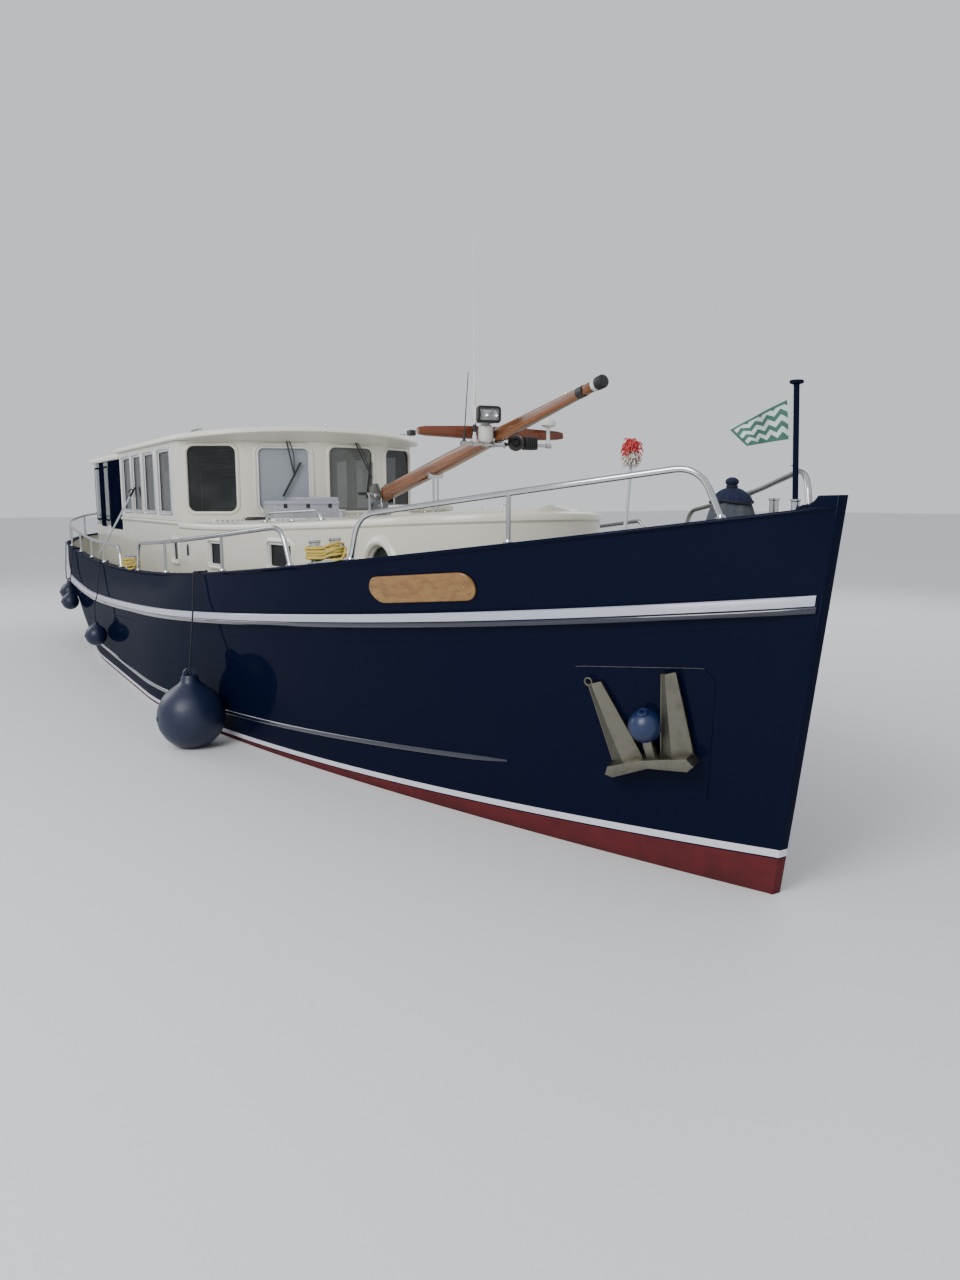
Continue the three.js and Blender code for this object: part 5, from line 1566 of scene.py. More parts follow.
    def _front(self) -> list[Opening]:
        """Return the four front windows."""
        row = []
        spans = [*self.front_spans, *self.front_spans[::-1]]
        for i, ((ax, ay), (bx, by)) in enumerate(zip(self.facets, self.facets[1:])):
            length = math.hypot(bx - ax, by - ay)
            low, high = spans[i] if i < 2 else (length - spans[i][1], length - spans[i][0])
            share = (low + high) / 2 / length
            centre = (ax + (bx - ax) * share, ay + (by - ay) * share, (self.front_low + self.front_high) / 2)
            plane = Plane(centre, (bx - ax, by - ay, 0))
            row.append(Opening(plane, high - low, self.front_high - self.front_low, 0.085, 0.042, 0.018, lining=0.0,
                               setback=0.02))
        return row

    def _side(self, side: int) -> list[Opening]:
        """Return the side windows of one side."""
        middle = (self.side_low + self.side_high) / 2
        return [Opening(Plane(((aft + fore) / 2, side * HOUSE_HALF, middle), (-side, 0, 0)), fore - aft,
                        self.side_high - self.side_low, 0.02, 0.022, 0.014, lining=0.03, setback=0.016)
                for aft, fore in self.side_windows]

    def _opening_light(self) -> None:
        """Add the white frame of the starboard centre window, which opens."""
        shape = Shape()
        opening = self._front()[1]
        profile = [(0.0, -0.02), (0.0, 0.004), (-0.006, 0.01), (-0.022, 0.01), (-0.028, 0.002), (-0.028, -0.02)]
        shape.moulding(opening.outline(), profile, opening.plane.matrix)
        shape.fit("opening_light_frame", Look.WHITE_PLASTIC, slot="cream_paint", smooth=50)

    def _lower_sides(self, shape: Shape) -> None:
        """Add the sides below the ledge, and the ledge."""
        for side in (STARBOARD, PORT):
            near, far = sorted((side * HOUSE_INNER, side * HOUSE_HALF))
            rings = []
            for i in range(9):
                x = HOUSE_AFT + 3.52 * i / 8
                foot = DECK_LINE.at(x) - 0.01
                rings.append([(x, near, foot), (x, far, foot), (x, far, 2.0), (x, near, 2.0)])
            shape.loft(rings)
            profile = [(0.0, -0.030), (0.010, -0.026), (0.020, -0.016), (0.024, -0.002), (0.022, 0.010),
                       (0.014, 0.018), (0.0, 0.022), (-0.02, 0.022), (-0.02, -0.030)]
            ends = [HOUSE_AFT, -2.2, -0.45]
            shape.loft([[(x, side * (HOUSE_HALF + out), 1.975 + h) for out, h in profile] for x in ends])

    def _back(self) -> None:
        """Dress the back wall and its door, with glass and frames in both."""
        dressed("wheelhouse_back", Look.CREAM)
        dressed("door_aft", Look.WOOD)
        frames, rubber, glass = Shape(), Shape(), Shape()
        for side in (STARBOARD, PORT):
            plane = Plane((HOUSE_AFT, side * 0.9, 2.39), (0, -1, 0))
            opening = Opening(plane, 0.676, 0.616, 0.012, 0.022, 0.012, lining=0.026, setback=0.016)
            opening.glaze(frames, frames, rubber, glass)
        frames.fit("back_window_frames", Look.ALUMINIUM)
        rubber.fit("back_window_rubber", Look.RUBBER)
        glass.fit("back_window_glass", Look.GLASS)
        door, pane = Shape(), Shape()
        plane = Plane((HOUSE_AFT, 0, 2.34), (0, -1, 0))
        light = Opening(plane, 0.456, 0.516, 0.012, 0.022, 0.01, lining=0.02, setback=0.012)
        light.surround(door)
        light.pane(pane)
        for low, high in ((1.26, 1.60), (1.68, 2.00)):
            door.box((-3.958, -0.22, low), (-3.948, 0.22, high), 0.004)
        door.fit("door_panels", Look.BOARD, body="door")
        pane.fit("door_glass", Look.GLASS, body="door")

    def _wipers(self) -> None:
        """Add a wiper to each centre window."""
        arms = Shape()
        for opening, lean, tilt in zip(self._front()[1:3], (0.085, 0.24), (-0.5, -0.15)):
            place = opening.plane.matrix
            top = opening.height / 2 + 0.075
            pivot = (0.03, top, 0.0)
            arms.rod(pivot, (0.03, top, 0.05), 0.016, chamfer=0.004, matrix=place)
            tip = (0.03 + lean, top - 0.42, 0.044)
            arms.tube([(0.03, top, 0.046), (0.03 + lean * 0.1, top - 0.05, 0.052), tip], 0.009, 8, matrix=place)
            arms.tube([(0.06, top, 0.036), (0.075 + lean * 0.4, top - 0.15, 0.044), tip], 0.006, 8, matrix=place)
            blade = Matrix.Translation((tip[0] - 0.03, tip[1] - 0.03, 0)) @ Matrix.Rotation(tilt, 4, "Z")
            arms.box((-0.012, -0.22, 0.014), (0.012, 0.22, 0.036), 0.005, matrix=place @ blade)
        arms.fit("window_wipers", Look.BLACK)


@dataclass
class Roof:
    """A cambered roof with a thick rounded eave, rounded in plan at the front."""

    name: str
    node: str
    fore: float
    aft: float
    half: float
    under: float
    edge: float
    crown: float
    nose: float
    # Default finish: the cream paint painted lighter for the light from above
    look: Look = Look.SKYLIT_CREAM

    def outline(self, inset: float, share: float) -> list[Pair]:
        """Return the plan outline, drawn in by an inset and narrowed to a share."""
        start = self.fore - self.nose
        row = [(self.aft + inset, (self.half - inset)), (self.aft + 0.02 + inset, self.half - inset),
               ((self.aft + start) / 2, self.half - inset)]
        for i in range(25):
            along = math.sin(i / 24 * math.pi / 2)
            wide = self.half * (1 - along ** 2.3) ** (1 / 2.3) if i < 24 else 0.0
            shrink = inset * math.sqrt(max(0.0, 1 - along ** 2))
            row.append((start + (self.nose - inset) * along, max(0.0, wide - shrink)))
        starboard = [(x, -y * share) for x, y in row]
        return starboard + [(x, -y) for x, y in reversed(starboard)]

    def top(self, y: float) -> float:
        """Return the height of the top at a breadth."""
        return self.under + self.edge + self.crown * (1 - (y / self.half) ** 2)

    def build(self) -> None:
        """Build and dress the roof."""
        shape = Shape()
        rounding = [(0.03, 0.0), (0.010, 0.05), (0.0, 0.22), (0.0, 0.62), (0.006, 0.84), (0.02, 0.96), (0.045, 1.0)]
        rings = [[(x, y, self.under) for x, y in self.outline(0.15, 1.0)]]
        for inset, rise in rounding:
            rings.append([(x, y, self.top(y) - self.edge * (1 - rise)) for x, y in self.outline(inset, 1.0)])
        for share in (0.9, 0.75, 0.6, 0.45, 0.3, 0.15, 0.0):
            rings.append([(x, y, self.top(y)) for x, y in self.outline(0.045, share)])
        shape.loft(rings, weld=2e-4)
        shape.fit(self.name, self.look, self.node)


@dataclass
class RoofFittings:
    """Grab rails, a lamp on its bracket and a small knob on the wheelhouse roof."""

    roof: Roof

    def build(self) -> None:
        """Build and dress the fittings."""
        steel, black = Shape(), Shape()
        for side in (STARBOARD, PORT):
            y = side * 1.18
            z = self.roof.top(y)
            for start, end in ((-0.98, -0.50), (-3.2, -2.4)):
                line = [(start, y, z - 0.004), (start + 0.03, y, z + 0.045), (end - 0.03, y, z + 0.045),
                        (end, y, z - 0.004)]
                steel.tube(bent(line, 0.04), 0.013, 10)
        black.box((-0.49, 1.44, 3.050), (-0.37, 1.525, 3.122), 0.014, 3)
        black.box((-0.376, 1.450, 3.058), (-0.366, 1.515, 3.114), 0.004)
        steel.tube(bent([(-0.43, 1.30, self.roof.top(1.30) - 0.003), (-0.43, 1.30, 3.062), (-0.43, 1.46, 3.062)],
                        0.03),
                   0.008, 8)
        steel.lathe([(0, 0), (0.022, 0), (0.02, 0.012), (0.009, 0.018), (0.009, 0.03), (0.017, 0.038), (0.013, 0.052),
                     (0, 0.056)], (0.10, 0.11, self.roof.top(0.11) - 0.004), steps=24)
        steel.fit("roof_rails", Look.STEEL)
        black.fit("roof_lamp", Look.BLACK)


@dataclass
class Hanging:
    """A cloth panel hung from its top edge, with soft upright folds."""

    name: str
    start: Pair
    end: Pair
    low: float
    high: float
    folds: float = 3.0
    depth: float = 0.012
    spare: float = 1.0
    seed: int = 1
    look: Look = Look.CANVAS
    slot: str = "navy_canvas"

    def build(self, rests: str) -> None:
        """Args:
            rests: The node or piece that it hangs from; not used.
        """
        rng = random.Random(self.seed)
        a, b = Vector((*self.start, 0)), Vector((*self.end, 0))
        length = (b - a).length
        off = Vector((b.y - a.y, a.x - b.x, 0)).normalized()
        phases = [rng.uniform(0, 2 * math.pi) for _ in range(4)]
        across, down = max(24, int(length / 0.02)), 26
        rings = []
        for j in range(down + 1):
            v = j / down
            z = self.high + (self.low - self.high) * v
            row = []
            for i in range(across + 1):
                u = i / across
                deep = self.depth * (0.25 + 0.75 * v)
                wave = math.sin(2 * math.pi * self.folds * u + phases[0] + 0.5 * math.sin(3 * v + phases[1]))
                wave += 0.45 * math.sin(2 * math.pi * self.folds * 2.3 * u + phases[2] + v)
                sag = 0.3 * math.sin(math.pi * v) * math.sin(5 * u + phases[3])
                row.append(a.lerp(b, u) + off * deep * (wave * 0.5 + sag) + Vector((0, 0, z)))
            rings.append(row)
        shape = Shape()
        shape.loft(rings, closed=False)
        piece = shape.object(self.name, self.look, 60)
        hem = piece.modifiers.new("thick", "SOLIDIFY")
        hem.thickness = 0.0022
        hem.offset = 0.0
        applied(piece)
        soften(piece, 60)
        fitted(piece, YACHT, self.slot)
        length * self.spare
        self.high - self.low


@dataclass
class Cockpit:
    """Cockpit coaming trim, hardtop, posts and canvas sides."""

    top: float = 1.85
    half: float = 1.44
    under: float = 2.83
    hung: float = 2.829
    aft: float = -6.55

    def build(self) -> None:
        """Build and dress the cockpit."""
        dressed("cockpit_coaming", Look.CREAM)
        dressed("cockpit_gate", Look.CREAM)
        hardtop = Roof("hardtop_slab", "hardtop", -4.13, -6.69, 1.5, self.under, 0.085, 0.052, 0.2)
        hardtop.build()
        self._posts()
        self._rail()
        self._canvas()

    def _posts(self) -> None:
        """Add the posts of the hardtop."""
        steel = Shape()
        for side in (STARBOARD, PORT):
            for x in (self.aft + 0.025, -5.25, -4.25):
                y = side * (self.half - 0.025)
                steel.rod((x, y, self.top + 0.001), (x, y, self.under + 0.02), 0.019, steps=20)
                steel.lathe([(0, 0), (0.024, 0), (0.024, 0.005), (0.021, 0.016), (0, 0.016)], (x, y, self.top),
                            steps=24)
        steel.fit("hardtop_posts", Look.STEEL)

    def _rail(self) -> None:
        """Add the varnished capping of the coaming."""
        wood = Shape()
        for side in (STARBOARD, PORT):
            y = side * (self.half - 0.025)
            runs = [(self.aft, -3.956)] if side == PORT else [(self.aft, -5.905), (-5.345, -3.956)]
            for aft, fore in runs:
                wood.box((aft, y - 0.034, self.top - 0.014), (fore, y + 0.034, self.top + 0.002), 0.006)
        wide = self.half + 0.008
        wood.box((self.aft - 0.01, -wide, self.top - 0.014), (self.aft + 0.058, wide, self.top + 0.002), 0.006)
        wood.fit("coaming_capping", Look.WOOD)

    def _canvas(self) -> None:
        """Add the hung cloth, and its clear panels."""
        clear, border = Shape(), Shape()
        band = [(0.0, -0.002), (0.0, 0.002), (0.014, 0.003), (0.029, 0.002), (0.029, -0.002)]
        wide_band = [(0.0, -0.002), (0.0, 0.002), (0.03, 0.003), (0.058, 0.002), (0.058, -0.002)]
        for side, tail in ((STARBOARD, "starboard"), (PORT, "port")):
            y = side * (self.half + 0.013)
            for place, start, end, foot, *folds in (("aft", -5.97, -5.58, 1.815, 4.0, 0.014, 1.1, 3),
                                                    ("fore", -5.16, -4.18, 1.80, 8.0, 0.016, 1.1, 5)):
                Hanging(f"curtain_{place}_{tail}", (start, y), (end, y), foot, self.hung, *folds).build("hardtop_slab")
            for middle, wide in ((-6.22, 0.48), (-5.37, 0.40)):
                plane = Plane((middle, y, 2.335), (-side, 0, 0)).matrix
                clear.slab(rounded_box(wide, 0.98, 0.01), -0.0012, 0.0012, matrix=plane)
                border.moulding(rounded_box(wide - 0.06, 0.80, 0.04), band, plane)
        back = self.aft - 0.018
        for tail, ends in (("starboard", (-1.39, -0.52)), ("port", (0.52, 1.39))):
            folds = (3.4, 0.009, 1.02, 8)
            Hanging(f"curtain_back_{tail}", (back, ends[0]), (back, ends[1]), 1.815, self.hung,
                    *folds).build("hardtop_slab")
        plane = Plane((back, 0, 2.337), (0, -1, 0)).matrix
        clear.slab(rounded_box(1.06, 0.98, 0.01), -0.0012, 0.0012, matrix=plane)
        border.moulding(rounded_box(0.94, 0.80, 0.05), wide_band, plane)
        clear.fit("curtain_clear_panels", Look.VINYL_PANE, "canvas_starboard", "canvas_port", "canvas_aft")
        border.fit("curtain_panel_borders", Look.CANVAS)


@dataclass
class LoweredMast:
    """Wooden mast, crosstree and masthead light, drawn along the lowered mast."""

    pivot: Triple = (1.86, 0.0, 2.279)
    length: float = 3.57
    lift: float = 11.9
    foot: float = 0.070
    head: float = 0.036
    square: float = 4.2
    cross_at: float = 2.216
    cross_half: float = 0.685

    @property
    def matrix(self) -> Matrix:
        """Return the mast's placing matrix."""
        return Matrix.Translation(self.pivot) @ Matrix.Rotation(-math.radians(self.lift), 4, "Y")

    def half(self, x: float) -> float:
        """Return the spar's half depth at a place along it."""
        return self.foot + (self.head - self.foot) * max(0.0, (x - 1.5) / (self.length - 1.59))

    def build(self) -> None:
        """Build and dress the mast."""
        self._spar()
        self._crosstree()
        self._masthead()

    def _section(self, half: float, offset: float = 0.0) -> list[Pair]:
        """Return the spar's round-cornered section, its points turned by a share of a step."""
        points = []
        for k in range(32):
            angle = 2 * math.pi * (k + offset) / 32
            c, s = math.cos(angle), math.sin(angle)
            reach = (abs(c) ** self.square + abs(s) ** self.square) ** (-1 / self.square)
            points.append((half * 0.8 * c * reach, half * 0.96 * s * reach))
        return points

    def _spar(self) -> None:
        """Add the spar, square with broad rounded edges."""
        rings = []
        for x, shrink in ((-0.06, 0.9), (-0.055, 1.0), (0.4, 1.0), (0.9, 1.0), (1.5, 1.0), (2.0, 1.0), (2.5, 1.0),
                          (3.0, 1.0), (3.48, 1.0), (3.562, 1.0), (3.57, 0.93)):
            half = self.half(min(x, 3.48)) * shrink
            rings.append([(x, *spot) for spot in self._section(half, 0.5)])
        shape = Shape()
        shape.loft(rings, matrix=self.matrix)
        shape.fit("mast_spar", Look.MAST_WOOD, "mast", body=MAST_BODY)
        bands = Shape()
        band = [(-0.002, -0.014), (0.003, -0.014), (0.003, 0.014), (-0.002, 0.014)]
        for x in (self.cross_at - 0.075, self.cross_at + 0.075):
            place = self.matrix @ Plane((x, 0, 0), (0, 1, 0)).matrix
            bands.moulding(self._section(self.half(x)), band, place)
        bands.collar(0.006, 0.014, 0.0, 0.012, (3.25, 0, self.half(3.25) * 0.93), steps=20, matrix=self.matrix)
        bands.fit("mast_bands", Look.STEEL, body=MAST_BODY)

    def _crosstree(self) -> None:
        """Add the crosstree, tapered and rounded to its ends."""
        rings = []
        for i in range(25):
            y = self.cross_half * (i / 12 - 1)
            near = abs(y) / self.cross_half
            tall = 0.050 - 0.017 * max(0.0, near - 0.365) / 0.635
            wide = 0.025
            if i in (0, 24):
                tall, wide = tall * 0.8, wide * 0.8
            section = rounded_box(2 * wide, 2 * tall, 0.011, 3)
            rings.append([(self.cross_at + a, y, 0.0375 + b) for a, b in section])
        shape = Shape()
        shape.loft(rings, matrix=self.matrix)
        shape.fit("crosstree_spar", Look.CROSS_WOOD, "crosstree", body=MAST_BODY)

    def _masthead(self) -> None:
        """Add the light at the mast's head."""
        white, black = Shape(), Shape()
        start = self.length + 0.0005
        white.lathe([(0, 0), (0.034, 0), (0.040, 0.006), (0.044, 0.016), (0.044, 0.038), (0.040, 0.046), (0, 0.046)],
                    (start, 0, 0), (1, 0, 0), 36, matrix=self.matrix)
        black.lathe([(0, 0.044), (0.038, 0.044), (0.046, 0.052), (0.047, 0.105), (0.041, 0.116), (0.016, 0.1195),
                     (0, 0.1195)],
                    (start, 0, 0), (1, 0, 0), 36, matrix=self.matrix)
        black.collar(0.033, 0.041, -0.17, -0.10, (start, 0, 0), (1, 0, 0), 36, self.matrix)
        black.fit("masthead_lamp", Look.BLACK, "masthead_light", body=MAST_BODY)
        white.fit("masthead_collar", Look.WHITE_PLASTIC, body=MAST_BODY)


@dataclass
class Instruments:
    """The bar under the crosstree with its searchlight, aerials, lamp, horn block and receiver."""

    mast: LoweredMast
    radius: float = 0.013
    ends: Pair = (-0.338, 0.511)
    light: float = -0.125
    whip: float = -0.226
    aerial: float = -0.325
    camera: float = 0.224
    receiver: float = 0.482

    @property
    def middle(self) -> Vector:
        """Return the middle of the bar."""
        along = self.mast.cross_at + 0.07
        drop = self.mast.half(along) * math.cos(math.pi / 12) + self.radius + 0.005
        return self.mast.matrix @ Vector((along, 0, -drop))

    def build(self) -> None:
        """Build and dress the instruments."""
        self._bar()
        self._searchlight()
        self._aerials()
        self._camera()
        self._receiver()

    def _at(self, y: float, rise: float = 0.0, ahead: float = 0.0) -> Vector:
        """Return a place over the bar."""
        m = self.middle
        return Vector((m.x + ahead, y, m.z + rise))

    def _bar(self) -> None:
        """Add the bar and its saddle."""
        steel = Shape()
        steel.rod(self._at(self.ends[0]), self._at(self.ends[1]), self.radius, chamfer=0.004, steps=20)
        low = self._at(-0.06, -0.02, -0.03)
        steel.box(low, self._at(0.06, 0.016, 0.03), 0.005)
        for y in (-0.05, 0.05):
            steel.rod(self._at(y, -0.03), self._at(y, 0.02), 0.007, steps=12)
        for y in (self.light, self.whip, self.aerial, self.camera, self.receiver):
            steel.collar(0.0125, 0.021, -0.024, 0.024, self._at(y), (0, 1, 0), 20)
        steel.fit("instrument_rod", Look.STEEL, "instrument_bar", body=MAST_BODY)

    def _searchlight(self) -> None:
        """Add the searchlight on its white foot."""
        white, black, mirror, glass = Shape(), Shape(), Shape(), Shape()
        foot = self._at(self.light, 0.01)
        white.lathe([(0, 0), (0.03, 0), (0.05, 0.012), (0.062, 0.04), (0.064, 0.09), (0.058, 0.125), (0.04, 0.14),
                     (0.036, 0.165), (0, 0.165)],
                    foot, steps=36)
        turn = Matrix.Translation(self._at(self.light - 0.01, 0.226, 0.03)) @ Matrix.Rotation(math.radians(-6), 4, "Z")
        white.box((-0.085, -0.102, -0.064), (0.03, 0.102, 0.064), 0.028, 4, matrix=turn)
        face = turn @ Plane((0.03, 0, 0), (0, 1, 0)).matrix
        rim = [(-0.012, -0.012), (-0.012, 0.034), (0.006, 0.034), (0.009, 0.02), (0.006, -0.012)]
        black.moulding(rounded_box(0.186, 0.116, 0.02), rim, face)
        mirror.slab(rounded_box(0.168, 0.098, 0.016), -0.004, 0.006, 0.002, matrix=face)
        for x in (-0.042, 0.042):
            mirror.lathe([(0.004, 0.004), (0.016, 0.010), (0.03, 0.024), (0.032, 0.024), (0.032, 0.002), (0.004, 0.0)],
                         (x, 0, 0.004), steps=24, closed=True, matrix=face)
        glass.slab(rounded_box(0.165, 0.095, 0.015), 0.026, 0.029, matrix=face)
        white.fit("searchlight_body", Look.WHITE_PLASTIC, body=MAST_BODY)
        black.fit("searchlight_rim", Look.BLACK, body=MAST_BODY)
        mirror.fit("searchlight_reflector", Look.STEEL, body=MAST_BODY)
        glass.fit("searchlight_glass", Look.LENS, body=MAST_BODY)

    def _aerials(self) -> None:
        """Add the tall white whip and the short black aerial."""
        white, black = Shape(), Shape()
        foot = self._at(self.whip)
        white.lathe([(0, 0.012), (0.017, 0.012), (0.017, 0.06), (0.013, 0.07), (0.0125, 0.40), (0.009, 0.43),
                     (0.0062, 0.44), (0.0035, 1.62), (0, 1.623)], foot, steps=20)
        black.rod(self._at(self.whip, 0.09), self._at(self.whip, 0.15), 0.0155, chamfer=0.003, steps=20)
        start = self._at(self.aerial, 0.01)
        black.rod(start, start + Vector((0, 0.007, 0.09)), 0.012, 0.009, 0.003, 16)
        black.rod(start + Vector((0, 0.007, 0.088)), start + Vector((0, 0.043, 0.537)), 0.0045, 0.0032, steps=12)
        white.fit("whip_aerial", Look.WHITE_PLASTIC, body=MAST_BODY)
        black.fit("short_aerial", Look.BLACK, body=MAST_BODY)

    def _camera(self) -> None:
        """Add the round lamp and the ribbed horn block."""
        black, grey = Shape(), Shape()
        centre = self._at(self.camera - 0.08, 0.014, 0.03)
        black.ball(centre, 0.066, 36, 24)
        lens = Vector((0.86, -0.5, 0)).normalized()
        black.lathe([(0.030, 0.050), (0.047, 0.044), (0.047, 0.064), (0.040, 0.070), (0.030, 0.062)], centre, lens, 28,
                    closed=True)
        grey.lathe([(0, 0.05), (0.031, 0.05), (0.031, 0.061), (0, 0.064)], centre, lens, 24)
        low, high = self._at(self.camera + 0.01, -0.038, -0.035), self._at(self.camera + 0.125, 0.068, 0.052)
        black.box(low, high, 0.012, 3)
        for k in range(5):
            y = low.y + 0.02 + k * 0.019
            black.box((high.x - 0.004, y - 0.003, low.z + 0.014), (high.x + 0.006, y + 0.003, high.z - 0.014), 0.002)
        black.fit("round_lamp_and_horn", Look.BLACK, body=MAST_BODY)
        grey.fit("round_lamp_lens", Look.SMOKED, body=MAST_BODY)

    def _receiver(self) -> None:
        """Add the mushroom receiver."""
        white = Shape()
        white.lathe([(0, 0.01), (0.016, 0.01), (0.014, 0.135), (0.02, 0.15), (0.05, 0.157), (0.063, 0.168),
                     (0.065, 0.190), (0.060, 0.214), (0.040, 0.232), (0, 0.238)], self._at(self.receiver), steps=40)
        white.fit("receiver_mushroom", Look.WHITE_PLASTIC, body=MAST_BODY)


@dataclass
class MastStep:
    """Tabernacle with its pin, winch drum and lever, and the crutch under the mast."""

    mast: LoweredMast
    inner: float = 0.064
    thick: float = 0.012

    def build(self) -> None:
        """Build and dress the step and the crutch."""
        dressed("tabernacle", Look.STEEL)
        dressed("mast_crutch", Look.STEEL)
        steel, black = Shape(), Shape()
        x, _, z = self.mast.pivot
        for side in (STARBOARD, PORT):
            face = side * (self.inner + self.thick)
            steel.lathe([(0, 0), (0.026, 0), (0.026, 0.006), (0.018, 0.018), (0, 0.02)], (x, face, z), (0, side, 0),
                        24)
            for bx, bz in ((1.77, 2.10), (1.95, 2.18), (1.77, 2.30)):
                steel.lathe([(0, 0), (0.012, 0), (0.012, 0.004), (0.008, 0.011), (0, 0.012)], (bx, face, bz),
                            (0, side, 0), 16)
        for i in range(7):
            steel.lathe([(0.0435, i * 0.017 - 0.055), (0.0475, i * 0.017 - 0.051), (0.0435, i * 0.017 - 0.047)],
                        (1.925, 0, 2.112), (0, 1, 0), 28, closed=True)
        steel.tube(bent([(1.925, -0.07, 2.112), (1.925, -0.17, 2.112), (1.925, -0.17, 2.30), (1.925, -0.215, 2.30)],
                        0.03),
                   0.011, 12)
        black.rod((1.925, -0.20, 2.30), (1.925, -0.29, 2.30), 0.017, 0.015, 0.004, 20)
        steel.lathe([(0, 0), (0.055, 0), (0.055, 0.012), (0.038, 0.02), (0.034, 0.075), (0.046, 0.09), (0.046, 0.1),
                     (0, 0.1)], (1.60, -0.34, trunk_rim(1.6) + 0.03), steps=32)
        steel.hoop((1.6, -0.15, trunk_rim(1.6) + 0.075), 0.03, 0.006, sides=10)
        steel.rod((1.6, -0.15, trunk_rim(1.6) + 0.02), (1.6, -0.15, trunk_rim(1.6) + 0.052), 0.012, steps=16)
        steel.fit("mast_step_fittings", Look.STEEL)
        black.fit("winch_handle", Look.BLACK)


def cap_place(x: float, side: int, rise: float = 0.0) -> Vector:
    """Return a place on the middle of the cap, raised by a height."""
    return Vector((x, side * (LINES.levels[CAP_LEVEL].breadth(x) - 0.033), CAP_LINE.at(x) + rise))


@dataclass
class Rails:
    """Polished rails on the cap, and the grab rails on the trunk."""

    radius: float = 0.019
    post: float = 0.014
    bow: tuple[Pair, ...] = ((4.64, 0.0), (4.72, 0.3), (5.3, 0.3), (6.0, 0.3), (6.86, 0.3), (6.96, 0.0))
    waist: tuple[Pair, ...] = ((-0.18, 0.0), (-0.12, 0.3), (0.9, 0.3), (1.9, 0.3), (2.9, 0.3),
                                             (3.86, 0.3), (3.96, 0.0))

    def build(self) -> None:
        """Build and dress the rails."""
        for side, tail in ((STARBOARD, "starboard"), (PORT, "port")):
            for name, row, posts in (("bow_rail", self.bow, (5.86,)), ("waist_rail", self.waist, (1.18, 2.86))):
                shape = Shape()
                line = [cap_place(x, side, rise) for x, rise in row]
                shape.tube(bent(line, 0.15, 10), self.radius, 20)
                for x in posts:
                    shape.rod(cap_place(x, side), cap_place(x, side, 0.3), self.post, steps=16)
                for x in (row[0][0], row[-1][0], *posts):
                    self._foot(shape, cap_place(x, side))
                shape.fit(f"{name}_tube_{tail}", Look.STEEL, f"{name}_{tail}")
            self._grab(side, tail)
        self._stern()

    def _foot(self, shape: Shape, place: Vector) -> None:
        """Add a rail's foot plate."""
        shape.lathe([(0, 0), (0.036, 0), (0.036, 0.004), (0.026, 0.008), (0.021, 0.022), (0, 0.022)], place, steps=24)

    def _stern(self) -> None:
        """Add the rail round the stern."""
        tops = ((-1.29, 0.25), (-2.4, 0.25), (-3.4, 0.25), (-4.4, 0.27), (-5.3, 0.29), (-6.1, 0.31), (-6.75, 0.33),
                (-7.11, 0.35))
        end = -7.35
        half = [cap_place(-1.2, PORT), *[cap_place(x, PORT, rise) for x, rise in tops]]
        high = CAP_LINE.at(end) + 0.36
        line = [*mirrored(half), Vector((end, -0.3, high)), Vector((end, 0.3, high)), *reversed(half)]
        shape = Shape()
        shape.tube(bent(line, 0.2, 10), self.radius, 18)
        for side in (STARBOARD, PORT):
            for x, rise in tops[1:7]:
                shape.rod(cap_place(x, side), cap_place(x, side, rise - 0.004), self.post, steps=14)
                self._foot(shape, cap_place(x, side))
            self._foot(shape, cap_place(-1.2, side))
            shape.rod((end, side * 0.29, CAP_LINE.at(end)), (end, side * 0.29, high), self.post, steps=14)
        shape.fit("stern_rail_tube", Look.STEEL, "stern_rail")

    def _grab(self, side: int, tail: str) -> None:
        """Add the grab rail on the trunk's top."""
        def place(x: float, rise: float) -> Vector:
            """Return a place along the rail."""
            return Vector((x, side * (trunk_half(x) - 0.09), trunk_rim(x) + rise))
        shape = Shape()
        line = [place(1.72, 0.0), place(1.78, 0.095), place(2.25, 0.095), place(2.72, 0.095), place(2.78, 0.0)]
        shape.tube(bent(line, 0.09, 8), 0.014, 16)
        shape.rod(place(2.25, 0.0), place(2.25, 0.095), 0.010, steps=12)
        for x in (1.72, 2.25, 2.78):
            self._foot(shape, place(x, 0.006))
        shape.fit(f"grab_rail_tube_{tail}", Look.STEEL, f"grab_rail_{tail}")


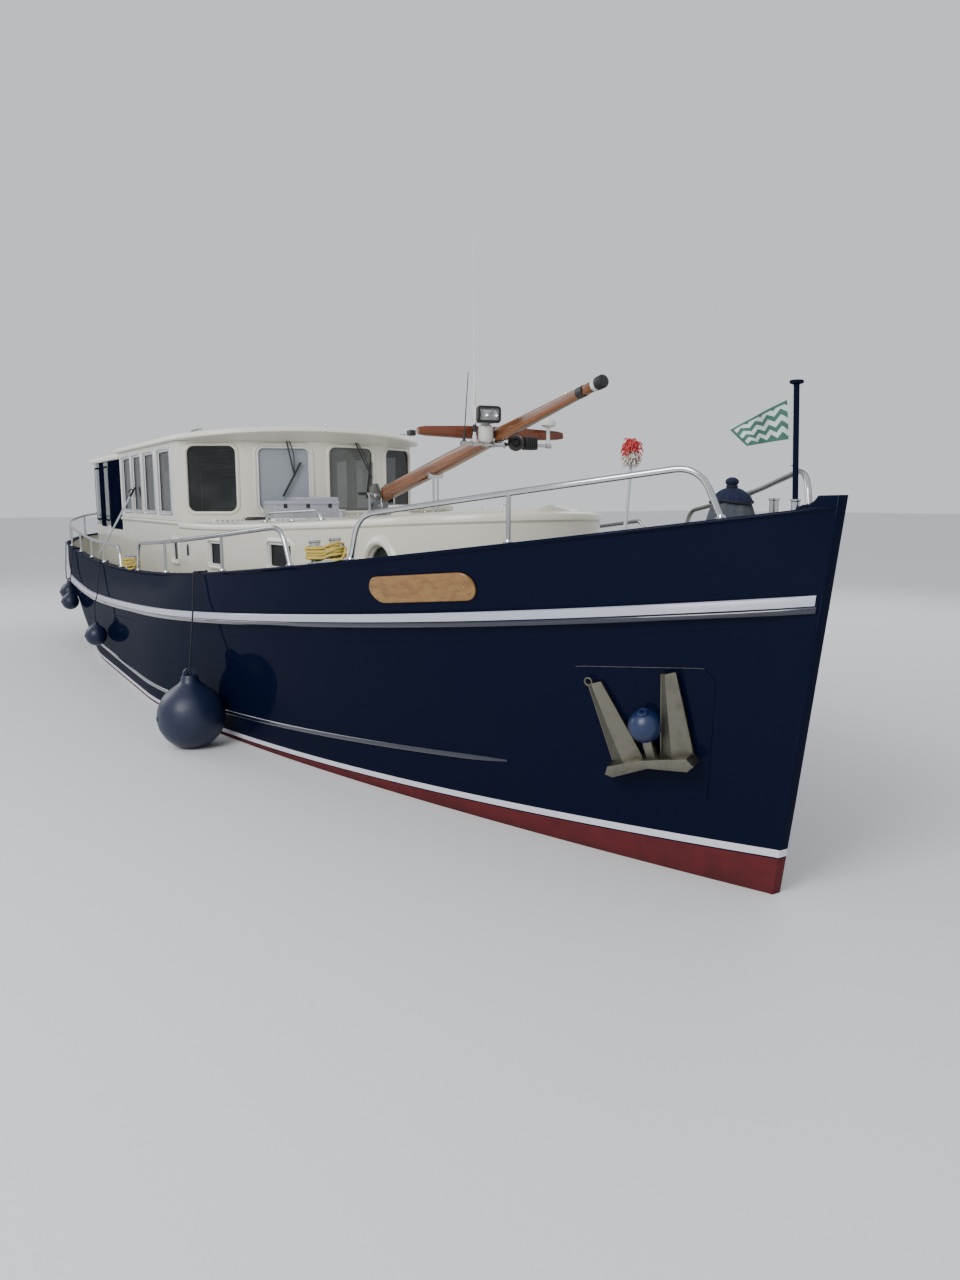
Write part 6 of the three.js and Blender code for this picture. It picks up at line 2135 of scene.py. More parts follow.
@dataclass
class Bollards:
    """Double bollards on the cap, with turns of rope belayed on those to starboard."""

    apart: float = 0.23
    post: float = 0.038
    height: float = 0.165
    rope: float = 0.0105
    lay: float = 0.055
    places: tuple[tuple[str, float, int, bool], ...] = (
        ("fore_starboard", 4.39, STARBOARD, True), ("fore_port", 4.39, PORT, False),
        ("aft_starboard", -0.56, STARBOARD, True), ("aft_port", -0.56, PORT, False))

    def build(self) -> None:
        """Build and dress the bollards."""
        for tail, x, side, roped in self.places:
            spot = cap_place(x, side)
            run = cap_place(x + 0.1, side) - cap_place(x - 0.1, side)
            ahead = run.normalized()
            across = Vector((0, 0, 1)).cross(ahead).normalized()
            over = ahead.cross(across)
            place = framed(ahead, across, over, spot)
            steel = Shape()
            steel.box((-self.apart / 2 - 0.06, -0.042, 0.0), (self.apart / 2 + 0.06, 0.042, 0.014), 0.005,
                      matrix=place)
            for at in (-self.apart / 2, self.apart / 2):
                profile = [(0, 0.01), (0.046, 0.01), (self.post, 0.02), (self.post, self.height - 0.02),
                           (0.044, self.height - 0.014), (0.044, self.height - 0.004), (0.040, self.height),
                           (0, self.height + 0.002)]
                steel.lathe(profile, (at, 0, 0), steps=36, matrix=place)
            steel.rod((-self.apart / 2 - 0.07, 0, 0.105), (self.apart / 2 + 0.07, 0, 0.105), 0.011, chamfer=0.004,
                      steps=16, matrix=place)
            steel.fit(f"bollard_posts_{tail}", Look.STEEL, f"bollard_{tail}")
            if roped:
                self._turns(tail, place)

    def _turns(self, tail: str, place: Matrix) -> None:
        """Add figure-of-eight turns and round turns of yellow rope."""
        rope = Shape()
        half, reach = self.apart / 2, self.post + self.rope + 0.001
        points = []
        loops, per = 6, 40
        for i in range(loops * per + 1):
            angle = 2 * math.pi * i / per
            turn = i / per
            loose = 1.0 + 0.16 * math.sin(turn * 2.3 + 0.7)
            x = (half + reach * 0.95 * loose) * math.cos(angle)
            y = reach * 1.3 * loose * math.sin(2 * angle)
            z = 0.034 + 0.0145 * turn + 0.010 * math.cos(2 * angle) + 0.006 * math.sin(turn * 4.1)
            points.append((x, y, z))
        rope.tube(points, self.rope, 9, lay=self.lay, matrix=place)
        for at, base, count in ((-half, 0.028, 4), (half, 0.028, 4)):
            ring = []
            for i in range(count * 28 + 1):
                angle = 2 * math.pi * i / 28
                swell = 0.010 + 0.005 * math.sin(angle * 0.37 + 9 * at)
                ring.append((at + (reach + swell) * math.cos(angle), (reach + swell) * math.sin(angle),
                             base + 0.0218 * i / 28))
            rope.tube(ring, self.rope, 9, lay=self.lay, matrix=place)
        tail_line = [(half + 0.045, 0.03, 0.05), (half + 0.085, 0.02, 0.085), (half + 0.1, 0.0, 0.06),
                     (half + 0.09, -0.02, 0.02), (half + 0.07, -0.04, 0.012), (half + 0.02, -0.06, 0.012)]
        rope.tube(flowing(tail_line, 8), self.rope, 9, lay=self.lay, matrix=place)
        rope.fit(f"bollard_rope_{tail}", Look.YELLOW_ROPE, smooth=70)


@dataclass
class Anchors:
    """Galvanised anchors lying flukes up against the topsides, each with its float behind."""

    x: float = 6.44
    z: float = 0.64
    cant: float = 13.0
    shift: Pair = (0.09, 0.07)

    def _frame(self) -> Matrix:
        """Return the matrix with u forward, v up and w off the plating."""
        spot = LINES.at(self.x, self.z)
        fore = LINES.at(self.x + 0.05, self.z) - spot
        up = LINES.at(self.x, self.z + 0.4) - spot
        out = fore.cross(up).normalized()
        u = fore.normalized()
        v = out.cross(u)
        turn = Matrix.Rotation(math.radians(self.cant), 4, "Z") @ Matrix.Translation((*self.shift, 0))
        return framed(u, v, out, spot) @ turn

    def build(self) -> None:
        """Build and dress both anchors."""
        for tail, mirror in MIRRORS.items():
            place = mirror @ self._frame()
            metal, blue = Shape(), Shape()
            for side in (-1, 1):
                self._fluke(metal, side, place)
            self._crown(metal, place)
            metal.box((-0.015, -0.03, 0.02), (0.045, 0.12, 0.08), 0.006, matrix=place)
            metal.rod((0, 0.17, -0.06), (0, 0.06, 0.06), 0.03, matrix=place)
            metal.hoop((-0.285, 0.512, 0.045), 0.024, 0.0055, 24, 10, matrix=place)
            metal.fit(f"anchor_flukes_{tail}", Look.GALVANISED, f"anchor_{tail}", smooth=30)
            blue.ball((0.01, 0.195, 0.03), 0.104, 40, 24, matrix=place)
            blue.lathe([(0.012, 0.094), (0.030, 0.098), (0.034, 0.108), (0.028, 0.118), (0.012, 0.116)],
                       (0.01, 0.195, 0.03), (0.25, 0.9, 0.35), 24, closed=True, matrix=place)
            blue.fit(f"anchor_float_{tail}", Look.BLUE_FLOAT)

    def _fluke(self, shape: Shape, side: int, place: Matrix) -> None:
        """Add a tapered fluke, folded along its ridge."""
        rings = []
        for v, half, ridge, centre in ((-0.005, 0.106, 0.046, 0.165), (0.25, 0.075, 0.036, 0.208),
                                       (0.46, 0.051, 0.024, 0.243), (0.50, 0.045, 0.017, 0.250)):
            spine = side * centre - 0.012
            low, high = side * centre - half, side * centre + half
            rings.append([(low, v, 0.024), (spine, v, 0.028 + ridge * 0.5), (high, v, 0.024),
                          (high, v, 0.036), (spine, v, 0.040 + ridge), (low, v, 0.036)])
        shape.loft(rings, matrix=place)
        for u in (-1, 1):
            rings = []
            for v, half, centre in ((-0.005, 0.106, 0.165), (0.50, 0.045, 0.250)):
                low, high = side * centre + u * half - 0.003, side * centre + u * half + 0.003
                rings.append([(low, v, 0.022), (high, v, 0.022), (high, v, 0.040), (low, v, 0.040)])
            shape.loft(rings, matrix=place)

    def _crown(self, shape: Shape, place: Matrix) -> None:
        """Add the boomerang crown plate with its thick lower rim."""
        outline = [(-0.30, -0.062), (-0.265, -0.008), (-0.05, 0.014), (0.05, 0.014), (0.265, 0.006), (0.30, -0.046),
                   (0.25, -0.076), (0, -0.040), (-0.25, -0.084)]
        shape.slab(outline, 0.014, 0.130, 0.007, 2, matrix=place)


@dataclass
class Fenders:
    """Ball fenders on black lines over the cap."""

    balls: tuple[Triple, ...] = ((2.1, 0.29, 0.305), (-2.45, 0.48, 0.137), (-4.9, 0.70, 0.125),
                                                    (-5.8, 0.77, 0.145))
    leans: tuple[float, ...] = (0.3, 0.0, 0.0, 0.0)
    neck: tuple[Pair, ...] = ((0.46, 0.90), (0.33, 0.99), (0.26, 1.08), (0.25, 1.17), (0.21, 1.24), (0, 1.26))
    rope: float = 0.0085
    knot: float = 0.014
    strake_clear: float = 0.0728

    def _side(self, x: float, z: float, radius: float) -> float:
        """Return how far out a ball clears the flare and the rub rail."""
        reach = []
        for along in (-0.5, 0.0, 0.5):
            for i in range(13):
                angle = (i - 6) / 6 * 1.4
                high = z + radius * math.sin(angle)
                rail = 0.022 if abs(high - RUB_LINE.at(x)) < 0.044 else 0.0
                out = radius * math.sqrt(1 - along ** 2) * math.cos(angle)
                reach.append(-LINES.at(x + along * radius, high).y + rail + out)
        return max(reach) + 0.006

    def build(self) -> None:
        """Build and dress the fenders."""
        for number, (spot, lean) in enumerate(zip(self.balls, self.leans), 1):
            side = self._side(*spot)
            self._ball(number, spot, side)
            self._line(number, spot, side, lean)

    def _ball(self, number: int, spot: Triple, side: float) -> None:
        """Add one ball with its neck, its eye and its valve.

        Args:
            number: The fender's number.
            spot: Its place along the hull, its height and its radius.
            side: How far it hangs from the centre line.
        """
        x, z, r = spot
        ball = Shape()
        profile = [(0, -r), *[(r * math.sin(a), -r * math.cos(a)) for a in angles(60, 25)[1:]]]
        profile += [(r * wide, r * high) for wide, high in self.neck]
        ball.lathe(profile, (x, -side, z), steps=48)
        ball.collar(r * 0.10, r * 0.2, -0.012, 0.012, (x, -side, z + r * 1.26), (1, 0, 0))
        ball.lathe([(0, 0), (0.02, 0), (0.018, 0.006), (0, 0.008)], (x, -side - r * 0.999, z), (0, -1, 0), 16)
        ball.fit(f"fender_ball_{number}", Look.FENDER, f"fender_{number}")

    def _line(self, number: int, spot: Triple, side: float, lean: float) -> None:
        """Add one fender's line, from its eye over the strake and the cap.

        Args:
            number: The fender's number.
            spot: Its place along the hull, its height and its radius.
            side: How far it hangs from the centre line.
            lean: How far forward of it the line crosses the cap.
        """
        x, z, r = spot
        mid, top = x + 0.55 * lean, x + lean
        clear = LINES.levels[DECK_LEVEL].breadth(x) + self.strake_clear
        edge = LINES.levels[CAP_LEVEL].breadth(x) + 0.015
        line = [Vector(p) for p in (
            (x, -side, z + r * 1.36), (mid, -max(side, clear), DECK_LINE.at(x) - 0.13),
            (mid + 0.12 * lean, -clear, DECK_LINE.at(x) + 0.012), (top, -edge - 0.012, CAP_LINE.at(top) - 0.04),
            (top, -edge - 0.010, CAP_LINE.at(top) + 0.007), (top, -edge + 0.1, CAP_LINE.at(top) + 0.008))]
        row = []
        for a, b in zip(line, line[1:]):
            steps = max(2, int((b - a).length / 0.02))
            row += [a.lerp(b, k / steps) for k in range(steps)]
        rope = Shape()
        rope.tube([*row, line[-1]], self.rope, 8, lay=0.05)
        rope.hoop(line[0] - Vector((0, 0, 0.012)), 0.02, 0.0065, 16, u=(0, 1, 0), v=(0.4, 0, 1))
        rope.ball(line[0] + Vector((0, 0, self.knot)), self.knot, 14, 10, (1, 1, 1.3))
        rope.ball(line[-1], self.knot, 14, 10, (1.3, 1, 0.9))
        rope.fit(f"fender_line_{number}", Look.BLACK_ROPE, smooth=60)


@dataclass
class WindlassCover:
    """Grey cloth cover over the windlass, gathered at its top with a navy band."""

    x: float = 6.685
    grey: tuple[Pair, ...] = ((0.190, 1.645), (0.188, 1.72), (0.182, 1.84), (0.168, 1.97), (0.152, 2.08),
                                            (0.136, 2.15), (0.114, 2.215), (0.086, 2.258), (0.062, 2.284))
    navy: tuple[Pair, ...] = ((0.124, 2.224), (0.100, 2.262), (0.060, 2.296), (0.029, 2.308),
                                            (0.022, 2.312), (0.030, 2.325), (0.038, 2.342), (0.030, 2.358),
                                            (0.012, 2.368))

    def build(self) -> None:
        self._cloth("windlass_cover", self.grey, 7, 0.045, Look.COVER, "grey_cover", 11)
        self._cloth("windlass_gather", self.navy, 13, 0.05, Look.COVER_NAVY, "navy_canvas", 4)
        cord = Shape()
        for r, z in ((0.029, 2.311), (0.031, 2.316)):
            cord.hoop((self.x, 0, z), r, 0.0045, 32)
        line = [(self.x + 0.124 * math.cos(a), 0.124 * math.sin(a), 2.226 - 0.010 * math.cos(a * 2)) for a in
                angles(40)]
        cord.tube(line, 0.005, 8, cyclic=True)
        cord.fit("windlass_tie", Look.BLACK_ROPE, "windlass", smooth=60)

    def _cloth(self, name: str, profile: Sequence[Pair], folds: int, depth: float, look: Look, slot: str,
               seed: int) -> None:
        """Add one cloth with radial folds.

        Args:
            name: The piece's name.
            profile: Radius and height, from the foot up.
            folds: Number of folds round it.
            depth: Depth of the folds as a share of the radius.
            look: Its finish.
            slot: Its material slot.
            seed: Seed of the folds.
        """
        rng = random.Random(seed)
        phases = [rng.uniform(0, 6.28) for _ in range(3)]
        rows = flowing([(r, 0, z) for r, z in profile], 5)
        rings = []
        for row in rows:
            ring = []
            for k in range(120):
                angle = 2 * math.pi * k / 120
                fold = math.sin(folds * angle + phases[0] + 0.5 * math.sin(angle + phases[1]))
                fold += 0.5 * math.sin((folds * 2 + 1) * angle + phases[2])
                r = row.x * (1 + depth * (fold - 0.4) * 0.66)
                ring.append((self.x + r * math.cos(angle), r * math.sin(angle), row.z))
            rings.append(ring)
        shape = Shape()
        shape.loft(rings, caps=False)
        piece = shape.fit(name, look, slot=slot, smooth=60)


@dataclass
class Ensign:
    """Jackstaff with its truck, halyard and the zigzag flag."""

    x: float = 7.155
    radius: float = 0.0155
    height: float = 0.685
    fly: Pair = (0.245, 0.33)
    hoist: Pair = (2.562, 2.778)
    away: Triple = (-0.509, -0.861, 0.0)

    def _at(self, z: float) -> Vector:
        """Return the staff's centre at a height."""
        foot = CAP_LINE.at(self.x)
        return Vector((self.x - 0.03 * (z - foot) / self.height, 0, z))

    def build(self) -> None:
        """Build and dress the staff and the flag."""
        foot = CAP_LINE.at(self.x)
        head = foot + self.height
        staff, steel = Shape(), Shape()
        staff.rod(self._at(foot - 0.01), self._at(head), self.radius, steps=24)
        staff.lathe([(0, -0.006), (0.02, -0.006), (0.036, 0.0), (0.038, 0.008), (0.034, 0.016), (0, 0.018)],
                    self._at(head), steps=32)
        steel.lathe([(0.0152, -0.004), (0.034, -0.004), (0.034, 0.002), (0.024, 0.008), (0.022, 0.06), (0.027, 0.064),
                     (0.027, 0.074), (0.0152, 0.076)], self._at(foot), steps=32, closed=True)
        cleat = ((-0.016, 0.03, 0.0), (-0.022, 0.01, 0.004), (-0.022, -0.01, 0.004), (-0.016, -0.03, 0.0))
        steel.tube([self._at(foot + 0.25) + Vector(p) for p in cleat], 0.004, 8)
        staff.fit("jackstaff_pole", Look.NAVY, "jackstaff")
        steel.fit("jackstaff_socket", Look.STEEL)
        self._halyard(head, foot)
        self._flag()

    def _halyard(self, head: float, foot: float) -> None:
        """Add the taut halyard from the truck past the hoist to the cleat."""
        line = Shape()
        top, low = self._at(head - 0.004), self._at(foot + 0.25)
        away = Vector(self.away) * 0.019
        points = [top + away, self._at(self.hoist[1]) + away, self._at(self.hoist[0]) + away, low + away * 1.25]
        line.tube(points, 0.0017, 6)
        line.fit("jackstaff_halyard", Look.WHITE_YARN, smooth=60)

    def _flag(self) -> None:
        """Add the flag as a waving sheet with its own map of the cloth."""
        across, down = 44, 26
        away, side = Vector(self.away), Vector((-self.away[1], self.away[0], 0))
        (low, high), (foot_fly, head_fly) = self.hoist, self.fly
        rings = []
        for i in range(across + 1):
            u = i / across
            row = []
            for j in range(down + 1):
                v = j / down
                staff = self._at(low + (high - low) * v)
                reach = (foot_fly + (head_fly - foot_fly) * v) * u
                droop = -(0.038 + 0.13 * v) * (u ** 1.15)
                wave = 0.020 * u * math.sin(9.0 * u + 2.2 * v) + 0.010 * u * math.sin(17 * u - 3 * v)
                row.append(staff + away * (self.radius + reach) + side * wave + Vector((0, 0, droop)))
            rings.append(row)
        shape = Shape()
        shape.loft(rings, closed=False)
        piece = shape.object("flag_cloth", Look.FLAG, 70)
        uv = piece.data.uv_layers.new(name="cloth")
        spots = {tuple(round(c, 5) for c in p): (i / across, j / down) for i, row in enumerate(rings)
                 for j, p in enumerate(row)}
        for loop in piece.data.loops:
            at = tuple(round(c, 5) for c in piece.data.vertices[loop.vertex_index].co)
            uv.data[loop.index].uv = spots[at]
        fitted(piece, YACHT, "flag_cloth", "flag")


@dataclass
class Mop:
    """Deck mop standing in its clip by the fore hatch."""

    place: Pair = (5.3, 0.3)
    strands: int = 360

    def build(self) -> None:
        """Build and dress the mop."""
        x, y = self.place
        foot = DECK_LINE.at(x) + 0.008
        pole, clip = Shape(), Shape()
        top = (x + 0.045, y + 0.055, 2.53)
        pole.rod((x, y, foot), top, 0.0135, chamfer=0.003, steps=20)
        pole.lathe([(0, 0), (0.017, 0), (0.026, 0.03), (0.030, 0.06), (0.02, 0.085), (0, 0.09)],
                   (top[0], top[1], 2.48), steps=24)
        clip.box((x - 0.02, 0.246, 1.60), (x + 0.02, y - 0.008, 1.626), 0.004)
        clip.collar(0.0125, 0.018, -0.012, 0.012, (x, y, 1.613))
        pole.fit("mop_pole", Look.POLE, "mop")
        clip.fit("mop_clip", Look.BLACK)
        self._head(*top[:2])

    def _head(self, x: float, y: float) -> None:
        """Add the head's strands, red above and mostly white below."""
        rng = random.Random(12)
        red, white = Shape(), Shape()
        for k in range(self.strands):
            turn = 2 * math.pi * k * 0.618
            lift = 1.0 - 1.9 * (k / self.strands)
            out = math.sqrt(max(0.05, 1 - lift * lift * 0.8))
            reach = 0.040 + 0.016 * rng.random()
            base = Vector((x, y, 2.585 + 0.045 * lift))
            way = Vector((math.cos(turn) * out, math.sin(turn) * out, lift))
            bend = Vector((rng.uniform(-1, 1), rng.uniform(-1, 1), rng.uniform(-1.2, 0.1))) * 0.018
            tip = base + way * reach + bend
            line = flowing([base, base + way * reach * 0.55 + bend * 0.2, tip,
                            tip + bend * 0.8 + Vector((0, 0, -0.012))], 3)
            thick = [0.0058 * (1 - 0.35 * i / (len(line) - 1)) for i in range(len(line))]
            (red if lift > 0.0 or k % 6 == 0 else white).tube(line, thick, 5)
        red.fit("mop_head_red", Look.RED_YARN, smooth=80)
        white.fit("mop_head_white", Look.WHITE_YARN, smooth=80)


@dataclass
class DeckGear:
    """Fittings on the trunk and the cap: box, hatches, ventilators, deck rings and bow posts."""

    def build(self) -> None:
        """Build and dress the gear."""
        self._box()
        self._hatches()
        self._vents()
        self._bow_posts()

    def _box(self) -> None:
        """Add the grey box with its stepped lid."""
        grey, black = Shape(), Shape()
        z = trunk_rim(0.43)
        grey.box((0.232, -0.713, z), (0.638, 0.028, 2.185), 0.014, 3)
        grey.box((0.228, -0.717, 2.18), (0.644, 0.032, 2.225), 0.012, 3)
        grey.box((0.236, -0.452, 2.21), (0.634, 0.027, 2.268), 0.016, 3)
        for y in (-0.60, -0.34, -0.08):
            black.box((0.634, y - 0.02, 2.15), (0.648, y + 0.02, 2.195), 0.003)
        pad = Matrix.Translation((0.45, -0.87, z + 0.03))
        black.slab(rounded_box(0.30, 0.25, 0.05), 0.0, 0.020, 0.008, matrix=pad)
        black.slab(rounded_box(0.22, 0.17, 0.04), 0.018, 0.032, 0.006, matrix=pad)
        grey.fit("deck_box_shell", Look.GREY_BOX, "deck_box", smooth=30)
        black.fit("deck_box_trim", Look.BLACK)

    def _hatches(self) -> None:
        """Dress the two hatches, with smoked lights let into the lids."""
        for node in ("skylight_coaming", "forehatch_coaming"):
            dressed(node, Look.CREAM)
        for body, node, aft, fore, half, z, thick in (("skylight", "skylight_lid", 2.48, 2.94, 0.23, 2.135, 0.055),
                                                      ("forehatch", "forehatch_lid", 5.26, 5.80, 0.27,
                                                       DECK_LINE.at(5.8) + 0.095, 0.05)):
            lid, glass, steel = Shape(), Shape(), Shape()
            lid.box((aft, -half, z), (fore, half, z + thick), 0.016, 4)
            middle = ((aft + fore) / 2, 0, z + thick)
            plane = Plane(middle, (1, 0, 0), (0, 1, 0)).matrix
            path = rounded_box(fore - aft - 0.12, 2 * half - 0.12, 0.04)
            steel.moulding(path, [(0.0, -0.004), (0.0, 0.003), (0.006, 0.006), (0.018, 0.006), (0.024, -0.001),
                                  (0.024, -0.004)],
                           plane)
            glass.slab(rounded_box(fore - aft - 0.122, 2 * half - 0.122, 0.04), -0.003, 0.004, 0.001, matrix=plane)
            for y in (-half * 0.55, half * 0.55):
                steel.rod((aft + 0.004, y - 0.03, z + 0.008), (aft + 0.004, y + 0.03, z + 0.008), 0.006, steps=14)
                steel.box((fore - 0.02, y - 0.014, z + 0.012), (fore + 0.004, y + 0.014, z + 0.03), 0.004)
            lid.fit(f"{body}_shell", Look.CREAM, node, body=body)
            glass.fit(f"{body}_light", Look.SMOKED, body=body)
            steel.fit(f"{body}_frame", Look.STEEL, body=body)

    def _vents(self) -> None:
        """Add the ventilator strips and deck rings on the trunk's top."""
        white, steel = Shape(), Shape()
        for x, y in ((0.45, -1.18), (1.45, -0.85), (0.45, 1.18), (1.45, 0.85)):
            z = trunk_rim(x) + 0.012
            white.box((x - 0.06, y - 0.17, z - 0.006), (x + 0.06, y + 0.17, z + 0.034), 0.008)
            for k in range(6):
                slot = y - 0.135 + k * 0.054
                steel.box((x + 0.058, slot - 0.014, z + 0.008), (x + 0.063, slot + 0.014, z + 0.026), 0.001)
        for x, y in ((1.15, -0.15), (1.75, 0.35), (3.35, 0.3), (3.35, -0.3), (4.2, 0.0)):
            z = trunk_rim(x) + 0.045
            steel.lathe([(0, -0.02), (0.03, -0.02), (0.03, 0.002), (0.022, 0.008), (0, 0.01)], (x, y, z), steps=28)
            steel.hoop((x, y, z + 0.02), 0.018, 0.004, u=(0, 1, 0), v=(0, 0, 1))
        white.fit("trunk_vents", Look.WHITE_PLASTIC, slot="cream_paint")
        steel.fit("trunk_fittings", Look.STEEL)

    def _bow_posts(self) -> None:
        """Add the short bow posts on the cap."""
        steel, black = Shape(), Shape()
        foot = cap_place(6.31, PORT, -0.002)
        black.lathe([(0, 0), (0.044, 0), (0.032, 0.012), (0.030, 0.09), (0, 0.09)], foot, steps=28)
        steel.lathe([(0, 0.088), (0.030, 0.088), (0.030, 0.19), (0.036, 0.195), (0.036, 0.207), (0, 0.21)], foot,
                    steps=28)
        black.fit("bow_post_feet", Look.BLACK)
        steel.fit("bow_posts", Look.STEEL)


@dataclass
class Boards:
    """Blank varnished boards on the bulwark, with their screws."""

    aft: float = 4.76
    fore: float = 5.59
    middle: float = 1.628
    slope: float = 0.093
    tall: float = 0.182
    end: float = 0.091

    def _height(self, x: float) -> float:
        """Return the height of the board's middle line."""
        return self.middle + self.slope * (x - self.aft)

    def build(self) -> None:
        """Build and dress the boards."""
        wood, screws = Shape(), Shape()
        for mirror in MIRRORS.values():
            rings = []
            steps = 40
            for i in range(steps + 1):
                u = 0.5 - 0.5 * math.cos(math.pi * i / steps)
                x = self.aft + (self.fore - self.aft) * u
                edge = min(x - self.aft, self.fore - x)
                half = self.tall / 2
                if edge < self.end:
                    half -= self.end - math.sqrt(max(0.0, self.end ** 2 - (self.end - edge) ** 2))
                rings.append(self._section(x, half, edge))
            wood.loft(rings, matrix=mirror)
            for x in (self.aft + 0.075, self.fore - 0.075):
                spot, out = self._surface(x, self._height(x))
                screws.lathe([(0, 0), (0.0085, 0), (0.0075, 0.0025), (0, 0.0035)], mirror @ (spot + out * 0.0172),
                             mirror.to_3x3() @ out, 18)
        wood.fit("name_boards", Look.BOARD)
        screws.fit("name_board_screws", Look.BRONZE)

    def _surface(self, x: float, z: float) -> tuple[Vector, Vector]:
        """Return the plating and its outward direction."""
        spot = LINES.at(x, z)
        ahead = LINES.at(x + 0.04, z) - spot
        above = LINES.at(x, z + 0.04) - spot
        return spot, ahead.cross(above).normalized()

    def _section(self, x: float, half: float, edge: float) -> list[Vector]:
        """Return one upright section of the board."""
        middle = self._height(x)
        ease = min(0.006, edge * 0.5 + 0.001)
        row = []
        for dz, out in ((-half, 0.004), (-half, 0.018 - ease), (-half + ease, 0.018), (0, 0.018), (half - ease, 0.018),
                        (half, 0.018 - ease), (half, 0.004), (0, 0.002)):
            spot, off = self._surface(x, middle + dz)
            row.append(spot + off * out)
        return row


@dataclass
class Helm:
    """Helm console dressing, wheel and the padded seat."""

    x: float = -1.8
    y: float = -0.75
    inset: float = 0.008
    grid: float = 0.012
    swell: float = 0.012
    steps: int = 15

    def build(self) -> None:
        """Build and dress the helm."""
        dressed("helm_console", Look.BOARD)
        self._wheel()
        self._dials()
        self._seat()

    def _wheel(self) -> None:
        """Add the wheel with its turned rim, spokes and hub."""
        wood, steel = Shape(), Shape()
        centre = (-1.035, self.y, 1.70)
        rim = [(0.23 + 0.016 * math.cos(a), 0.016 * math.sin(a)) for a in angles(12)]
        wood.lathe(rim, centre, (1, 0, 0), 56, closed=True)
        for k in range(6):
            a = k * math.pi / 3
            way = Vector((0, math.cos(a), math.sin(a)))
            wood.lathe([(0, 0.03), (0.010, 0.03), (0.014, 0.09), (0.009, 0.13), (0.013, 0.18), (0.009, 0.222),
                        (0, 0.222)],
                       centre, way, 14)
        steel.lathe([(0, -0.025), (0.022, -0.025), (0.038, -0.012), (0.038, 0.03), (0.026, 0.045), (0, 0.045)], centre,
                    (1, 0, 0), 32)
        wood.fit("wheel_rim", Look.WOOD, "helm_wheel", body="helm")
        steel.fit("wheel_hub", Look.STEEL, body="helm")

    def _dials(self) -> None:
        """Add blank dials and the throttle on the console."""
        rims, faces = Shape(), Shape()
        tilt = Plane((-0.84, self.y, 1.9325), (0, -1, 0), (0.4, 0, 0.92)).matrix
        for k in (-1, 0, 1):
            rims.lathe([(0.036, -0.004), (0.046, -0.004), (0.046, 0.008), (0.040, 0.012), (0.036, 0.008)],
                       (k * 0.12, 0, 0), steps=32, closed=True, matrix=tilt)
            faces.lathe([(0, -0.003), (0.0375, -0.003), (0.0375, 0.005), (0, 0.005)], (k * 0.12, 0, 0), steps=32,
                        matrix=tilt)
        rims.rod((-0.80, self.y - 0.33, 1.94), (-0.84, self.y - 0.33, 2.06), 0.008, steps=14)
        faces.ball((-0.842, self.y - 0.33, 2.066), 0.018, 20, 14)
        rims.fit("dial_rims", Look.STEEL)
        faces.fit("dial_faces", Look.BLACK)

    def _seat(self) -> None:
        """Add the seat's post and frame, and its two cushions."""
        frame_part = Shape()
        floor = DECK_LINE.at(self.x) + 0.001
        frame_part.lathe([(0, 0), (0.19, 0), (0.19, 0.012), (0.10, 0.03), (0.05, 0.06), (0.04, 0.09), (0.04, 0.50),
                          (0.09, 0.512), (0.09, 0.52), (0, 0.52)], (self.x, self.y, floor), steps=40)
        frame_part.box((-2.02, self.y - 0.2, 1.475), (-1.60, self.y + 0.2, 1.50), 0.006)
        for side in (-0.12, 0.12):
            frame_part.tube(bent([(-1.9, self.y + side, 1.487), (-2.085, self.y + side, 1.487),
                                  (-2.10, self.y + side, 1.9)], 0.06),
                            0.012, 12)
        frame_part.fit("seat_frame", Look.STEEL, "helm_seat")
        for name, low, high in (("seat_cushion", (-2.025, self.y - 0.225, 1.502), (-1.585, self.y + 0.225, 1.59)),
                                ("seat_back_cushion", (-2.092, self.y - 0.215, 1.60), (-2.018, self.y + 0.215, 2.01))):
            piece = fitted(self._cushion(name, low, high), YACHT, "seat_vinyl")

    def _cushion(self, name: str, low: Point, high: Point) -> bpy.types.Object:
        """Return a cushion blown up by a short cloth simulation.

        Args:
            name: The piece's name.
            low: Its lowest corner.
            high: Its highest corner.
        Returns:
            The cushion, not yet riding on a body.
        """
        shape = Shape()
        shape.box([c + self.inset for c in low], [c - self.inset for c in high], 0.022, 4)
        piece = shape.object(name, Look.SEAT, 60)
        rebuilt = piece.modifiers.new("even", "REMESH")
        rebuilt.mode = "VOXEL"
        rebuilt.voxel_size = self.grid
        applied(piece)
        rest = [v.co.copy() for v in piece.data.vertices]
        cloth = piece.modifiers.new("swell", "CLOTH")
        cloth.settings.use_pressure = True
        cloth.settings.uniform_pressure_force = 4
        cloth.settings.effector_weights.gravity = 0
        for step in range(self.steps):
            bpy.context.scene.frame_set(step + 1)
        applied(piece)
        for vert, was in zip(piece.data.vertices, rest):
            move = vert.co - was
            if move.length > self.swell:
                vert.co = was + move * (self.swell / move.length)
            vert.co = Vector([min(max(c, a - 0.002), b + 0.002) for c, a, b in zip(vert.co, low, high)])
        bpy.context.scene.frame_set(1)
        soft = piece.modifiers.new("smooth", "SUBSURF")
        soft.levels = soft.render_levels = 1
        applied(piece)
        soften(piece, 80)
        piece.data.materials.clear()
        piece.data.materials.append(Look.SEAT.material())
        return piece


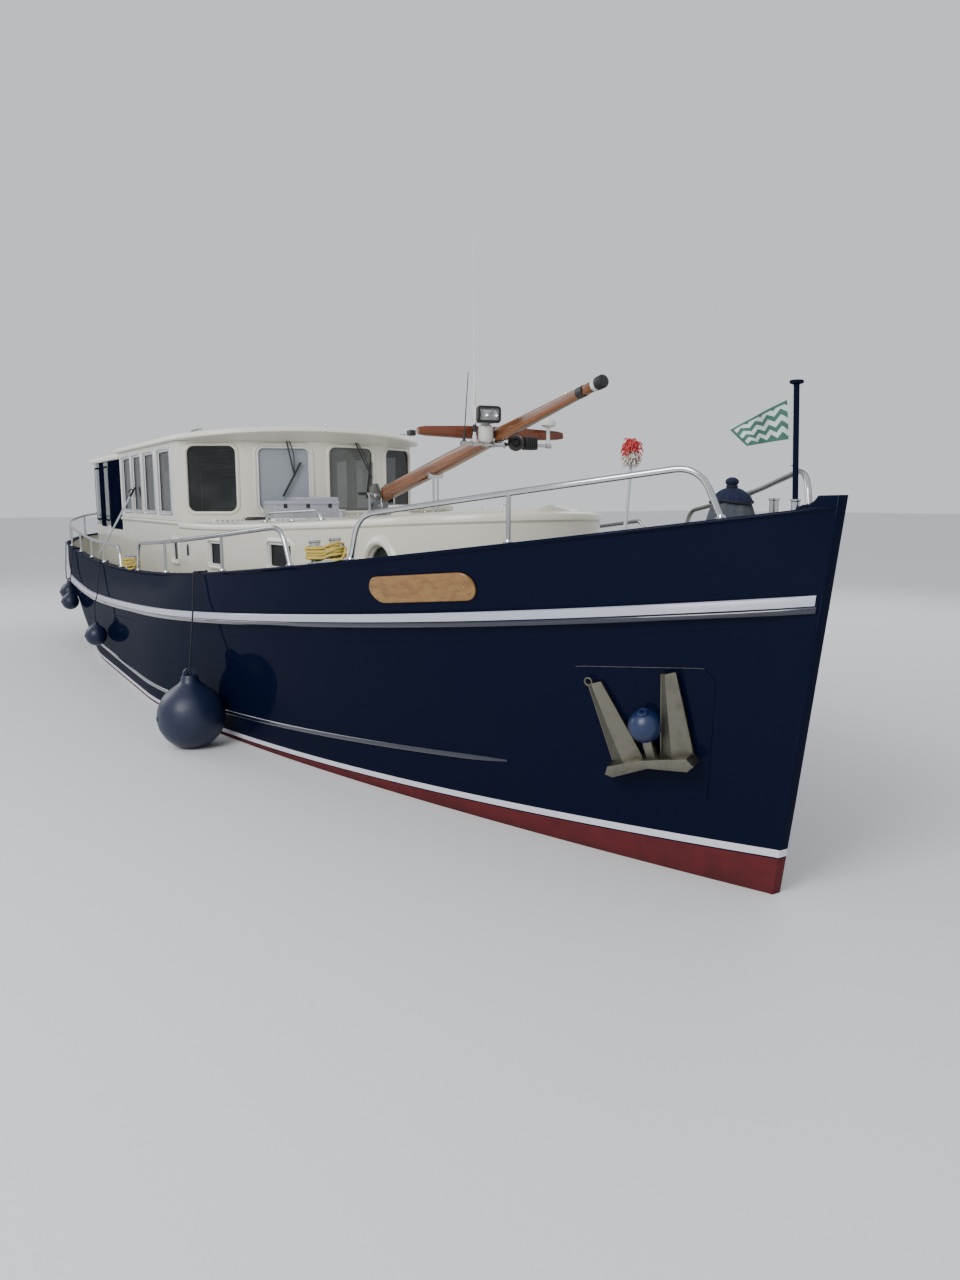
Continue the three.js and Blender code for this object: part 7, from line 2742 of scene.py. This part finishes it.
@dataclass
class BoatHook:
    """Boat hook leaning on the coaming by the side windows."""

    low: Triple = (-3.83, -1.86, 1.46)
    high: Triple = (-2.93, -1.53, 2.33)

    def build(self) -> None:
        """Build and dress the boat hook."""
        pole, hook = Shape(), Shape()
        a, b = Vector(self.low), Vector(self.high)
        pole.rod(a, b, 0.0125, chamfer=0.004, steps=18)
        ahead = (b - a).normalized()
        side = ahead.cross(Vector((0, 0, 1))).normalized()
        hook.rod(b - ahead * 0.06, b + ahead * 0.03, 0.017, 0.013, 0.003, 18)
        hook.tube(flowing([b + ahead * 0.02, b + ahead * 0.07, b + ahead * 0.12], 4),
                  [0.013] * 5 + [0.010] * 3 + [0.007], 12)
        curl = [b + ahead * a + side * s for a, s in ((0.03, 0.0), (0.075, 0.03), (0.06, 0.058), (0.015, 0.066))]
        hook.tube(flowing(curl, 5), 0.008, 12)
        pole.fit("boat_hook_pole", Look.POLE)
        hook.fit("boat_hook_head", Look.BLACK)


@dataclass
class SternGear:
    """Propeller with twisted blades, and the rudder."""

    hub: Triple = (-5.05, 0.0, -0.68)

    def build(self) -> None:
        """Build and dress the propeller and the rudder."""
        bronze = Shape()
        x, _, z = self.hub
        bronze.rod((-4.8003, 0, z), (x - 0.15, 0, z), 0.026, steps=20)
        bronze.lathe([(0, -0.085), (0.05, -0.085), (0.068, -0.07), (0.075, 0.0), (0.07, 0.07), (0.055, 0.085),
                      (0, 0.085)],
                     self.hub, (1, 0, 0), 40)
        bronze.lathe([(0, -0.185), (0.018, -0.182), (0.026, -0.165), (0.045, -0.1), (0.05, -0.083), (0, -0.083)],
                     self.hub, (1, 0, 0), 32)
        for k in range(4):
            self._blade(bronze, Matrix.Translation(self.hub) @ Matrix.Rotation(k * math.pi / 2, 4, "X"))
        bronze.fit("propeller_blades", Look.BRONZE, "propeller", body="propeller")
        self._rudder()

    def _blade(self, shape: Shape, place: Matrix) -> None:
        """Add one blade, twisted from root to tip."""
        rings = []
        for i in range(11):
            s = i / 10
            r = 0.06 + 0.245 * s
            swell = math.sqrt(max(0.02, 1 - (2 * s - 0.95) ** 2 * 0.9)) * (0.75 + 0.35 * s)
            chord = 0.10 * swell * (1.0 if i < 10 else 0.4)
            thick = 0.010 * (1 - 0.75 * s)
            pitch = math.radians(62 - 34 * s)
            ring = []
            for a in angles(16):
                c, t = chord * math.cos(a), thick * math.sin(a) * (1 - 0.25 * math.cos(a))
                ring.append((c * math.sin(pitch) * 0.9 + t * math.cos(pitch),
                             c * math.cos(pitch) - t * math.sin(pitch), r))
            rings.append(ring)
        shape.loft(rings, matrix=place)

    def _rudder(self) -> None:
        """Add the rudder with a rounded nose and a fine tail."""
        x, fore, aft = -5.62, 0.2, 0.5
        shape = Shape()
        plan = [(fore, 0.0), (fore - 0.008, 0.014), (fore - 0.03, 0.026), (0.12, 0.034), (0.04, 0.036), (-0.1, 0.033),
                (-0.28, 0.024), (-aft + 0.06, 0.011), (-aft, 0.006)]
        outline = [(x + a, b) for a, b in plan] + [(x + a, -b) for a, b in reversed(plan[1:])]
        shape.slab(outline, -1.018, -0.30, 0.004, 2)
        shape.rod((x, 0, -0.35), (x, 0, -0.2506), 0.034, steps=24)
        shape.rod((x, 0, -1.0347), (x, 0, -0.97), 0.032, steps=24)
        shape.fit("rudder_blade", Look.RED, "rudder", body="rudder", smooth=35)


@dataclass
class Studio:
    """Camera at the photograph's viewpoint, pale floor at the waterline and soft light."""

    eye: Triple = (10.722, -4.088, 2.249)
    pitch: float = 8.517
    heading: float = 30.593
    roll: float = -0.105
    focal: float = 945.0
    frame_height: float = 1280.0
    sensor: float = 36.0
    target: Triple = (0.5, 0.0, 1.2)

    def build(self) -> None:
        """Build the camera, the floor and the lights."""
        self._camera()
        self._floor()
        for lamp in (("key", (9.0, -11.0, 9.5), 7.0, 1500.0), ("fill", (-12.0, -9.0, 8.0), 8.0, 600.0),
                     ("back", (-2.0, 13.0, 9.0), 8.0, 500.0)):
            self._light(*lamp)
        world = bpy.context.scene.world or bpy.data.worlds.new("studio")
        bpy.context.scene.world = world
        world.use_nodes = True
        sky = world.node_tree.nodes["Background"].inputs
        sky["Color"].default_value = (0.84, 0.87, 0.92, 1)
        sky["Strength"].default_value = 0.9

    def _camera(self) -> None:
        """Add the camera."""
        psi, pitch, roll = (math.radians(v) for v in (self.heading, self.pitch, self.roll))
        right = Vector((math.sin(psi), math.cos(psi), 0))
        ahead = Vector((-math.cos(psi) * math.cos(pitch), math.sin(psi) * math.cos(pitch), -math.sin(pitch)))
        up = right.cross(ahead)
        turned_right = right * math.cos(roll) + up * math.sin(roll)
        turned_up = up * math.cos(roll) - right * math.sin(roll)
        camera = bpy.data.objects.new("camera", bpy.data.cameras.new("camera"))
        bpy.context.scene.collection.objects.link(camera)
        camera.matrix_world = framed(turned_right, turned_up, -ahead, self.eye)
        camera.data.sensor_width = self.sensor
        camera.data.lens = self.focal * self.sensor / self.frame_height
        camera.data.clip_end = 300.0
        bpy.context.scene.camera = camera

    def _floor(self) -> None:
        """Add the floor."""
        mesh = bpy.data.meshes.new("floor")
        work = bmesh.new()
        bmesh.ops.create_grid(work, x_segments=1, y_segments=1, size=120.0)
        work.to_mesh(mesh)
        work.free()
        floor = bpy.data.objects.new("floor", mesh)
        bpy.context.scene.collection.objects.link(floor)
        g = Graph("floor")
        g.surface(Base_Color=g.mix(g.noise(0.4, 2) * 0.2, (0.72, 0.73, 0.74), (0.69, 0.70, 0.71)), Roughness=0.9)
        mesh.materials.append(g.material)

    def _light(self, name: str, place: Point, size: float, power: float) -> None:
        """Add a square area light aimed at the yacht."""
        lamp = bpy.data.objects.new(name, bpy.data.lights.new(name, "AREA"))
        bpy.context.scene.collection.objects.link(lamp)
        lamp.data.size = size
        lamp.data.energy = power
        spot = Vector(place)
        aim = (Vector(self.target) - spot).to_track_quat("-Z", "Y").to_matrix().to_4x4()
        lamp.matrix_world = Matrix.Translation(spot) @ aim


def main() -> None:
    """Build the yacht's sub-assemblies in order."""
    roof = Roof("roof_shell", "wheelhouse_roof", 0.34, -4.12, 1.545, 2.9043, 0.065, 0.092, 0.9)
    mast = LoweredMast()
    for assembly in (Studio(), HullBody(), Bulwark(), Strake(), TrunkCabin(), Wheelhouse(), roof, RoofFittings(roof),
                     Cockpit(), mast, Instruments(mast), MastStep(mast), Rails(), Bollards(), Anchors(), Fenders(),
                     WindlassCover(), Ensign(), Mop(), DeckGear(), Boards(), Helm(), BoatHook(), SternGear()):
        assembly.build()
    bpy.context.view_layer.update()


if __name__ == "__main__":
    main()
